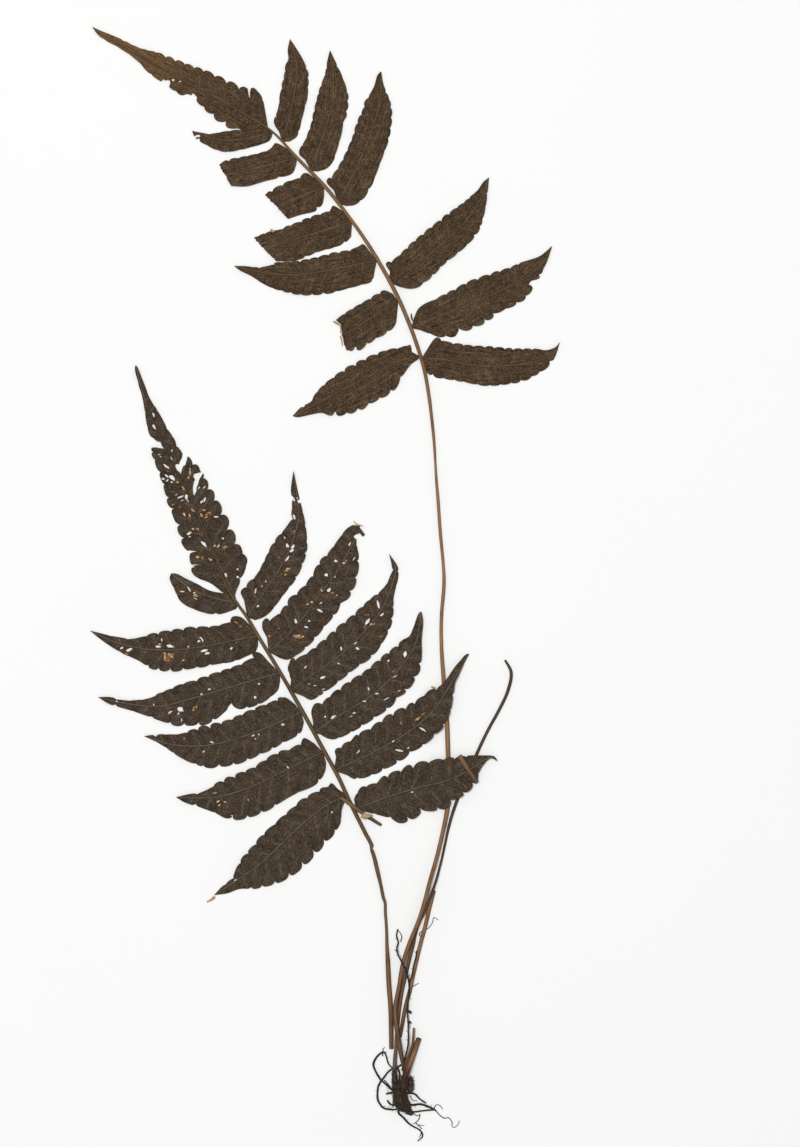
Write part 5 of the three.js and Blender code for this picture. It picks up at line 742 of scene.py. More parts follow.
# How each kind shows: the attribute, its value within the rim if that differs, its strength and its
# width outside.
MARKS = {
  HOLE: [("chewed", None, 0.5, 0.25)],
  RIMMED: [("window", 0.8, 1, 0.1), ("chewed", 0, 0.8, 0.35)],
  WINDOW: [("window", 1, 1, 0.16), ("chewed", 0, 0.7, 0.3)],
  SCAR: [("scar", 1, 1, 0.3)],
}
HOLES = {
  "lower_terminal": [
    (153.5, 414.9, 5, 2, 72), (154.5, 426.9, 5.6, 2.6, 54), (171.8, 450.6, 4.2, 1.6, -68),
    (171.3, 458.3, 4, 1.5, 60), (159.1, 454.3, 3, 1.1, 5), (160.3, 456.4, 2, 0.9, 10),
    (165.7, 465.9, 8.5, 2.2, 38), (167.4, 471.3, 1.5, 1.2, 0, WINDOW), (171.9, 477.5, 7.5, 4, 45),
    (166.5, 475.9, 5, 1.5, 42), (162.8, 478.8, 3.5, 2.4, 0), (166.9, 480.4, 3.3, 2.2, -30),
    (171.5, 482.1, 3, 1.8, 10), (177.1, 482.3, 3, 2, 0, WINDOW), (183.5, 487.9, 5.5, 1.6, 56, WINDOW),
    (175.7, 494.8, 3.8, 1.6, -30), (180.2, 497, 7.5, 2.4, -20), (186.4, 496.6, 6, 3, 75),
    (181.9, 500.3, 4, 1.3, -5), (187.7, 500.7, 3, 1.5, 50), (173, 504.5, 3.5, 1.1, -15, WINDOW),
    (179.6, 506.8, 3, 2, 0, WINDOW), (190.2, 472.1, 7, 2, 88, WINDOW), (188.3, 477.5, 2.5, 2.5, 0, RIMMED),
    (193.9, 469.7, 4, 2.5, 30, SCAR), (198.9, 487.9, 3, 1.6, -60), (203.8, 487.5, 4.5, 1.3, -40),
    (201.4, 502, 4.5, 2, -60), (204.5, 499.9, 6, 2.5, -65), (192.6, 509.6, 4, 3, 45, WINDOW),
    (184.1, 514.6, 5.5, 2.7, 62, RIMMED), (189.6, 515.3, 4.7, 1.5, 62, RIMMED),
    (203.3, 509.8, 4, 2.5, 0, WINDOW), (201.7, 514.8, 4.5, 3.2, 70, WINDOW),
    (206.8, 515.5, 8, 2.7, -65, WINDOW), (210.3, 513.7, 3.5, 1, 80, WINDOW), (215.7, 516.6, 6, 1.8, 0),
    (192.9, 528.8, 4.5, 1.6, 40, RIMMED), (197.9, 529.8, 5.5, 1.8, 38, WINDOW), (188.5, 533.5, 6, 3, -35),
    (189.5, 536.5, 3, 2, 0), (203.6, 543.9, 8.2, 3, 47), (222.7, 538.2, 2.3, 2, 0),
    (214.6, 545.9, 4.5, 1.5, -75, WINDOW), (218.5, 545.9, 5.2, 2.5, -75, RIMMED),
    (224.7, 547.6, 6, 2.6, -20, WINDOW), (196.9, 557.6, 4.8, 2.6, -20, WINDOW),
    (202.6, 557.9, 5, 1.5, 35, WINDOW), (210.6, 559.6, 5, 1.5, 35, RIMMED), (225.4, 561.6, 3, 1.2, 80, SCAR),
    (237.3, 569.1, 2, 1.8, 0), (225.7, 574.7, 5, 2.6, 70), (237.3, 577, 3, 2, 15)],
  "lower_left_1": [
    (188.8, 588.7, 6.5, 2, 58), (181.8, 591.4, 6.5, 2.2, 5, RIMMED), (194.2, 592.8, 2.6, 1.8, 0),
    (195.2, 595.1, 4, 2.8, 30, WINDOW), (195.5, 598.5, 4.8, 1.6, 25, RIMMED)],
  "lower_left_2": [
    (121.5, 647.7, 3.5, 3, -30), (128.5, 649.9, 7.5, 3.2, -15), (127, 653.8, 2.5, 1.2, 10, WINDOW),
    (161.6, 639.6, 4, 1.3, 75), (159.4, 643.9, 3, 1, 20), (157.8, 646.6, 6.5, 2.6, 0),
    (169.7, 646.1, 7.5, 3.3, 15), (168.1, 656.9, 10, 7, -30, WINDOW), (164.3, 653.1, 3, 2, 0, RIMMED),
    (173.3, 657.5, 3, 2, 60, WINDOW), (183.8, 660.2, 2.6, 2.2, 0, WINDOW), (188.2, 646.6, 2.2, 1.6, 0),
    (202.3, 639.6, 4.8, 1.4, 60), (198.5, 641, 3.5, 2, -10), (200.3, 637.5, 2.2, 1, 40),
    (203.9, 650.5, 7.5, 2.6, -12), (206.7, 653.3, 6, 2.5, -8), (231.2, 648.2, 4, 3, -45),
    (150.7, 652, 3, 2, 0, SCAR), (155, 653.2, 3, 2, 0, SCAR), (166, 638.5, 6, 2.5, 0, SCAR),
    (235.9, 622.2, 3, 0.8, 30, WINDOW), (239.7, 625.5, 3, 0.8, 50, WINDOW)],
  "lower_left_3": [
    (116.6, 701.4, 2, 1.4, 0), (153.5, 704.7, 2.8, 1, 60), (209, 689.2, 3.8, 2.2, -5),
    (201.2, 694.1, 2.7, 1.7, 10), (180, 709, 7.5, 5, 30), (178, 713.7, 3.5, 2, -50),
    (169.7, 712.3, 6.5, 1.8, -28), (181.6, 719.3, 4.3, 1.7, 85), (194.1, 709, 7, 2.6, -42, WINDOW),
    (254.9, 697, 3, 2.6, 40), (258.7, 683.5, 2.5, 2, 0)],
  "lower_left_4": [
    (184, 738.8, 4, 2.8, -30, WINDOW), (211.7, 742, 5, 1.6, 20), (203.6, 751.3, 3.4, 1.3, -45),
    (252.9, 735.6, 4.2, 1.8, -25), (255.1, 738.4, 3.2, 1.8, 60, RIMMED), (258.6, 734.1, 2.3, 1.5, 50),
    (282.6, 724.3, 3.8, 2, 10)],
  "lower_left_5": [
    (287.8, 767, 3.2, 1.5, 50), (214.6, 792.7, 3.5, 1.8, -10, WINDOW), (218, 801.4, 4, 2.4, -35, RIMMED),
    (218.9, 805.4, 3.8, 1.6, -40, RIMMED), (225, 801.6, 2, 1.5, 0, WINDOW),
    (248.3, 799.2, 3, 1.3, 60, WINDOW), (231.7, 815.5, 1.5, 1.5, 0), (250.5, 786.8, 3, 2, 0, SCAR)],
  "lower_left_6": [(331.7, 811.9, 2.6, 2, -55), (235, 880, 3, 1.5, -30)],
  "lower_right_1": [
    (294.1, 499.7, 3, 1.8, 70), (297.1, 497.7, 2.2, 1.3, 60), (294.1, 516.5, 5.5, 2.4, 65),
    (293.6, 531.8, 3.5, 2.6, 0, WINDOW), (284.6, 537.4, 3, 1.1, 65), (287.2, 545.1, 4.5, 3.2, 60),
    (292.6, 546.6, 5, 3, -60), (291.5, 550.7, 5, 3, -30), (286.9, 558.4, 7.5, 2.2, -55),
    (287.4, 569.6, 9.5, 2, -30, WINDOW), (285.9, 574.7, 2, 1.8, 0, WINDOW),
    (278.8, 557.3, 2, 1.5, 0, WINDOW), (266, 581.8, 3, 2.4, 0, WINDOW),
    (261.9, 585.9, 3.8, 2.2, -65, RIMMED), (255.3, 591, 6, 1.6, -80), (257.6, 606.3, 3.2, 2.4, -45)],
  "lower_right_2": [
    (349.7, 544.1, 5.2, 2.2, -65), (335.4, 561.2, 3.4, 3.2, 0), (343.6, 563, 3, 2, 0),
    (346.1, 560.9, 3.5, 2, -40, WINDOW), (353.8, 558.9, 4.2, 1.6, -55), (341, 551.7, 4, 3.5, 0, SCAR),
    (326.2, 574.7, 3.6, 3, 50), (334.8, 577.1, 3.6, 1.9, -62, RIMMED), (321.5, 590.6, 3.3, 2.9, 0, RIMMED),
    (328.8, 590, 5.5, 4, -55), (332, 593, 4, 1.7, 10, WINDOW), (336.5, 595.1, 2.2, 1.6, 0),
    (311.7, 601.8, 4, 3.2, 0, RIMMED), (307.2, 604.1, 2.2, 2, 0, WINDOW), (320.6, 602.9, 3.2, 1.6, -25),
    (319.8, 610.6, 6.6, 2.5, 30), (295.6, 620.8, 4.8, 3.1, 75), (309, 620.7, 3, 2.2, 15),
    (305.7, 626.8, 4.5, 2.3, 5), (298.3, 636.8, 10, 3.6, 0, WINDOW), (279, 628, 2.5, 1.5, 0, WINDOW),
    (269, 636, 2.5, 1.5, 0, WINDOW)],
  "lower_right_3": [
    (378.2, 604.2, 8, 2.7, 75), (381.8, 614.5, 5.3, 2.5, -35), (367, 614.9, 4, 2.2, 0, WINDOW),
    (367, 621.6, 8, 3.8, -60), (365, 626.5, 4, 1.3, -50, WINDOW), (372, 624.1, 5.4, 1.3, -20, WINDOW),
    (341, 648.3, 4, 1.9, 82), (355.4, 643.1, 4.8, 1.3, -38), (357, 648.1, 4.7, 2.6, 22),
    (338.4, 663.3, 3.4, 1.3, 24), (305.3, 667.1, 4.5, 2, -50), (322.6, 677.4, 6, 2.1, -17),
    (322.9, 688.8, 4.6, 1.6, -10), (314.9, 685.4, 4, 0.9, -5), (308.6, 683.7, 2.2, 0.9, 0, WINDOW),
    (381.3, 635.9, 4, 1.3, -10, WINDOW)],
  "lower_right_4": [
    (404.9, 654.1, 6.5, 3.2, -78), (387.9, 660.7, 3.2, 2.3, -60), (394.2, 671.1, 5, 2.2, -50, WINDOW),
    (394.6, 676.5, 8.6, 1.4, -28, RIMMED), (368.3, 688.4, 4, 1.8, 63), (376.3, 693.4, 4.8, 1.7, 5),
    (398.7, 690.7, 5.2, 1.9, -24, RIMMED), (386.4, 698.6, 7.8, 1.3, -27), (364.3, 700.9, 3.8, 1.8, -10),
    (353.9, 712.7, 3.8, 1.7, 0), (351, 716.3, 3.3, 1.3, -10), (324.9, 716.7, 3.2, 2.2, -75),
    (333.1, 717.1, 7.8, 2.8, -36)],
  "lower_right_5": [
    (427.3, 706.1, 1.5, 1.3, 0, WINDOW), (423.2, 713.7, 3.5, 2, -40, WINDOW),
    (417.5, 718.7, 6.3, 2.4, -33, WINDOW), (401.2, 722.9, 2.6, 1.5, -60, WINDOW),
    (422.6, 729.2, 8.5, 1.8, 35), (392.5, 741.4, 3.8, 1.8, -25), (358.1, 751.5, 6, 1.9, -48),
    (398.8, 750.2, 8.4, 1.8, 10), (407.9, 747.9, 2.2, 2.1, 0), (434.8, 733.7, 1.5, 1.3, 0)],
  "lower_right_6": [(411.8, 791.8, 3.8, 1.7, -10)],
  "upper_terminal": [
    (173, 80, 3, 2.2, 20), (179.8, 81.4, 4.4, 1.6, -20), (206.5, 76.4, 4.5, 2.2, 25, SCAR),
    (218.4, 79.7, 4, 2, 25, SCAR), (204.3, 103.5, 4, 2, 30, SCAR)],
  "upper_left_4": [(270, 231, 4, 2, 20, WINDOW)],
}

# Pieces bitten out of the edges, each a closed line of [x, y].
BITES = {
  "lower_terminal": [
    [
      [146, 435.5], [149.5, 436.1], [153.7, 439.4], [157, 441.5], [160.7, 441.9], [161.7, 445.6],
      [164, 448.5], [159.9, 448.1], [155.8, 447.3], [152.4, 447.7], [150, 445.2], [146, 445]],
    [
      [192, 449], [182.7, 453.1], [181.9, 458], [179.8, 461.4], [179, 464.3], [175.7, 463.8], [175.2, 466.3],
      [177.3, 470.5], [179.8, 472.1], [180.6, 474.6], [181.5, 471.3], [183.1, 466.3], [185.2, 465.1],
      [186.4, 461.4], [187.3, 458], [187.5, 454.5], [192, 453]],
    [
      [208, 472], [203, 473.4], [201.8, 475.5], [199.3, 479.6], [198, 484.6], [196.4, 487.9], [196.8, 490.8],
      [194.3, 495.4], [193.1, 493.7], [192.7, 487.9], [193.9, 481.3], [195.1, 479.6], [193.1, 476.3],
      [193.9, 473.8], [197.2, 473], [200.9, 472.1], [203, 467]],
    [[185, 551], [190, 550.4], [197.5, 551.4], [190, 552.6], [185, 554]],
    [[186, 565], [193, 564.4], [202, 563.8], [193.6, 565.8], [187, 567]],
  ],
  "lower_right_1": [
    [[297.1, 500.2], [298.5, 503.3], [303, 502], [302, 498.8]],
  ],
  "lower_right_2": [
    [[354.3, 537.8], [353.6, 536], [355.4, 534.6], [358.6, 533.6], [362, 535], [361, 540], [357, 539.6]],
  ],
  "upper_terminal": [
    [[247, 86], [249, 97.5], [250, 97.5], [250.2, 86]],
    [
      [157, 85], [163.4, 79.2], [165.5, 80.6], [167.4, 79.9], [169.8, 80.4], [170.5, 83.5], [169.2, 87.2],
      [165, 92], [158, 89]],
    [[193, 93], [197, 97.3], [193.4, 100.6], [189, 98]],
  ],
  "upper_left_1": [
    [
      [190, 140], [193.4, 137.4], [195.6, 135.4], [198.6, 134.7], [200.7, 136], [199.4, 137.2], [197, 137],
      [195.2, 139], [192, 142]],
  ],
}




def paint(red, green, blue):
    """A colour of 0 to 255 steps, as the linear values that Blender's sockets hold."""
    steps = (red / 255, green / 255, blue / 255)
    linear = [s / 12.92 if s <= 0.04045 else ((s + 0.055) / 1.055) ** 2.4 for s in steps]
    return (*linear, 1.0)


def colour(name, description, default):
    """A colour property with its alpha."""
    return bpy.props.FloatVectorProperty(
        name=name, description=description, default=default, subtype="COLOR", size=4, min=0, max=1)


def length(name, description, default):
    """A length property in metres, from a default in mm."""
    return bpy.props.FloatProperty(
        name=name, description=description, default=default * METRES, min=0, unit="LENGTH", precision=5)


class BladeSettings(bpy.types.PropertyGroup):
    """Sizes and colours of the pinnae."""
    notch_share: bpy.props.FloatProperty(
        name="Notch depth", description="Depth of the notches as a share of the listed one",
        default=1, min=0, max=3)
    hole_growth: length("Hole growth", "How much longer and wider a hole is than its bright part", 0.22)
    thickness: length("Thickness", "Thickness of a dried blade", 0.22)
    costa_rise: length("Midrib rise", "How far a midrib stands proud of its blade", 0.2)
    vein_rise: length("Vein rise", "How far a side vein stands proud of its blade", 0.06)
    grain: length("Mesh step", "Distance between two points of a blade's mesh", 0.5)
    upper_colour: colour("Upper blades", "Dried tissue of the upper frond", paint(75, 59, 43))
    upper_vein: colour("Upper veins", "Side veins of the upper frond", paint(122, 100, 76))
    # The light grain colours are partly the tissue's own grain and partly a painted sheen.
    upper_dust: colour("Upper grain", "Light grain on the upper blades", paint(122, 106, 84))
    lower_dust: colour("Lower grain", "Light grain on the lower blades", paint(110, 100, 86))
    lower_colour: colour("Lower blades", "Dried tissue of the lower frond", paint(69, 57, 46))
    lower_vein: colour("Lower veins", "Side veins of the lower frond", paint(112, 102, 88))
    rim_colour: colour("Hole rims", "Thin tissue round an insect hole", paint(150, 100, 54))
    window_colour: colour("Thin windows", "Tissue eaten to its last skin", paint(216, 188, 146))


class StalkSettings(bpy.types.PropertyGroup):
    """Sizes and colours of the stalks."""
    sides: bpy.props.IntProperty(
        name="Sides", description="Points round a stalk", default=16, min=6, max=48)
    step: length("Ring step", "Distance between two rings of a stalk", 0.8)
    upper_rachis: colour("Upper rachis", "Midrib of the upper frond", paint(130, 97, 62))
    upper_stipe: colour("Upper stipe", "Bare stalk of the upper frond", paint(148, 110, 74))
    lower_rachis: colour("Lower rachis", "Midrib of the lower frond", paint(98, 79, 48))
    lower_stipe: colour("Lower stipe", "Bare stalk of the lower frond", paint(104, 76, 50))
    young: colour("Young stipe", "The dark leafless stipe", paint(70, 55, 43))
    broken: colour("Broken stipe", "The stipe cut at its upper end", paint(126, 92, 60))
    thick_stub: colour("Thick stub", "The thick old stipe stub", paint(134, 98, 70))
    thin_stub: colour("Thin stub", "The thin old stipe stub", paint(120, 72, 46))
    straw: colour("Sliver", "The flat sliver of stalk", paint(134, 103, 75))


class RhizomeSettings(bpy.types.PropertyGroup):
    """Sizes and colours of the rhizome and the roots."""
    scales: bpy.props.FloatProperty(
        name="Scales", description="Share of the listed numbers of scales on the rhizome's lumps",
        default=1, min=0, max=4)
    scale_length: length("Scale length", "Length of a scale", 2.0)
    scale_width: length("Scale width", "Width of a scale", 0.4)
    body_colour: colour("Rhizome", "Skin of the rhizome under its scales", paint(44, 32, 24))
    scale_colour: colour("Scales", "Dry scales", paint(46, 37, 26))
    bloom_colour: colour("Young scales", "Greyer scales round the growing tip", paint(92, 82, 86))
    root_colour: colour("Roots", "Wiry roots", paint(36, 27, 22))


class StageSettings(bpy.types.PropertyGroup):
    """The camera, the lights and the floor."""
    lens: bpy.props.FloatProperty(
        name="Lens", description="Focal length in mm", default=100, min=20, max=300)
    lamp_power: bpy.props.FloatProperty(
        name="Lamp", description="Power of the soft light from above, a little to the upper left",
        default=75, min=0, unit="POWER")
    sky: bpy.props.FloatProperty(
        name="Sky", description="Brightness of the light from all round", default=0.4, min=0)
    floor_colour: colour("Floor", "The plain pale floor", (0.985, 0.985, 0.98, 1))


# Working with places and lines.

def place(x, y):
    """A place read in picture pixels, in mm from the middle of the plant."""
    return ((x - MIDDLE[0]) * MM_PER_PIXEL, (MIDDLE[1] - y) * MM_PER_PIXEL)


def places_of(pixels):
    """Places read in picture pixels, each in mm."""
    return [place(*p) for p in pixels]


def closed(loop):
    """A closed line with its first point once more at its end."""
    return np.vstack([loop, loop[:1]])


def leftward(heading):
    """The direction to the left of a heading."""
    return np.array([-heading[1], heading[0]])


def route(way):
    """A stalk's way in mm, as rows of x, y, height and width."""
    return np.array([(*place(x, y), height, width) for x, y, height, width in way], float)


def smooth(points, step):
    """Points about a step apart on a centripetal curve; widths after x, y, z change evenly."""
    points = np.asarray(points, float)
    size = min(points.shape[1], 3)
    p = points[:, :size]
    ends = (2 * p[:1] - p[1:2], 2 * p[-1:] - p[-2:-1])
    p = np.vstack([ends[0], p, ends[1]])
    rows = []
    for i in range(len(points) - 1):
        p0, p1, p2, p3 = p[i:i + 4]
        d0, d1, d2 = (max(np.linalg.norm(b - a), 1e-6) ** 0.5 for a, b in ((p0, p1), (p1, p2), (p2, p3)))
        t1 = ((p1 - p0) / d0 - (p2 - p0) / (d0 + d1) + (p2 - p1) / d1) * d1
        t2 = ((p2 - p1) / d1 - (p3 - p1) / (d1 + d2) + (p3 - p2) / d2) * d1
        count = max(1, round(np.linalg.norm(p2 - p1) / step))
        t = (np.arange(count) / count)[:, None]
        place_on = p1 + t1 * t + (3 * (p2 - p1) - 2 * t1 - t2) * t ** 2 + (2 * (p1 - p2) + t1 + t2) * t ** 3
        rest = points[i, size:] + (points[i + 1, size:] - points[i, size:]) * t
        rows.append(np.hstack([place_on, rest]))
    rows.append(points[-1:])
    return np.vstack(rows)


class Line:
    """A smooth line in the plane, measured along its length."""

    def __init__(self, points, step=0.2):
        self.points = smooth(points, step)
        stretches = np.hypot(*np.diff(self.points, axis=0).T)
        self.along = np.concatenate([[0], np.cumsum(stretches)])
        self.length = self.along[-1]

    def at(self, share):
        """The place at a share of the length."""
        way = np.clip(share, 0, 1) * self.length
        return np.array([np.interp(way, self.along, column) for column in self.points.T])

    def heading(self, share):
        """The direction of the line at a share of its length."""
        step = self.at(min(share + 0.004, 1)) - self.at(max(share - 0.004, 0))
        return step / max(np.hypot(*step), 1e-9)


def nearest(points, line):
    """For each point: distance to a line, distance along it, along it past its ends, and its side."""
    start, step = line[:-1], np.diff(line, axis=0)
    lengths = np.maximum(np.hypot(*step.T), 1e-9)
    before = np.concatenate([[0], np.cumsum(lengths)[:-1]])
    away = points[:, None, :] - start[None]
    share = (away * step).sum(2) / lengths ** 2
    held = np.clip(share, 0, 1)
    gap = away - held[..., None] * step
    distance = np.hypot(gap[..., 0], gap[..., 1])
    best = distance.argmin(1)
    rows = np.arange(len(points))
    along = before[best] + held[rows, best] * lengths[best]
    loose = np.where(best == 0, np.minimum(share[:, 0], 1), held[rows, best])
    loose = np.where(best == len(step) - 1, np.maximum(share[:, -1], loose), loose)
    past = before[best] + loose * lengths[best]
    near = away[rows, best]
    side = np.sign(step[best, 0] * near[:, 1] - step[best, 1] * near[:, 0])
    return distance[rows, best], along, past, side


def inside(points, loop):
    """Which points lie inside a closed line."""
    x, y = points[:, 0], points[:, 1]
    ax, ay = loop[:, :1], loop[:, 1:]
    bx, by = np.roll(ax, -1, 0), np.roll(ay, -1, 0)
    crosses = (ay > y) != (by > y)
    rise = np.where(by == ay, 1e-12, by - ay)
    return ((crosses & (x < ax + (y - ay) * (bx - ax) / rise)).sum(0) % 2) == 1


def bump(distance, width):
    """A rounded ridge: one on its line, and almost nothing beyond twice its width."""
    return np.exp(-(distance / width) ** 2)


def ease(value, low, high):
    """A soft step from nought at low to one at high."""
    share = np.clip((value - low) / (high - low), 0, 1)
    return share * share * (3 - 2 * share)


def grain_of(points, scale, seed):
    """Smooth noise at places in mm."""
    return np.array([noise.noise(Vector((x * scale, y * scale, seed))) for x, y in points])


# Meshes.

def add_piece(name, points, faces, material, node, slot, attributes=None, soft_angle=50):
    """Make an object of points in mm that stands for a node and takes the given finish; the slot is not used.
    """
    mesh = bpy.data.meshes.new(name)
    mesh.from_pydata((np.asarray(points) * METRES).tolist(), [], faces)
    for key, values in (attributes or {}).items():
        values = np.asarray(values, np.float32)
        kind = "FLOAT" if values.ndim == 1 else "FLOAT_VECTOR"
        layer = mesh.attributes.new(key, kind, "POINT")
        layer.data.foreach_set("value" if values.ndim == 1 else "vector", values.ravel())
    mesh.shade_smooth()
    mesh.set_sharp_from_angle(angle=math.radians(soft_angle))
    mesh.validate()
    mesh.materials.append(material)
    piece = bpy.data.objects.new(name, mesh)
    bpy.context.scene.collection.objects.link(piece)
    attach(piece, BODY)
    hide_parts(node)
    return piece


def bands(rings, sides):
    """The faces between rings of points that follow one another."""
    faces = []
    for ring in range(rings - 1):
        for side in range(sides):
            a, b = ring * sides + side, ring * sides + (side + 1) % sides
            faces.append((a, b, b + sides, a + sides))
    return faces


def fan(start, sides, middle, onward):
    """The faces from a ring of points to one point at its middle."""
    faces = []
    for side in range(sides):
        a, b = start + side, start + (side + 1) % sides
        faces.append((a, b, middle) if onward else (b, a, middle))
    return faces


def tube(way, sides, step, seed, groove=0.0, rough=0.04, pressed=PRESSED, ragged=0.0):
    """A pressed stalk along a way: its points, faces and the attributes that its finish reads."""
    line = smooth(way, step)
    places = line[:, :3]
    heading = np.gradient(places, axis=0)
    heading /= np.linalg.norm(heading, axis=1)[:, None]
    aside = np.cross([0, 0, 1], heading)
    aside /= np.linalg.norm(aside, axis=1)[:, None]
    upward = np.cross(heading, aside)
    travelled = np.concatenate([[0], np.cumsum(np.linalg.norm(np.diff(places, axis=0), axis=1))])
    points, around, along = [], [], []
    angles = 2 * math.pi * np.arange(sides) / sides
    for ring in range(len(line)):
        for angle in angles:
            c, s = math.cos(angle), math.sin(angle)
            uneven = sum(
                noise.noise(Vector((travelled[ring] * lengthwise, c * round_it + seed, s * round_it)))
                for lengthwise, round_it in STALK_WAVES)
            half = line[ring, 3] / 2 * (1 + rough * uneven)
            half *= 1 - groove * math.exp(-((angle - math.pi / 2) / GROOVE_WIDTH) ** 2)
            offset = aside[ring] * (c * half) + upward[ring] * (s * half * pressed)
            pull = 0.0
            if ragged and ring in (0, len(line) - 1):
                pull = ragged * noise.noise(Vector((c * RAGGED_SCALE, s * RAGGED_SCALE, seed + ring)))
            points.append(places[ring] + offset + heading[ring] * pull)
            around.append((c, s, travelled[ring]))
            along.append(travelled[ring] / travelled[-1])
    faces = bands(len(line), sides)
    for ring, outward in ((0, -1), (len(line) - 1, 1)):
        faces += fan(ring * sides, sides, len(points), outward > 0)
        points.append(places[ring] + heading[ring] * (STALK_END * line[ring, 3] * outward))
        around.append((0, 0, travelled[ring]))
        along.append(travelled[ring] / travelled[-1])
    points = np.array(points)
    points[:, 2] = np.maximum(points[:, 2], LEAST_HEIGHT)
    return points, faces, {"around": np.array(around), "along": np.array(along)}


def gather(parts):
    """Several meshes as one: their points, faces and attributes one after the other."""
    points, faces, attributes = [], [], {}
    start = 0
    for part_points, part_faces, part_attributes in parts:
        points.append(part_points)
        faces += [tuple(i + start for i in face) for face in part_faces]
        for key, values in part_attributes.items():
            attributes.setdefault(key, []).append(values)
        start += len(part_points)
    return np.vstack(points), faces, {key: np.concatenate(v) for key, v in attributes.items()}


# Pinnae.

def lobed_edge(places, end, inward, notches, share_of_depth, bluntness, draw):
    """An edge with rounded lobes and narrow sinuses, and the middle of each lobe on the smooth line."""
    line = Line([*places, end])
    edge, crowns = [], []
    start, before = 0.0, 0.0
    for stop, measured in notches.items():
        after = measured * share_of_depth
        roundness = bluntness * draw.uniform(*LOBE_SPREAD)
        crowns.append(line.at((start + stop) / 2 / line.length))
        width = stop - start
        samples = max(LOBE_SAMPLES, round(width / EDGE_STEP))
        for k in range(samples):
            s = 0.5 - 0.5 * math.cos(math.pi * k / samples)
            depth = before if s < 0.5 else after
            from_notch = abs(s - (0 if s < 0.5 else 1))
            reach = min(1, 2 * from_notch * width / min(width, WIDEST_LOBE))
            inset = depth * (1 - (1 - (1 - reach) ** roundness) ** (1 / roundness))
            share = (start + width * s) / line.length
            along = line.heading(share)
            edge.append(line.at(share) + leftward(along) * inward * inset - along * (NOTCH_LEAN * inset))
        start, before = stop, after
    left = line.length - start
    steps = max(6, round(left / EDGE_STEP))
    for k in range(steps):
        inset = before * max(0, 1 - (left * k / steps) / LAST_NOTCH_REACH) ** 2
        share = (start + left * k / steps) / line.length
        edge.append(line.at(share) + leftward(line.heading(share)) * inward * inset)
    crowns.append(line.at((start + min(LAST_CROWN, left / 2)) / line.length))
    return edge, np.array(crowns), line.points


def torn_line(places, draw):
    """A torn end: a line through places with small steps in it."""
    line = []
    for a, b in zip(places[:-1], places[1:]):
        a, b = np.array(a), np.array(b)
        count = max(2, round(np.hypot(*(b - a)) / TORN_STEP))
        across = np.array([a[1] - b[1], b[0] - a[0]]) / max(np.hypot(*(b - a)), 1e-9)
        for k in range(count):
            sway = draw.uniform(-TORN_SWAY, TORN_SWAY) if k else 0
            line.append(a + (b - a) * k / count + across * sway)
    return line


def hole_loop(x, y, long, wide, turn, draw, grow=0.0):
    """The rim of a hole: a few uneven corners, its ends narrow."""
    middle = np.array(place(x, y))
    half = ((long * MM_PER_PIXEL + grow) / 2, (wide * MM_PER_PIXEL + grow) / 2)
    angle = -math.radians(turn)
    count = max(LEAST_CORNERS, round((long + wide) * CORNERS_PER_PIXEL))
    rim = []
    for k in range(count):
        t = 2 * math.pi * (k + (draw.uniform(-CORNER_SHAKE, CORNER_SHAKE) if k else 0)) / count
        reach = 1 + (draw.uniform(*CORNER_REACH) if k else FIRST_REACH)
        u = half[0] * reach * math.cos(t)
        v = half[1] * reach * math.copysign(abs(math.sin(t)) ** NARROW_ENDS, math.sin(t))
        rim.append(middle + (u * math.cos(angle) - v * math.sin(angle),
                             u * math.sin(angle) + v * math.cos(angle)))
    return np.array(rim)


def bridge(points, stalks):
    """How high a blade must lie over the stalks that pass under it."""
    height = np.zeros(len(points))
    for way in stalks:
        for a, b in zip(way[:-1], way[1:]):
            stretch = b[:2] - a[:2]
            share = np.clip(((points - a[:2]) @ stretch) / (stretch @ stretch), 0, 1)
            near = a[:3] + share[:, None] * (b - a)[:3]
            away = np.hypot(*(points - near[:, :2]).T)
            top = near[:, 2] + a[3] * PRESSED / 2 + BRIDGE_GAP
            height = np.maximum(height, top * (1 - ease(away, BRIDGE_FLAT, BRIDGE_FLAT + BRIDGE_FALL)))
    return height


def connected(triangles):
    """The largest group of triangles that share edges."""
    parent = list(range(len(triangles)))

    def root(i):
        while parent[i] != i:
            parent[i] = parent[parent[i]]
            i = parent[i]
        return i

    first = {}
    for index, (a, b, c) in enumerate(triangles):
        for edge in ((a, b), (b, c), (c, a)):
            key = (min(edge), max(edge))
            if key in first:
                parent[root(index)] = root(first[key])
            else:
                first[key] = index
    roots = [root(i) for i in range(len(triangles))]
    sizes = {}
    for r in roots:
        sizes[r] = sizes.get(r, 0) + 1
    best = max(sizes, key=sizes.get)
    return [t for t, r in zip(triangles, roots) if r == best]


def front_is_left(shape):
    """Whether a pinna's front edge lies on the left of its midrib."""
    loop = np.array(places_of(shape["front"]) + places_of(shape["back"])[::-1])
    ahead = np.roll(loop, -1, 0)
    return np.sum(loop[:, 0] * ahead[:, 1] - ahead[:, 0] * loop[:, 1]) < 0


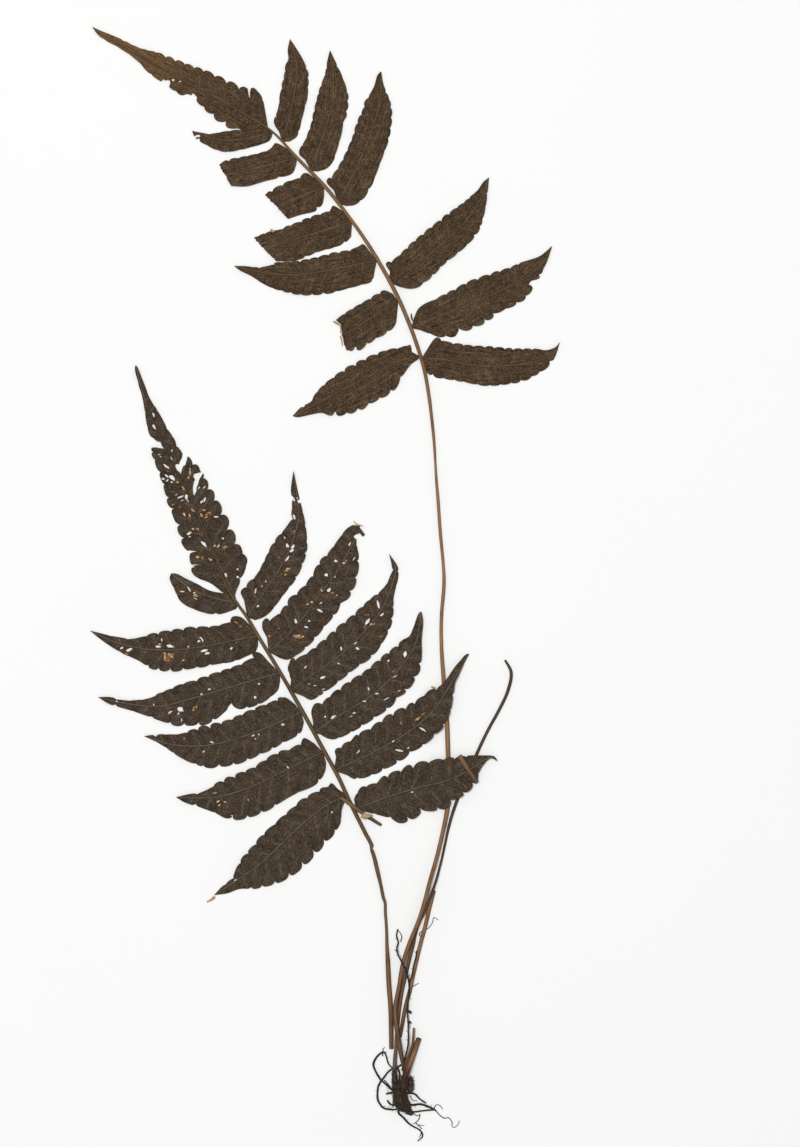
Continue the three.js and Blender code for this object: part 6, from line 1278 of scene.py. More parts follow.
def pinna_edges(name, shape, front_on_left, share_of_depth, draw):
    """The front and the back edge: the points, the middles of the lobes and the smooth line of each."""
    tip = place(*shape["costa"][-1])
    edges = {}
    for key, on_left in (("front", front_on_left), ("back", not front_on_left)):
        torn = places_of(shape.get("torn_" + key, []))
        blunt = name.startswith("lower") and key == "back"
        edge, crowns, line = lobed_edge(
            places_of(shape[key]), torn[0] if torn else tip, -1 if on_left else 1, shape[key + "_notches"],
            share_of_depth, BLUNT if blunt else ROUND, draw)
        if torn:
            edge += torn_line([*torn, tip], draw)
            line = np.vstack([line, torn[1:] + [tip]])
        edges[key] = (edge, crowns, line)
    return edges


def eaten_places(name, growth, draw):
    """A blade's holes and bites, its marks, and extra points where the mesh must be finer."""
    gone, marks, extra = [], [], []
    for x, y, long, wide, turn, *kinds in HOLES.get(name, []):
        kind = kinds[0] if kinds else HOLE
        rim = hole_loop(x, y, long, wide, turn, draw, growth)
        middle = rim.mean(0)
        marks.append((rim, kind))
        if kind == RIMMED:
            gone.append(middle + (rim - middle) * RIMMED_SHARE)
            extra += list(rim)
        elif kind == HOLE:
            gone.append(rim)
        else:
            extra += [*rim, middle, *(rim * 0.5 + middle * 0.5)]
        for grow in HALOES:
            extra += list(hole_loop(x, y, long, wide, turn, draw, grow))
    gone += [np.array(places_of(loop)) for loop in BITES.get(name, [])]
    return gone, marks, extra


def filling(outline, costa_line, gone, extra, step, draw):
    """Loose points all over a blade, a little apart from its lines."""
    low, high = outline.min(0), outline.max(0)
    places = []
    for row in range(int((high[1] - low[1]) / (step * ROW_HEIGHT)) + 1):
        for column in range(int((high[0] - low[0]) / step) + 1):
            x = low[0] + (column + (row % 2) / 2) * step + draw.uniform(-SHAKE, SHAKE)
            y = low[1] + row * step * ROW_HEIGHT + draw.uniform(-SHAKE, SHAKE)
            places.append((x, y))
    loose = np.array(places + extra)
    loose = loose[inside(loose, outline)]
    for line, gap in ((closed(outline), EDGE_GAP), (costa_line, COSTA_GAP)):
        loose = loose[nearest(loose, line)[0] > gap]
    for rim in gone:
        loose = loose[~inside(loose, rim)]
        loose = loose[nearest(loose, closed(rim))[0] > HOLE_GAP]
    return loose


def midrib_lines(costa):
    """The midrib's middle and both its sides, as lines that the mesh keeps to."""
    count = max(6, int(costa.length / COSTA_STEP))
    lines = []
    for lane in (0, -1, 1):
        line = []
        for k in range(count):
            share = COSTA_END * k / (count - 1)
            half = COSTA_HALF_WIDTH * (1.15 - 0.7 * share) * lane
            line.append(costa.at(share) + leftward(costa.heading(share)) * half)
        lines.append(np.array(line))
    return lines


def blade_mesh(outline, gone, ribs, loose):
    """Fill an outline with triangles, without its holes: places in the plane and the triangles."""
    corners, edges = [], []
    for line, is_loop in [(loop, True) for loop in (outline, *gone)] + [(rib, False) for rib in ribs]:
        start = len(corners)
        corners += [Vector(p) for p in line]
        edges += [(start + k, start + k + 1) for k in range(len(line) - 1)]
        if is_loop:
            edges.append((start + len(line) - 1, start))
    corners += [Vector(p) for p in loose]
    flat, _, faces, *_ = delaunay_2d_cdt(corners, edges, [], 0, 1e-5, False)
    flat = np.array([tuple(p) for p in flat])
    triangles = np.array([tuple(f) for f in faces])
    middles = flat[triangles].mean(1)
    keep = inside(middles, outline)
    for rim in gone:
        keep &= ~inside(middles, rim)
    a, b, c = (flat[triangles[:, k]] for k in range(3))
    area = (b[:, 0] - a[:, 0]) * (c[:, 1] - a[:, 1]) - (b[:, 1] - a[:, 1]) * (c[:, 0] - a[:, 0])
    keep &= np.abs(area) > LEAST_AREA
    turned = np.where((area < 0)[:, None], triangles[:, ::-1], triangles)
    triangles = connected([tuple(t) for t in turned[keep].tolist()])
    used = sorted({i for t in triangles for i in t})
    number = {old: new for new, old in enumerate(used)}
    return flat[used], [tuple(number[i] for i in t) for t in triangles]


def vein_places(flat, costa, edges, front_on_left):
    """Where each point lies: from the midrib, along it, out to the edge, and between the side veins."""
    away, along, past, side = nearest(flat, costa.points)
    on_front = (side > 0) == front_on_left
    phase = np.zeros(len(flat))
    beyond = np.zeros(len(flat))
    for key, mine in (("front", on_front), ("back", ~on_front)):
        _, crowns, edge_line = edges[key]
        beyond = np.where(mine, nearest(flat, edge_line)[0], beyond)
        crown_away, _, crown_past, _ = nearest(crowns, costa.points)
        origins = np.maximum.accumulate(crown_past - VEIN_SLANT * crown_away)
        origins = origins + np.arange(len(origins)) * 1e-3
        numbers = np.arange(len(origins)) + 0.5
        reach = LOBES_BEYOND * USUAL_LOBE
        origins = np.concatenate([[origins[0] - reach], origins, [origins[-1] + reach]])
        numbers = np.concatenate([[numbers[0] - LOBES_BEYOND], numbers, [numbers[-1] + LOBES_BEYOND]])
        phase = np.where(mine, np.interp(past - VEIN_SLANT * away, origins, numbers), phase)
    across = away / np.maximum(away + beyond, 1e-6)
    return {"phase": phase, "across": across, "costa": away, "share": along / costa.length, "along": along}


def blade_heights(flat, at, under, sizes, seed):
    """The heights of a blade's top and of its bottom: folded, waved, and lifted over stalks."""
    share, across, away, phase = at["share"], at["across"], at["costa"], at["phase"]
    wave = EDGE_WAVE * (1 + np.sin(
        math.pi * (flat[:, 0] - EDGE_WAVE_SLANT * flat[:, 1]) / EDGE_WAVE_LENGTH))
    fold = (COSTA_RISE * (1 - share ** 3)) * (1 - across) + wave * across
    middle = np.maximum(GROUND + fold, bridge(flat, under)) - BLADE_DROP
    off_vein = np.abs(phase - np.floor(phase) - 0.5) * USUAL_LOBE
    off_sinus = USUAL_LOBE / 2 - off_vein
    rib = bump(away, RIB_WIDTH) * (1 - RIB_TAPER * share)
    broad, fine = (grain_of(flat, scale, seed + k) * height for k, scale, height in SWELLS)
    dome = -SINUS_DIP * bump(off_sinus, SINUS_WIDTH) * across
    veins = sizes.vein_rise / METRES * bump(off_vein, VEIN_WIDTH) * (1 - across ** 2) * ease(away, *VEIN_ROOT)
    middle = middle + (broad + fine) + dome
    half = (sizes.thickness / METRES) / 2 + RIB_SWELL * rib
    bottom = np.maximum(middle - half, LEAST_HEIGHT)
    top = np.maximum(middle + half, bottom + LEAST_THICKNESS) + sizes.costa_rise / METRES * rib + veins
    return top, bottom


def eaten_marks(flat, marks):
    """How far each point is chewed, eaten to a thin skin, or scarred."""
    looks = {key: np.zeros(len(flat)) for key in ("chewed", "window", "scar")}
    for rim, kind in marks:
        gap = nearest(flat, closed(rim))[0]
        within = inside(flat, rim)
        for key, inner, outer, width in MARKS[kind]:
            shown = outer * bump(gap, width)
            if inner is not None:
                shown = np.where(within, inner, shown)
            looks[key] = np.maximum(looks[key], shown)
    return looks


def thicken(flat, top, bottom, triangles):
    """A blade with both its faces and the walls round its edges and holes."""
    n = len(flat)
    points = np.vstack([np.column_stack([flat, top]), np.column_stack([flat, bottom])])
    faces = triangles + [(a + n, c + n, b + n) for a, b, c in triangles]
    open_edges = {}
    for a, b, c in triangles:
        for edge in ((a, b), (b, c), (c, a)):
            if edge[::-1] in open_edges:
                del open_edges[edge[::-1]]
            else:
                open_edges[edge] = True
    faces += [(b, a, a + n, b + n) for a, b in open_edges]
    return points, faces


def pinna(name, shape, under, sizes, seed):
    """One pinna: its points, faces and the attributes that its finish reads."""
    draw = random.Random(seed)
    costa = Line(places_of(shape["costa"]))
    on_left = front_is_left(shape)
    edges = pinna_edges(name, shape, on_left, sizes.notch_share, draw)
    tip = place(*shape["costa"][-1])
    outline = np.array([costa.at(0), *edges["front"][0], tip, *edges["back"][0][::-1]])
    gone, marks, extra = eaten_places(name, sizes.hole_growth / METRES, draw)
    ribs = midrib_lines(costa)
    loose = filling(outline, ribs[0], gone, extra, sizes.grain / METRES, draw)
    flat, triangles = blade_mesh(outline, gone, ribs, loose)
    attributes = vein_places(flat, costa, edges, on_left)
    top, bottom = blade_heights(flat, attributes, under, sizes, seed)
    attributes.update(eaten_marks(flat, marks))
    points, faces = thicken(flat, top, bottom, triangles)
    return points, faces, {key: np.tile(values, 2) for key, values in attributes.items()}




# Finishes, all made of nodes.

class Finish:
    """Builds one material, a node at a time."""

    def __init__(self, name, roughness=0.7, specular=0.3):
        self.material = bpy.data.materials.new(name)
        self.material.use_nodes = True
        self.tree = self.material.node_tree
        self.shader = self.tree.nodes["Principled BSDF"]
        self.shader.inputs["Roughness"].default_value = roughness
        self.shader.inputs["Specular IOR Level"].default_value = specular
        in_mm = self.node("VectorMath", operation="SCALE")
        in_mm.inputs["Scale"].default_value = 1 / METRES
        self.feed(in_mm.inputs[0], self.node("TexCoord").outputs["Object"])
        self.where = in_mm.outputs[0]

    def node(self, kind, **settings):
        node = self.tree.nodes.new("ShaderNode" + kind)
        for key, value in settings.items():
            setattr(node, key, value)
        return node

    def feed(self, socket, value):
        """Link another socket, or set a plain value."""
        if isinstance(value, bpy.types.NodeSocket):
            self.tree.links.new(value, socket)
        else:
            socket.default_value = value

    def math(self, operation, *values):
        node = self.node("Math", operation=operation)
        for socket, value in zip(node.inputs, values):
            self.feed(socket, value)
        return node.outputs[0]

    def plus(self, first, second):
        return self.math("ADD", first, second)

    def minus(self, first, second):
        return self.math("SUBTRACT", first, second)

    def times(self, first, second):
        return self.math("MULTIPLY", first, second)

    def apart(self, first, second):
        """How far two values lie apart."""
        return self.math("ABSOLUTE", self.minus(first, second))

    def combine(self, *parts):
        node = self.node("CombineXYZ")
        for socket, value in zip(node.inputs, parts):
            self.feed(socket, value)
        return node.outputs[0]

    def attribute(self, name, vector=False):
        return self.node("Attribute", attribute_name=name).outputs["Vector" if vector else "Fac"]

    def noise(self, scale, detail=3.0, roughness=0.55, where=None):
        """Noise at places in mm, or at others."""
        node = self.node("TexNoise")
        self.feed(node.inputs["Vector"], where or self.where)
        node.inputs["Scale"].default_value = scale
        node.inputs["Detail"].default_value = detail
        node.inputs["Roughness"].default_value = roughness
        return node.outputs["Fac"]

    def band(self, value, low, high, bottom=0.0, top=1.0):
        """A soft step from bottom to top while a value goes from low to high."""
        node = self.node("MapRange", interpolation_type="SMOOTHSTEP")
        for key, number in (
            ("Value", value), ("From Min", low), ("From Max", high), ("To Min", bottom), ("To Max", top),
        ):
            self.feed(node.inputs[key], number)
        return node.outputs["Result"]

    def mix(self, share, first, second, blend="MIX"):
        """Two colours in one."""
        node = self.node("Mix", data_type="RGBA", blend_type=blend)
        self.feed(node.inputs[0], share)
        self.feed(node.inputs[6], first)
        self.feed(node.inputs[7], second)
        return node.outputs[2]

    def ramp(self, value, stops):
        """A colour that follows a value through stops of (value, colour)."""
        node = self.node("ValToRGB")
        self.feed(node.inputs["Fac"], value)
        elements = node.color_ramp.elements
        while len(elements) < len(stops):
            elements.new(1.0)
        for element, (at, tint) in zip(elements, stops):
            element.position = at
            element.color = tint
        return node.outputs["Color"]

    def finish(self, tint, relief=None, distance=0.05, roughness=None):
        """Feed the colour, the relief and the roughness, and give the material."""
        self.feed(self.shader.inputs["Base Color"], tint)
        if roughness is not None:
            self.feed(self.shader.inputs["Roughness"], roughness)
        if relief is not None:
            bump_node = self.node("Bump")
            bump_node.inputs["Strength"].default_value = 1.0
            bump_node.inputs["Distance"].default_value = distance * METRES
            self.feed(bump_node.inputs["Height"], relief)
            self.feed(self.shader.inputs["Normal"], bump_node.outputs["Normal"])
        return self.material


def shade(tint, share):
    """A colour made darker or lighter."""
    return (*[min(1.0, c * share) for c in tint[:3]], 1.0)


def eaten_tint(f, tint, settings, chewed, fine):
    """Round the holes the tissue is brown and torn; windows are eaten to a pale skin; scars are dark."""
    rim = settings.rim_colour
    patchy = f.minus(f.noise(0.9, 3, 0.6), 0.5)
    eaten = f.plus(chewed, f.times(patchy, 1.7))
    tint = f.mix(f.band(eaten, 0.2, 0.45, 0, 0.85), tint, paint(66, 42, 27))
    tint = f.mix(f.band(eaten, 0.72, 1.0, 0, 0.9), tint, rim)
    pale = f.mix(f.band(f.noise(1.1, 1), 0.42, 0.6), shade(rim, 0.9), settings.window_colour)
    skin = f.mix(f.band(fine, 0.4, 0.58), shade(rim, 0.3), pale)
    thin = f.plus(f.attribute("window"), f.times(patchy, 1.1))
    tint = f.mix(f.band(thin, 0.55, 0.8), tint, skin)
    return f.mix(f.band(f.attribute("scar"), 0.2, 0.9, 0, 0.6), tint, paint(92, 60, 40))


def blade_finish(name, settings, frond, hues, creases, streaks, mottle, grit_and_sheen, core, tail=None):
    """Dried leaf tissue: creases along the midrib, streaks along the side veins, and eaten places."""
    tissue, vein, dust = (getattr(settings, f"{frond}_{part}") for part in ("colour", "vein", "dust"))
    f = Finish(name, roughness=0.85, specular=0.12)
    phase, away = f.attribute("phase"), f.attribute("costa")
    across, along, chewed = f.attribute("across"), f.attribute("along"), f.attribute("chewed")
    length_share = f.attribute("share")
    large, middle, fine = f.noise(0.13, 4), f.noise(0.75, 4, 0.65), f.noise(1.9, 4, 0.7)

    def drawn_out(first, second, first_scale, second_scale, detail):
        """Noise that is stretched along the lines of the leaf."""
        stretched = f.combine(
            f.times(first, first_scale), f.times(second, second_scale), f.times(length_share, 3.0))
        return f.noise(1.0, detail, 0.62, stretched)

    def toned(tint, value, low, high, reach, share):
        """The tint made lighter or darker where a value goes from low to high."""
        other = f.mix(1.0, tint, (share, share, share * 0.97, 1), "MULTIPLY")
        return f.mix(f.band(value, low, high, 0, reach), tint, other)

    veinward = drawn_out(phase, away, 7.5, 0.5, 4)
    ribward = drawn_out(away, along, 1.6, 0.15, 2)
    wrinkle = f.apart(drawn_out(away, along, 1.1, 0.13, 2), 0.5)

    # Side veins run where the phase is halfway between two whole numbers, veinlets slant between them.
    shaken = f.plus(phase, f.times(f.minus(f.noise(0.5, 2), 0.5), 0.22))
    off_vein = f.times(f.apart(f.math("FRACT", shaken), 0.5), USUAL_LOBE)
    slanted = f.minus(f.math("DIVIDE", away, 1.05), f.times(off_vein, 0.7))
    veinlet = f.apart(f.math("FRACT", slanted), 0.5)
    vein_mask = f.times(f.band(off_vein, 0.34, 0.06), f.band(f.noise(0.7, 3), 0.4, 0.62))
    vein_mask = f.times(vein_mask, f.band(across, 1.0, 0.55))
    veinlet_mask = f.times(f.band(veinlet, 0.16, 0.03), f.band(middle, 0.48, 0.62))
    sinus_shade_mask = f.times(f.band(off_vein, 1.75, 2.25), f.band(across, 0.3, 0.9))
    streaked = f.times(f.band(large, 0.6, 0.42, 0.4, 1.0), streaks)
    creased = f.times(f.band(large, 0.4, 0.6, 0.4, 1.0), creases)

    tint = f.mix(f.band(large, 0.3, 0.7), shade(tissue, 0.84), shade(tissue, 1.14))
    tint = f.mix(1.0, tint, f.mix(f.band(f.noise(0.4, 3, 0.6), 0.4, 0.6), *hues), "MULTIPLY")
    # Each layer: a value, where its tone begins and is full, how much of it, and how light it is.
    for layer in (
        (middle, 0.52, 0.72, mottle, 1.6), (middle, 0.46, 0.3, mottle, 0.55),
        (veinward, 0.52, 0.7, streaked, 1.8), (veinward, 0.48, 0.3, streaked, 0.5),
        (ribward, 0.49, 0.34, creased, 0.38), (ribward, 0.53, 0.68, creased, 1.7),
        # The off_vein layer on the next line is a painted highlight: a broad lighter band on the low ridge
        # along each side vein.
        (off_vein, 1.5, 0.4, streaks * 0.6, 1.25), (wrinkle, 0.022, 0.006, creased, 1.8),
    ):
        tint = toned(tint, *layer)
    if tail:
        worn = f.mix(f.band(ribward, 0.4, 0.62), shade(tail, 0.6), tail)
        tint = f.mix(f.band(length_share, 0.2, 0.9, 0, 0.85), tint, worn)
    tint = f.mix(f.times(veinlet_mask, 0.34), tint, vein)
    tint = f.mix(f.times(vein_mask, core * 0.75), tint, shade(vein, 1.1))
    tint = toned(tint, fine, 0.5, 0.36, grit_and_sheen, 0.35)
    # Light grain that is partly a painted sheen: pale greyish specks where the fine noise is high.
    tint = f.mix(f.band(fine, 0.53, 0.67, 0, grit_and_sheen * 0.62), tint, dust)
    # Painted shade where the blade dips between the lobes, out toward the edge.
    tint = f.mix(f.times(sinus_shade_mask, 0.55), tint, shade(tissue, 0.35))
    # Painted shade: a darker band on both sides of the raised midrib.
    tint = f.mix(f.band(away, 0.85, 0.3, 0, 0.15 if tail else 0.4), tint, shade(tissue, 0.5))
    tint = toned(tint, away, 0.5, 0.2, 0.4, 1.5)
    rib = f.times(f.band(away, 0.28, 0.1), f.band(f.noise(0.5, 3), 0.38, 0.62, core / 2, core))
    tint = f.mix(rib, tint, vein)
    tint = f.mix(f.band(across, 0.93, 1.0, 0, 0.35), tint, shade(tissue, 0.5))

    tint = eaten_tint(f, tint, settings, chewed, fine)
    relief = f.plus(f.times(vein_mask, 0.7), f.times(fine, 0.8))
    relief = f.plus(relief, f.times(ribward, 0.9))
    relief = f.plus(relief, f.times(middle, 1.2))
    return f.finish(tint, relief, 0.08, f.band(middle, 0.3, 0.7, 0.8, 0.94))


def stalk_finish(name, stops, streak=0.7, roughness=0.6, edge=0.7, fibres=3.2):
    """A dried stalk with fibres along it, painted shade at its sides; stops give its colour along its length.
    """
    f = Finish(name, roughness=roughness, specular=0.25)
    parts = f.node("SeparateXYZ")
    f.feed(parts.inputs[0], f.attribute("around", vector=True))
    across, upward, travelled = parts.outputs
    stretched = f.combine(f.times(across, fibres), f.times(upward, fibres), f.times(travelled, 0.09))
    fibre = f.noise(1.4, 5, 0.65, stretched)
    patch = f.noise(0.16, 4, 0.6)
    dust = f.noise(2.2, 3, 0.6)
    side = f.math("ABSOLUTE", across)
    tint = f.ramp(f.attribute("along"), stops)
    # Each layer: a value, where its tone begins and is full, how much of it, and the tone.
    for value, low, high, reach, tone in (
        (fibre, 0.52, 0.36, streak, (0.36, 0.3, 0.26, 1)), (fibre, 0.52, 0.7, streak, (1.6, 1.52, 1.42, 1)),
        (patch, 0.52, 0.68, 0.6, (0.6, 0.53, 0.46, 1)), (side, 0.35, 0.95, edge, (0.34, 0.29, 0.25, 1)),
        # The last two layers are painted shade toward the stalk's sides and a painted highlight along its
        # top.
        (side, 0.3, 0.0, 0.35, (1.3, 1.28, 1.22, 1)),
    ):
        tint = f.mix(f.band(value, low, high, 0, reach), tint, f.mix(1.0, tint, tone, "MULTIPLY"))
    relief = f.plus(fibre, f.times(dust, 0.4))
    return f.finish(tint, relief, 0.08, f.band(fibre, 0.3, 0.7, roughness + 0.12, roughness - 0.08))


def rough_finish(name, tint, spread, roughness=0.7, young=None):
    """Rhizome, scales and roots: dark skin with lighter flecks; with young, scales are greyer or redder by
    their tone.
    """
    f = Finish(name, roughness=roughness, specular=0.35)
    large, fine = f.noise(0.5, 4, 0.6), f.noise(2.8, 4, 0.65)
    skin = f.mix(f.band(large, 0.35, 0.68), shade(tint, 0.6), tint)
    skin = f.mix(f.band(fine, 0.55, 0.75, 0, 0.8), skin, spread)
    if young:
        grey, lot = f.attribute("grey"), f.attribute("lot")
        skin = f.mix(f.band(lot, 0, 0.8, 0, 0.85), skin, shade(spread, 1.2))
        greyer = f.mix(f.band(lot, 0, 0.6), shade(young, 0.16), young)
        redder = f.mix(f.band(lot, 0, 0.6), paint(44, 25, 17), paint(96, 58, 38))
        skin = f.mix(f.band(grey, 0, 1), skin, greyer)
        skin = f.mix(f.band(grey, 0, -1), skin, redder)
    relief = f.plus(fine, f.times(large, 0.6))
    return f.finish(skin, relief, 0.12)


# Operators, one for each group of pieces.

def add_camera(scene, lens):
    """Look straight down on the plant, with the same view and scale as the picture."""
    camera = bpy.data.cameras.new("camera")
    camera.lens = lens
    camera.sensor_fit = "VERTICAL"
    camera.sensor_height = SENSOR_HEIGHT
    camera.clip_end = FARTHEST
    eye = bpy.data.objects.new("camera", camera)
    middle = place(VIEW_SIZE[0] / 2, VIEW_SIZE[1] / 2)
    height = VIEW_SIZE[1] * MM_PER_PIXEL * lens / SENSOR_HEIGHT
    eye.location = (middle[0] * METRES, middle[1] * METRES, height * METRES)
    scene.collection.objects.link(eye)
    scene.camera = eye


def add_floor(scene, tint):
    """Lay the plain floor under the plant."""
    mesh = bpy.data.meshes.new("floor")
    corners = [(x * FLOOR_HALF, y * FLOOR_HALF, 0) for x, y in ((-1, -1), (1, -1), (1, 1), (-1, 1))]
    mesh.from_pydata(corners, [], [(0, 1, 2, 3)])
    f = Finish("pale floor", roughness=0.9, specular=0.1)
    mesh.materials.append(f.finish(f.mix(f.noise(0.02, 2), shade(tint, 0.99), tint)))
    floor = bpy.data.objects.new("floor", mesh)
    scene.collection.objects.link(floor)


def add_light(scene, power, sky):
    """Hang one soft lamp over the plant, and light it evenly from all round."""
    light = bpy.data.lights.new("lamp", "AREA")
    light.shape = "DISK"
    light.size = LAMP_SIZE
    light.energy = power
    lamp = bpy.data.objects.new("lamp", light)
    lamp.location = LAMP_PLACE
    lamp.rotation_euler = (-Vector(lamp.location)).to_track_quat("-Z", "Y").to_euler()
    scene.collection.objects.link(lamp)
    world = bpy.data.worlds.new("sky")
    world.use_nodes = True
    background = world.node_tree.nodes["Background"]
    background.inputs["Color"].default_value = (1, 1, 1, 1)
    background.inputs["Strength"].default_value = sky
    scene.world = world


class FERN_OT_stage(bpy.types.Operator):
    """Set the camera straight over the plant, with a plain pale floor and soft light."""
    bl_idname = "fern.stage"
    bl_label = "Stage"

    def execute(self, context):
        scene = context.scene
        settings = scene.fern_stage
        add_camera(scene, settings.lens)
        scene.view_settings.view_transform = "Standard"
        add_floor(scene, settings.floor_colour)
        add_light(scene, settings.lamp_power, settings.sky)
        return {"FINISHED"}


def add_pinnae(frond, shapes, under, node, slot, sizes, finish, tail_finish=None):
    """Add every pinna of a frond."""
    for number, (key, shape) in enumerate(shapes.items()):
        name = f"{frond}_{key}"
        points, faces, attributes = pinna(name, shape, under, sizes, PINNA_SEED + number)
        material = tail_finish if tail_finish and key == "terminal" else finish
        add_piece(f"{frond}_pinna_{key}", points, faces, material, node, slot, attributes)


def add_scraps(frond, node, slot, tissue):
    """Add a frond's torn bits, the dark ones and the pale ones."""
    for kind, scraps, tint, spread in (
        ("dark", DARK_SCRAPS[frond], tissue, paint(96, 62, 38)),
        ("pale", PALE_SCRAPS[frond], paint(196, 168, 116), paint(226, 206, 160)),
    ):
        finish = rough_finish(f"{frond} {kind} scraps", tint, spread)
        bits = [
            tube(route(way), sides=8, step=0.3, seed=SCRAP_SEED + k, rough=0.5, pressed=0.35, ragged=0.3)
            for k, way in enumerate(scraps)]
        add_piece(f"{frond}_{kind}_scraps", *gather(bits)[:2], finish, node, slot)


class FERN_OT_upper_pinnae(bpy.types.Operator):
    """Add the terminal blade and the thirteen pinnae of the upper frond."""
    bl_idname = "fern.upper_pinnae"
    bl_label = "Upper pinnae"

    def execute(self, context):
        s = context.scene.fern_blades
        finish = blade_finish("upper blade", s, "upper", **UPPER_LOOK)
        tail = blade_finish("upper terminal blade", s, "upper", tail=paint(128, 98, 64), **UPPER_LOOK)
        add_pinnae("upper", UPPER_PINNAE, [], "frond_upper", "blade_upper", s, finish, tail)
        add_scraps("upper", "frond_upper", "blade_upper", s.upper_colour)
        return {"FINISHED"}


class FERN_OT_lower_pinnae(bpy.types.Operator):
    """Add the terminal blade and the twelve pinnae of the lower frond."""
    bl_idname = "fern.lower_pinnae"
    bl_label = "Lower pinnae"

    def execute(self, context):
        s = context.scene.fern_blades
        finish = blade_finish("lower blade", s, "lower", **LOWER_LOOK)
        under = [route(UPPER_STALK), route(YOUNG_STALK)]
        add_pinnae("lower", LOWER_PINNAE, under, "frond_lower", "blade_lower", s, finish)
        add_scraps("lower", "frond_lower", "blade_lower", s.lower_colour)
        return {"FINISHED"}


def add_stalk(name, way, settings, finish, node, slot, seed, **shape):
    """Add one stalk."""
    points, faces, attributes = tube(route(way), settings.sides, settings.step / METRES, seed, **shape)
    add_piece(name, points, faces, finish, node, slot, attributes)


class FERN_OT_upper_stalk(bpy.types.Operator):
    """Add the long stipe and rachis of the upper frond."""
    bl_idname = "fern.upper_stalk"
    bl_label = "Upper stipe and rachis"

    def execute(self, context):
        s = context.scene.fern_stalks
        finish = stalk_finish("upper stalk", [
            (0.0, paint(84, 58, 42)), (0.02, paint(104, 76, 54)), (0.12, paint(132, 98, 70)),
            (0.28, s.upper_stipe), (0.5, s.upper_stipe), (0.6, s.upper_rachis), (0.78, s.upper_rachis),
            (0.83, paint(118, 92, 58)), (0.88, paint(96, 74, 48)), (1.0, paint(98, 76, 50)),
        ])
        add_stalk("upper_stalk", UPPER_STALK, s, finish, "frond_upper", "blade_upper", seed=11, groove=0.12)
        return {"FINISHED"}


class FERN_OT_lower_stalk(bpy.types.Operator):
    """Add the stipe and rachis of the lower frond, with a torn pinna stalk and a sliver of stalk."""
    bl_idname = "fern.lower_stalk"
    bl_label = "Lower stipe and rachis"

    def execute(self, context):
        s = context.scene.fern_stalks
        finish = stalk_finish("lower stalk", [
            (0.0, shade(s.lower_stipe, 1.15)), (0.12, shade(s.lower_stipe, 1.3)),
            (0.25, shade(s.lower_stipe, 1.15)), (0.33, s.lower_rachis), (0.6, s.lower_rachis),
            (0.68, shade(s.lower_rachis, 1.1)),
            (0.74, paint(84, 70, 48)), (1.0, paint(76, 62, 42)),
        ])
        add_stalk("lower_stalk", LOWER_STALK, s, finish, "frond_lower", "blade_lower", seed=23, groove=0.14,
                  ragged=0.1)
        straw = stalk_finish("torn scraps", [(0.0, s.straw), (1.0, shade(s.straw, 0.5))], streak=0.6)
        worn = stalk_finish("torn stalk", [(0.0, paint(124, 98, 68)), (0.5, paint(114, 90, 62)),
                                           (0.65, paint(92, 74, 52)), (1.0, paint(92, 74, 52))])
        add_stalk("torn_pinna_stalk", TORN_STALK, s, worn, "frond_lower", "blade_lower", seed=31,
                  rough=0.16, ragged=0.5)
        add_stalk("stalk_sliver", SLIVER, s, straw, "frond_lower", "blade_lower", seed=37, rough=0.1,
                  pressed=0.5, ragged=0.6)
        return {"FINISHED"}


class FERN_OT_bare_stipes(bpy.types.Operator):
    """Add the dark young stipe and the broken stipe."""
    bl_idname = "fern.bare_stipes"
    bl_label = "Bare stipes"

    def execute(self, context):
        s = context.scene.fern_stalks
        young = stalk_finish("young stipe", [
            (0.0, paint(46, 36, 32)), (0.035, paint(52, 41, 36)), (0.055, paint(104, 88, 78)),
            (0.1, paint(106, 84, 66)), (0.2, paint(106, 76, 50)), (0.4, paint(96, 70, 48)),
            (0.5, s.young), (0.7, s.young), (0.82, shade(s.young, 1.35)), (1.0, s.young),
        ])
        add_stalk("young_stipe_fine", YOUNG_STALK, s, young, "young_stipe", "young_stipe", seed=41,
                  groove=0.16, rough=0.08)
        broken = stalk_finish("broken stipe", [
            (0.0, shade(s.broken, 0.6)), (0.3, s.broken), (0.4, shade(s.broken, 1.25)),
            (0.985, shade(s.broken, 1.25)), (1.0, shade(s.broken, 0.4)),
        ], streak=0.8)
        add_stalk("broken_stipe_fine", BROKEN_STALK, s, broken, "broken_stipe", "broken_stipe", seed=43,
                  groove=0.14, ragged=0.3)
        return {"FINISHED"}


class FERN_OT_stubs(bpy.types.Operator):
    """Add the two old stipe stubs on the rhizome."""
    bl_idname = "fern.stubs"
    bl_label = "Old stipe stubs"

    def execute(self, context):
        s = context.scene.fern_stalks
        thick = stalk_finish("thick stub", [
            (0.0, paint(44, 28, 20)), (0.3, paint(52, 31, 21)), (0.42, paint(96, 55, 33)),
            (0.52, s.thick_stub), (0.72, shade(s.thick_stub, 1.3)), (0.86, shade(s.thick_stub, 0.8)),
            (0.95, shade(s.thick_stub, 0.7)), (1.0, paint(60, 38, 28)),
        ], streak=1.0, edge=0.85, fibres=2)
        add_stalk("thick_stub_fine", THICK_STUB, s, thick, "old_stipe_thick", "old_stipe", seed=53,
                  groove=0.1, ragged=0.4)
        thin = stalk_finish("thin stub", [
            (0.0, shade(s.thin_stub, 0.4)), (0.45, shade(s.thin_stub, 0.75)), (0.8, s.thin_stub),
            (1.0, paint(126, 94, 58)),
        ], streak=0.5)
        add_stalk("thin_stub_fine", THIN_STUB, s, thin, "old_stipe_thin", "old_stipe", seed=59, ragged=0.2)
        return {"FINISHED"}


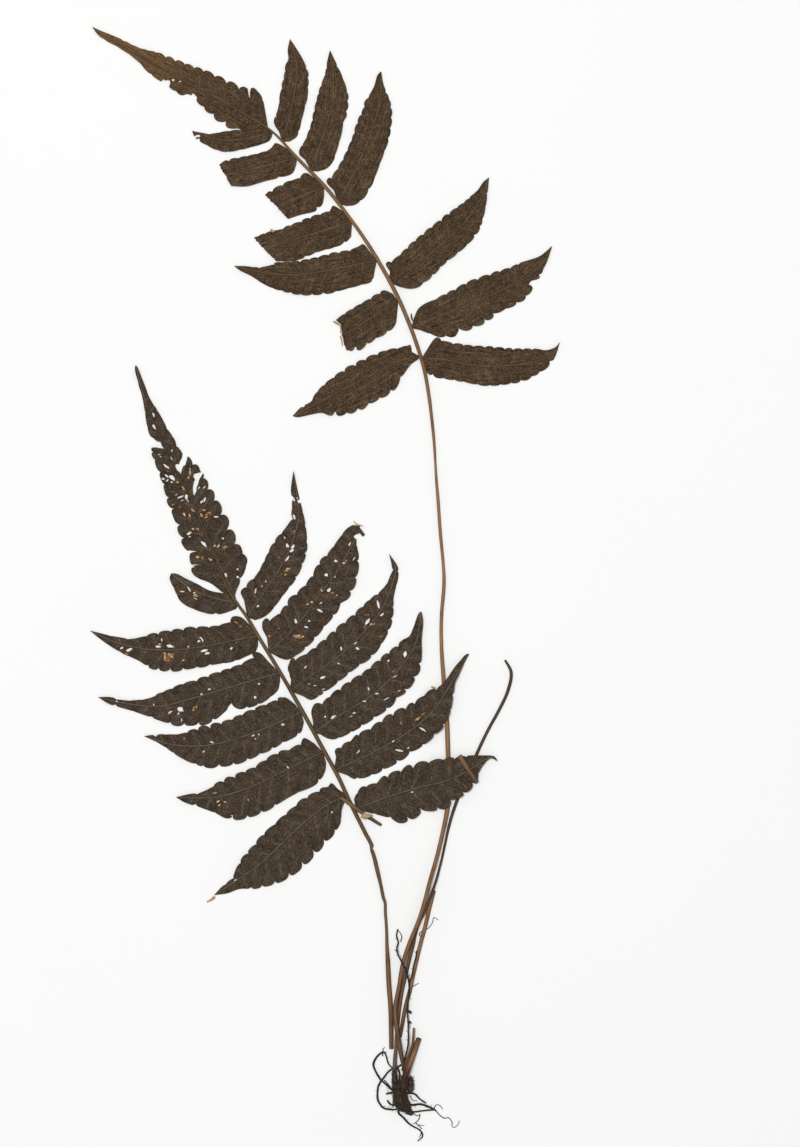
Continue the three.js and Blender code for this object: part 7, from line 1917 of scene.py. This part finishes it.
def set_down(points, middle, turn):
    """Points about a lump's own middle, turned with it, put in place and kept above the ground."""
    c, s = math.cos(turn), math.sin(turn)
    spin = np.array([[c, -s, 0], [s, c, 0], [0, 0, 1]])
    points = np.array(points) @ spin.T + (*place(*middle[:2]), middle[2])
    points[:, 2] = np.maximum(points[:, 2], LEAST_HEIGHT)
    return points


def lump(half, middle, turn, seed, rings=36, sides=44):
    """An uneven lump, flat where it lies on the ground."""
    points = []
    for ring in range(1, rings):
        polar = math.pi * ring / rings
        for side in range(sides):
            angle = 2 * math.pi * side / sides
            way = Vector((math.sin(polar) * math.cos(angle), math.cos(polar),
                          math.sin(polar) * math.sin(angle)))
            reach = 1 + LUMP_SWELL * noise.noise(way * 1.7 + Vector((seed, 0, 0)))
            reach += LUMP_KNOBS * noise.noise(way * 4.5 + Vector((0, seed, 0)))
            points.append([way[k] * half[k] * reach for k in range(3)])
    faces = bands(rings - 1, sides)
    for ring, pole in ((0, 1), (rings - 2, -1)):
        faces += fan(ring * sides, sides, len(points), pole < 0)
        points.append([0, half[1] * pole, 0])
    return set_down(points, middle, turn), faces, {}


def scale_faces(rows):
    """The faces of a scale that has six points in each row: three above and three below."""
    faces = []
    for row in range(rows - 1):
        for u in (0, 2):
            a = row * 6 + u
            faces += [(a, a + 2, a + 8, a + 6), (a + 1, a + 7, a + 9, a + 3)]
        a = row * 6
        faces += [(a, a + 6, a + 7, a + 1), (a + 5, a + 11, a + 10, a + 4)]
    for a in (0, 2):
        faces.append((a, a + 1, a + 3, a + 2))
    for a in (rows * 6 - 6, rows * 6 - 4):
        faces.append((a + 2, a + 3, a + 1, a))
    return faces


def scale_on(half, middle, turn, length_mm, width_mm, draw):
    """One pointed dry scale on a lump: a thin curved leaf, its tip lifted."""
    along = draw.uniform(*SCALE_ALONG)
    angle = draw.uniform(*SCALE_ROUND)
    girth = math.sqrt(1 - along ** 2)
    root = np.array([math.cos(angle) * girth * half[0], along * half[1], math.sin(angle) * girth * half[2]])
    out = root / np.array(half) ** 2
    out /= np.linalg.norm(out)
    lean = np.array([draw.uniform(*SCALE_ASIDE), 1.0, draw.uniform(*SCALE_UPWARD)])
    forward = lean - out * (lean @ out)
    forward /= np.linalg.norm(forward)
    across = np.cross(forward, out)
    long, wide = length_mm * draw.uniform(*SCALE_LENGTHS), width_mm * draw.uniform(*SCALE_WIDTHS)
    lift, sway = draw.uniform(*SCALE_LIFT), draw.uniform(*SCALE_SWAY)
    points = []
    for row in range(SCALE_ROWS):
        t = row / (SCALE_ROWS - 1)
        belly = math.sin(math.pi * min(1, 0.25 + 0.75 * t)) ** 0.8
        half_width = wide / 2 * (belly * (1 - t * SCALE_TAPER) + SCALE_TIP)
        spine = root + forward * (t * long - SCALE_ROOT * long) + across * sway * t * t
        spine = spine + out * (0.05 + lift * t * t * long * 0.4 - 0.03 * long * t)
        for u in (-1, 0, 1):
            arch = out * (SCALE_ARCH * wide * (1 - abs(u)))
            for level in (0.5, -0.5):
                points.append(spine + across * (u * half_width) + arch + out * (SCALE_THICKNESS * level))
    return set_down(points, middle, turn), scale_faces(SCALE_ROWS)


class FERN_OT_rhizome(bpy.types.Operator):
    """Add the rhizome, made of uneven lumps, and its dry scales."""
    bl_idname = "fern.rhizome"
    bl_label = "Rhizome and scales"

    def execute(self, context):
        s = context.scene.fern_rhizome
        body = rough_finish("rhizome skin", s.body_colour, paint(84, 48, 30))
        parts = [lump(half, middle, turn, LUMP_SEED + number)
                 for number, (half, middle, turn, _, _) in enumerate(LUMPS)]
        add_piece("rhizome_body", *gather(parts)[:2], body, "rhizome", "rhizome")
        draw = random.Random(SCALE_SEED)
        scales = []
        for half, middle, turn, count, grey in LUMPS:
            for _ in range(round(count * s.scales)):
                size = draw.uniform(*SCALE_SIZES)
                points, faces = scale_on(
                    half, middle, turn, size * s.scale_length / METRES,
                    size * s.scale_width / METRES, draw)
                lot = np.full(len(points), draw.random()) ** FEW_PALE
                shown = np.full(len(points), grey * draw.uniform(*TONE_SHARES))
                scales.append((points, faces, {"lot": lot, "grey": shown}))
        scale = rough_finish("dry scales", s.scale_colour, paint(82, 68, 48), young=s.bloom_colour)
        points, faces, attributes = gather(scales)
        add_piece("rhizome_scales", points, faces, scale, "rhizome", "rhizome", attributes)
        return {"FINISHED"}


def root_hairs(line, draw):
    """Short bent hairs at some points of a root, each down to the ground."""
    hairs = []
    for k in range(3, len(line) - 1):
        if draw.random() > HAIRY_SHARE:
            continue
        heading = line[k, :2] - line[k - 1, :2]
        turn = math.atan2(heading[1], heading[0]) + draw.choice((-1, 1)) * draw.uniform(*HAIR_TURNS)
        reach, bend = draw.uniform(*HAIR_LENGTHS), draw.uniform(*HAIR_BENDS)
        rows = []
        for t in (0, 0.5, 1):
            angle = turn + bend * t
            x = line[k, 0] + reach * t * math.cos(angle)
            y = line[k, 1] + reach * t * math.sin(angle)
            rows.append((x, y, line[k, 2] * (1 - t) + HAIR_END * t, HAIR_WIDTH - HAIR_TAPER * t))
        hairs.append(tube(
            np.array(rows), sides=5, step=0.3, seed=HAIR_TUBE_SEED + k, rough=0.1, pressed=1))
    return hairs


class FERN_OT_roots(bpy.types.Operator):
    """Add the wiry roots with their rootlets and hairs."""
    bl_idname = "fern.roots"
    bl_label = "Roots"

    def execute(self, context):
        s = context.scene.fern_rhizome
        finish = rough_finish("wiry roots", s.root_colour, paint(78, 56, 42), 0.65)
        for number, (key, way) in enumerate(ROOTS.items()):
            points, faces, _ = tube(route(way), sides=10, step=0.35, seed=ROOT_SEED + number, rough=0.3)
            add_piece("root_" + key, points, faces, finish, "rhizome", "rhizome")
        fine = [tube(route(way), sides=6, step=0.3, seed=ROOTLET_SEED + number, rough=0.3, pressed=0.9)
                for number, way in enumerate(ROOTLETS)]
        draw = random.Random(HAIR_SEED)
        for way in ROOTS.values():
            fine += root_hairs(smooth(route(way), HAIR_STEP), draw)
        add_piece("rootlets", *gather(fine)[:2], finish, "rhizome", "rhizome")
        return {"FINISHED"}


class FERN_PT_panel(bpy.types.Panel):
    """The sidebar's list of what builds the fern, and of its sizes and colours."""
    bl_idname = "FERN_PT_panel"
    bl_label = "Pressed fern"
    bl_space_type = "VIEW_3D"
    bl_region_type = "UI"
    bl_category = "Pressed fern"

    def draw(self, context):
        column = self.layout.column()
        for operator in OPERATORS:
            column.operator(operator.bl_idname)
        for name, group in GROUPS.items():
            box = self.layout.box()
            box.label(text=name.replace("_", " ").title())
            for key in group.__annotations__:
                box.prop(getattr(context.scene, name), key)


OPERATORS = (
    FERN_OT_stage, FERN_OT_upper_pinnae, FERN_OT_lower_pinnae, FERN_OT_upper_stalk,
    FERN_OT_lower_stalk, FERN_OT_bare_stipes, FERN_OT_stubs, FERN_OT_rhizome, FERN_OT_roots,
)
GROUPS = {
    "fern_blades": BladeSettings,
    "fern_stalks": StalkSettings,
    "fern_rhizome": RhizomeSettings,
    "fern_stage": StageSettings,
}


def register():
    for kind in (*GROUPS.values(), *OPERATORS, FERN_PT_panel):
        bpy.utils.register_class(kind)
    for name, group in GROUPS.items():
        setattr(bpy.types.Scene, name, bpy.props.PointerProperty(type=group))


def unregister():
    for name in GROUPS:
        delattr(bpy.types.Scene, name)
    for kind in (FERN_PT_panel, *reversed(OPERATORS), *reversed(GROUPS.values())):
        bpy.utils.unregister_class(kind)


def main():
    register()
    bpy.ops.fern.stage()
    bpy.ops.fern.upper_pinnae()
    bpy.ops.fern.lower_pinnae()
    bpy.ops.fern.upper_stalk()
    bpy.ops.fern.lower_stalk()
    bpy.ops.fern.bare_stipes()
    bpy.ops.fern.stubs()
    bpy.ops.fern.rhizome()
    bpy.ops.fern.roots()


if __name__ == "__main__":
    main()
